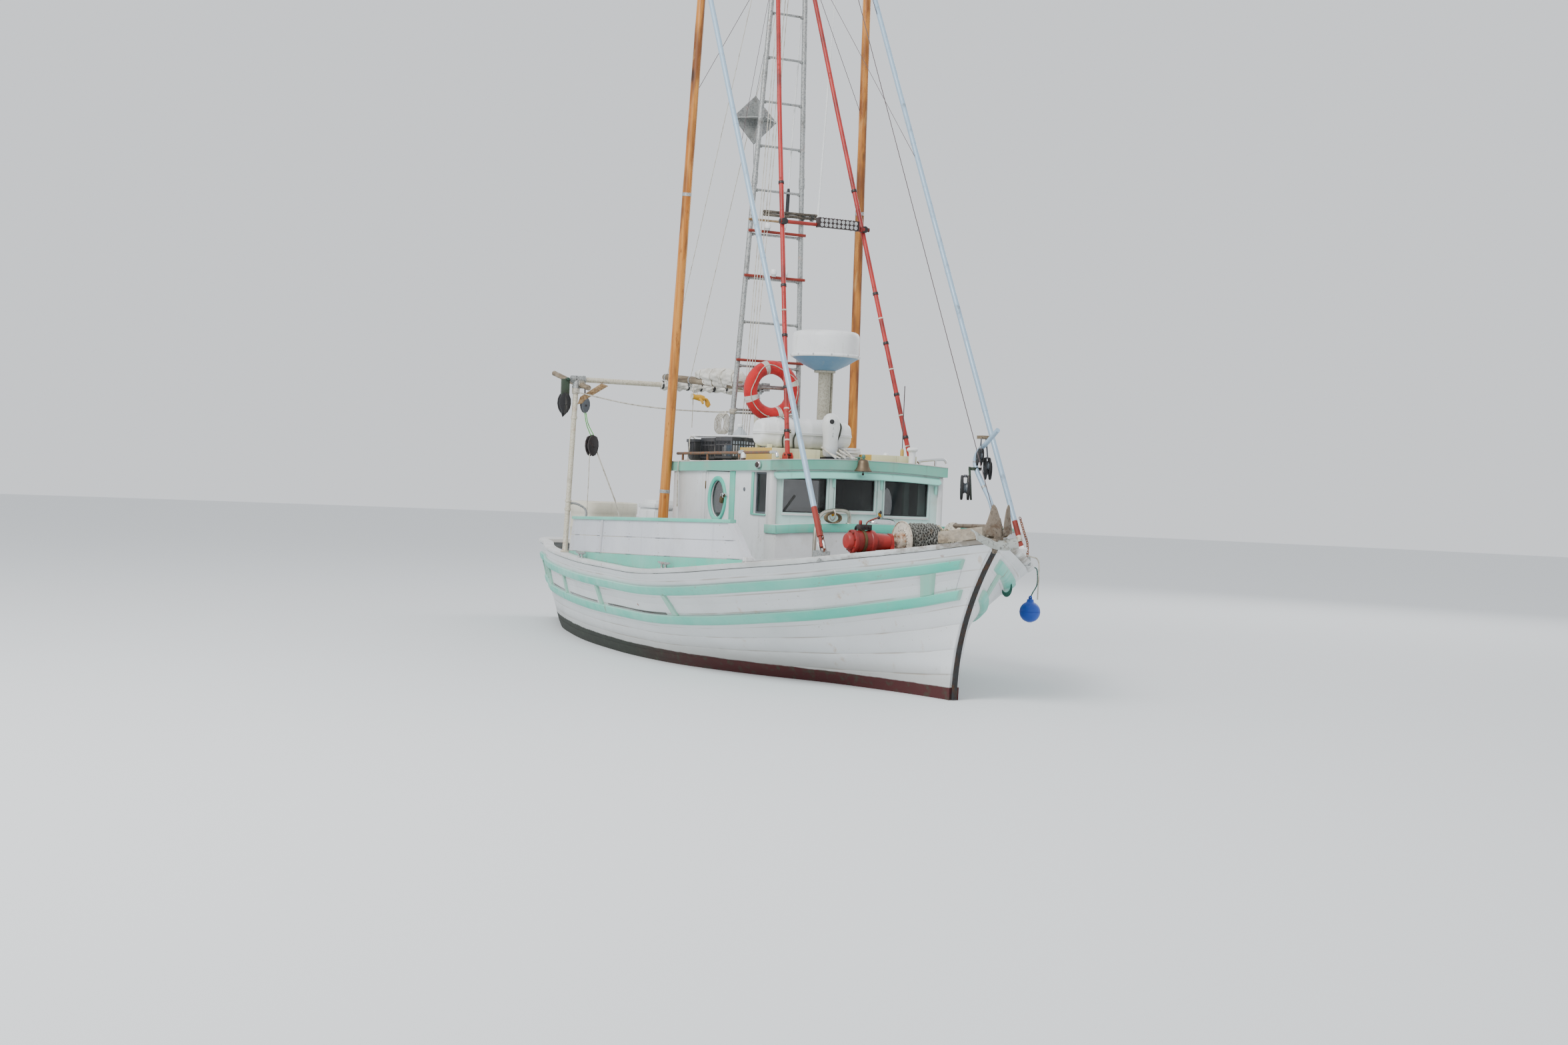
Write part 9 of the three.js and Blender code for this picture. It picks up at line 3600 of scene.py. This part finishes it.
# ropes that hang or lie free

def pathLength(path):
    return sum((Vector(b) - Vector(a)).length for a, b in zip(path, path[1:]))


ropes = {  # thickness, finish, what is at the far end, and how each one lies
    "gallowsRope": (0.016, "ropeWhite", "object", "hanging"),
    "mastHank": (0.0125, "ropeWhite", "bare", "coiled"),
    "toteRope": (0.0135, "ropeWhite", "bare", "loose"),
    "fasciaRope": (0.0125, "ropeWhite", "bare", "hanging"),
    "boomTail": (0.009, "ropeWhite", "bare", "hanging"),
    "trunkRailCoil": (0.0115, "ropeTan", "bare", "coiled"),
    "greenCoil": (0.011, "ropeGreen", "bare", "coiled"),
    "fenderLine": (0.0125, "ropeGreen", "object", "hanging"),
    "bittTail": (0.015, "ropeWhite", "bare", "hanging"),
}


def makeCord(name, path, body="boat"):
    diameter, look, farEnd, lay = ropes[name]
    path = [tuple(p) for p in path]
    sizes = {"Thickness": diameter, "Lay": 0.05, "Step": diameter * 0.9}
    piece = grown(name, path, ropeTree, sizes, looks[look], body=body)
    length = round(pathLength(path), 3)
    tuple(path[0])
    print("cord", name, length, "m")


def loops(centre, across, up, along, rounds, pitch, start=math.pi / 2, count=16):  # turns of a coil
    centre, across, up, along = (Vector(v) for v in (centre, across, up, along))
    path = []
    for i in range(rounds * count + 1):
        turn = start + 2 * math.pi * i / count
        path.append(centre + across * math.cos(turn) + up * math.sin(turn) + along * pitch * i / count)
    return path


hitch = {"hankRing": 0.031, "hankBand": 0.006, "postRing": 0.0345, "postRope": 0.0078, "rounds": 4}


def makeMastRopes():  # from the gallows to the mast, and the hank on the mast's leg
    leg = mastPoint(-1, 2.37)
    makeCord("gallowsRope", spline([
        (-1.622, -1.090, 2.585), (-1.57, -1.063, 2.566), (-0.9, -0.80, 2.452), (-0.2, -0.640, 2.392),
        (0.40, -0.470, 2.366), (0.66, leg.y - 0.030, 2.366), (leg.x + 0.010, leg.y - 0.033, 2.370),
    ], 8))
    hangs = (leg.x - 0.040, leg.y - 0.048, 2.250)
    makeCord(
        "mastHank",
        loops(hangs, (0.020, 0.046, 0.0), (0.010, 0.0, 0.098), (-0.55, -0.83, 0.0), 5, 0.0145),
    )
    band = Shape("hankBand")
    band.tube([(leg.x - 0.052, leg.y - 0.050, z) for z in (2.335, 2.372)], 0.012, 0, 12)
    reach = hitch["hankRing"]
    for i in range(hitch["rounds"]):
        z = 2.352 + i * 0.012
        ring = [(leg.x + reach * math.cos(t), leg.y + reach * math.sin(t), z) for t in fullTurn(18)]
        band.tube(ring, hitch["hankBand"], 0, 8, capped=False)
    band.done([looks["ropeWhite"]], "canvas")
    post = postPoint(-1, 2.58)
    knot = Shape("postHitch")
    reach = hitch["postRing"]
    for i in range(hitch["rounds"]):
        z = 2.556 + i * 0.015
        ring = [(post.x + reach * math.cos(t), post.y + reach * math.sin(t), z) for t in fullTurn(18)]
        knot.tube(ring, hitch["postRope"], 0, 8, capped=False)
    knot.done([looks["ropeWhite"]], "canvas")


tote = {"x": (0.672, 0.846), "y": (-0.800, -0.480), "top": 2.085, "rim": 0.006, "rib": 0.003}


def makeTote():  # open black box on the after corner of the roof
    (x0, x1), (y0, y1), top = tote["x"], tote["y"], tote["top"]
    rim, rib = tote["rim"], tote["rib"]
    shape = Shape("blackTote")
    low = max(roofTop(x, y) for x in (x0, x1) for y in (y0, y1)) + 0.002
    rings = []
    for z, grow in (
        (low, -0.014), (top - 0.03, -0.002), (top - 0.028, rim), (top, rim), (top, -rim),
        (low + 0.012, -0.020),
    ):
        rings.append([(x, y, z) for x, y in rectangle(x0 - grow, x1 + grow, y0 - grow, y1 + grow)])
    shape.loft(rings)
    for share in (0.2, 0.4, 0.6, 0.8):
        middleX, middleY = x0 + (x1 - x0) * share, y0 + (y1 - y0) * share
        for y in (y0 - 0.0035, y1 - 0.0005):
            shape.box((middleX - rib, y, low + 0.02), (middleX + rib, y + 0.004, top - 0.03))
        for x in (x0 - 0.0035, x1 - 0.0005):
            shape.box((x, middleY - rib, low + 0.02), (x + 0.004, middleY + rib, top - 0.03))
    shape.done([looks["crate"]], "white_plastic", bevel=0.0012)


def makeRoofRopes():
    inner, top = tote["y"][0], tote["top"]
    edge = inner - 0.016
    makeCord("toteRope", spline([
        (1.36, -0.885, roofTop(1.36, -0.885) + 0.008), (1.20, -0.893, roofTop(1.2, -0.89) + 0.008),
        (1.00, -0.893, roofTop(1.0, -0.89) + 0.008), (0.86, -0.875, roofTop(0.86, -0.87) + 0.012),
        (0.79, edge - 0.022, 1.935), (0.765, edge - 0.004, 2.00), (0.755, edge, 2.06),
        (0.750, edge + 0.006, top + 0.008), (0.748, inner + 0.010, top + 0.022),
        (0.746, inner + 0.040, top + 0.004), (0.744, inner + 0.052, top - 0.05),
        (0.742, inner + 0.060, top - 0.13),
    ], 8))
    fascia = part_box("roof_fascia")[0][1]
    out = fascia - 0.011
    makeCord("fasciaRope", spline([
        (0.90, -0.868, roofTop(0.9, -0.87) + 0.021), (0.85, fascia + 0.016, roofTop(0.85, -0.9) + 0.012),
        (0.825, out + 0.002, 1.866), (0.818, out, 1.80), (0.822, out, 1.65), (0.828, out, 1.53),
        (0.834, out, 1.443),
    ], 8))


glove = {
    "along": 1.40, "below": 0.125,
    "hand": (  # across the boat, height and radius, from the cuff to the knuckles
        (-0.078, 0.004, 0.030), (-0.062, 0.004, 0.031), (-0.045, 0.0, 0.026), (0.010, -0.004, 0.034),
        (0.055, -0.012, 0.030),
    ),
    "fingers": (
        (-0.020, 0.075, 0.0), (-0.007, 0.088, 0.004), (0.007, 0.084, 0.008), (0.020, 0.068, 0.012),
    ),
    "thumb": ((0.028, -0.005, -0.010), (0.044, 0.015, -0.040), (0.046, 0.030, -0.068)),
    "tail": (
        (-0.06, -0.03, 0.004), (-0.062, -0.034, -0.05), (-0.064, -0.036, -0.18), (-0.062, -0.038, -0.32),
        (-0.058, -0.040, -0.44),
    ),
}


def makeBoomGear():  # working glove and a line's tail under the boom
    at = boomPoint(glove["along"])
    under = at.z - boom["radius"]
    shape = Shape("drapedGlove")
    base = Vector((at.x, 0.0, under - glove["below"]))
    hand = [base + Vector((0, y, z)) for y, z, _ in glove["hand"]]
    shape.tube(hand, [radius for _, _, radius in glove["hand"]], 0, 20)
    for x, drop, out in glove["fingers"]:
        knuckle, middle = base + Vector((x, 0.045, -0.010)), base + Vector((x * 1.2, 0.085, -0.022))
        tip = base + Vector((x * 1.5, 0.105 + out, -0.012 - drop))
        shape.tube(spline([knuckle, middle, tip], 5), [0.0115] * 10 + [0.008], 0, 12)
    thumb = spline([base + Vector(p) for p in glove["thumb"]], 4)
    shape.tube(thumb, [0.013] * 8 + [0.009], 0, 12)
    shape.tube([base + Vector((0, -0.084, 0.004)), base + Vector((0, -0.076, 0.004))], 0.033, 1, 20)
    shape.tube([base + Vector((0, -0.02, 0.028)), base + Vector((0, -0.004, 0.132))], 0.0035, 1, 8)
    shape.done([looks["glove"], looks["ropeWhite"]], "canvas", body="boom", bevel=0.0)
    makeCord("boomTail", spline([(at.x + x, y, under + z) for x, y, z in glove["tail"]], 8), body="boom")


hung = {
    "greenAt": 3.60, "greenDrop": 0.215, "fenderAt": 3.14, "capReach": 0.075, "fenderTop": (1.50, 0.742),
}


def makeRailCoil():
    makeCord(
        "trunkRailCoil",
        loops((2.775, -0.362, 1.417), (0.004, 0.068, 0.0), (0.0, 0.0, 0.042), (1, 0, 0), 5, 0.0135),
    )
    tie = Shape("railCoilTie")
    ring = [(2.806 + 0.052 * math.cos(t), -0.366, 1.445 + 0.048 * math.sin(t)) for t in fullTurn(20)]
    tie.tube(ring, 0.0055, 0, 8, capped=False)
    tie.done([looks["ropeWhite"]], "canvas")


def makeSideRopes():  # what hangs over the port side
    here = Vector(topside(placeAt(hung["greenAt"]), hung["greenDrop"]))
    ahead = Vector(topside(placeAt(3.90), hung["greenDrop"]))
    run = (ahead - here).normalized()
    out = Vector((-run.y, run.x, 0)).normalized()
    out = out if out.y > 0 else -out
    start = here - Vector((0.10, 0, 0)) - run * 0.02 + out * 0.062
    makeCord("greenCoil", loops(start, out * 0.044, (0, 0, 0.076), run, 6, 0.062, math.pi))
    x = hung["fenderAt"]
    _, half, z = topside(placeAt(x), 0)
    edge = half + hung["capReach"]
    makeCord("fenderLine", spline([
        (x, half - 0.06, z + 0.016), (x, half + 0.01, z + 0.018), (x, edge - 0.012, z + 0.010),
        (x, edge + 0.006, z - 0.035), (x, edge + 0.006, z - 0.14), (x, 1.515, 0.80),
        (x, *hung["fenderTop"]),
    ], 8))
    x = fittings["bittX"]
    _, half, z = topside(placeAt(x), 0)
    side = half + 0.085
    makeCord("bittTail", spline([
        (x, half - 0.024, z + 0.036), (x + 0.01, half + 0.02, z + 0.022),
        (x + 0.02, side - 0.018, z + 0.010),
        (x + 0.025, side + 0.004, z - 0.035), (x + 0.028, side + 0.004, z - 0.15),
        (x + 0.030, side + 0.002, z - 0.34),
    ], 8))


def makeFender():
    low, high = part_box("fender")
    place = x, y, z = tuple((low[i] + high[i]) / 2 for i in range(3))
    radius = (high[0] - low[0]) / 2
    shape = Shape("ballFender")
    profile = [(0.0, -radius), (0.020, -radius + 0.001), (0.024, -radius + 0.004)]
    for i in range(4, 27):
        turn = math.pi * i / 30
        profile.append((radius * math.sin(turn) * 0.995, -radius * math.cos(turn)))
    profile.append((0.034, radius * 0.955))
    profile += [
        (0.030, radius + 0.004), (0.031, radius + 0.014), (0.024, radius + 0.020), (0.0, radius + 0.021),
    ]
    shape.lathe(profile, place, sides=48)
    inside, outside = radius * 0.99, radius + 0.0012
    for rise in (-0.003, 0.003):  # mould line round the middle
        bead = [
            (inside, rise - 0.0015), (outside, rise - 0.0006), (outside, rise + 0.0006),
            (inside, rise + 0.0015),
        ]
        shape.lathe(bead, place, sides=48)
    angles = [math.pi * (k / 12 * 1.3 - 0.15) for k in range(13)]
    eye = [(x + 0.017 * math.cos(t), y, z + radius + 0.028 + 0.017 * math.sin(t)) for t in angles]
    shape.tube(eye, 0.0075, 0, 12)
    shape.done([looks["fender"]], "fender_skin", replaces=["fender"])


makeMastRopes()
makeTote()
makeRoofRopes()
makeBoomGear()
makeFender()
makeRailCoil()
makeSideRopes()
print("free ropes made")


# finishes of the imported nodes

nodeLooks = {
    "keel": "bottom", "deck": "deck", "fore_deck": "deck", "house_front": "mint",
    "house_side_starboard": "white", "house_side_port": "white", "house_back": "white",
    "house_roof": "cream", "roof_fascia": "turquoise",
    "window_trim": "mint", "trunk_cabin": "white", "front_glass_starboard": "glass",
    "front_glass_centre": "glass", "front_glass_port": "glass", "side_door": "white", "engine": "engine",
    "helm_wheel": "varnish", "mast": "zinc", "crosstree": "bareWood", "lamp_bar": "red",
    "boom": "bareWood",
    "furled_sail": "canvas", "gallows": "zinc", "weather_boards_starboard": "white",
    "weather_boards_port": "white", "red_stay_starboard": "red", "red_stay_port": "red",
    "pole_step_starboard": "zincRusty", "pole_step_port": "zincRusty",
    "trolling_pole_starboard": "varnish",
    "trolling_pole_port": "varnish", "bow_pole_starboard": "bluePipe", "bow_pole_port": "bluePipe",
    "radome_post": "greySteel", "radome": "plastic", "life_ring": "ringCloth", "roof_boards": "cream",
    "raft_canister": "plastic", "beacon": "plastic", "bell": "bronze", "winch_frame": "red",
    "winch_drum": "chain", "bow_roller": "saddle", "anchor": "anchor", "bow_davit": "bluePipe",
    "trunk_rail": "chrome", "propeller": "bronze", "rudder": "bottom", "hatch_coaming": "white",
    "hatch_cover": "white", "bait_tank": "creamPlastic", "deck_locker": "plastic", "fender": "fender",
    "radar_reflector": "zinc",
}


def dressNodes():
    for name, look in nodeLooks.items():
        carried = bpy.data.objects[name]
        if carried.hide_render:
            continue
        carried.data.materials.clear()
        carried.data.materials.append(looks[look])


dressNodes()
print("packed nodes finished")


# floor and finish

floor = {"level": 0.0, "inset": 0.02, "reach": 70.0}


def makeFloor():  # pale floor at the water's level, open inside the waterline
    hole = []
    for side, run in ((-1, placesBetween(0, lastPlace)), (1, placesBetween(0, lastPlace)[::-1])):
        for place in run:
            x, half, _z = topside(place, column(place, 2))
            hole.append((x * 0.995, side * max(half - floor["inset"], 0.005), floor["level"]))
    centre = Vector((0, 0, 0))
    rim = []
    for point in hole:
        along = (Vector(point) - centre).normalized()
        rim.append(tuple(along * floor["reach"]))
    mesh = bpy.data.meshes.new("floor")
    count = len(hole)
    faces = [(i, (i + 1) % count, count + (i + 1) % count, count + i) for i in range(count)]
    mesh.from_pydata(hole + rim, [], faces)
    plane = bpy.data.objects.new("floor", mesh)
    bpy.context.scene.collection.objects.link(plane)
    f = Finish("floorPaint", rough=0.9)
    mesh.materials.append(f.done(f.blend(f.noise(0.6), studio["floorColor"], studio["floorColor"])))
    work = bmesh.new()
    work.from_mesh(mesh)
    bmesh.ops.recalc_face_normals(work, faces=work.faces)
    if sum(face.normal.z for face in work.faces) < 0:
        bmesh.ops.reverse_faces(work, faces=work.faces)
    work.to_mesh(mesh)
    work.free()


makeFloor()
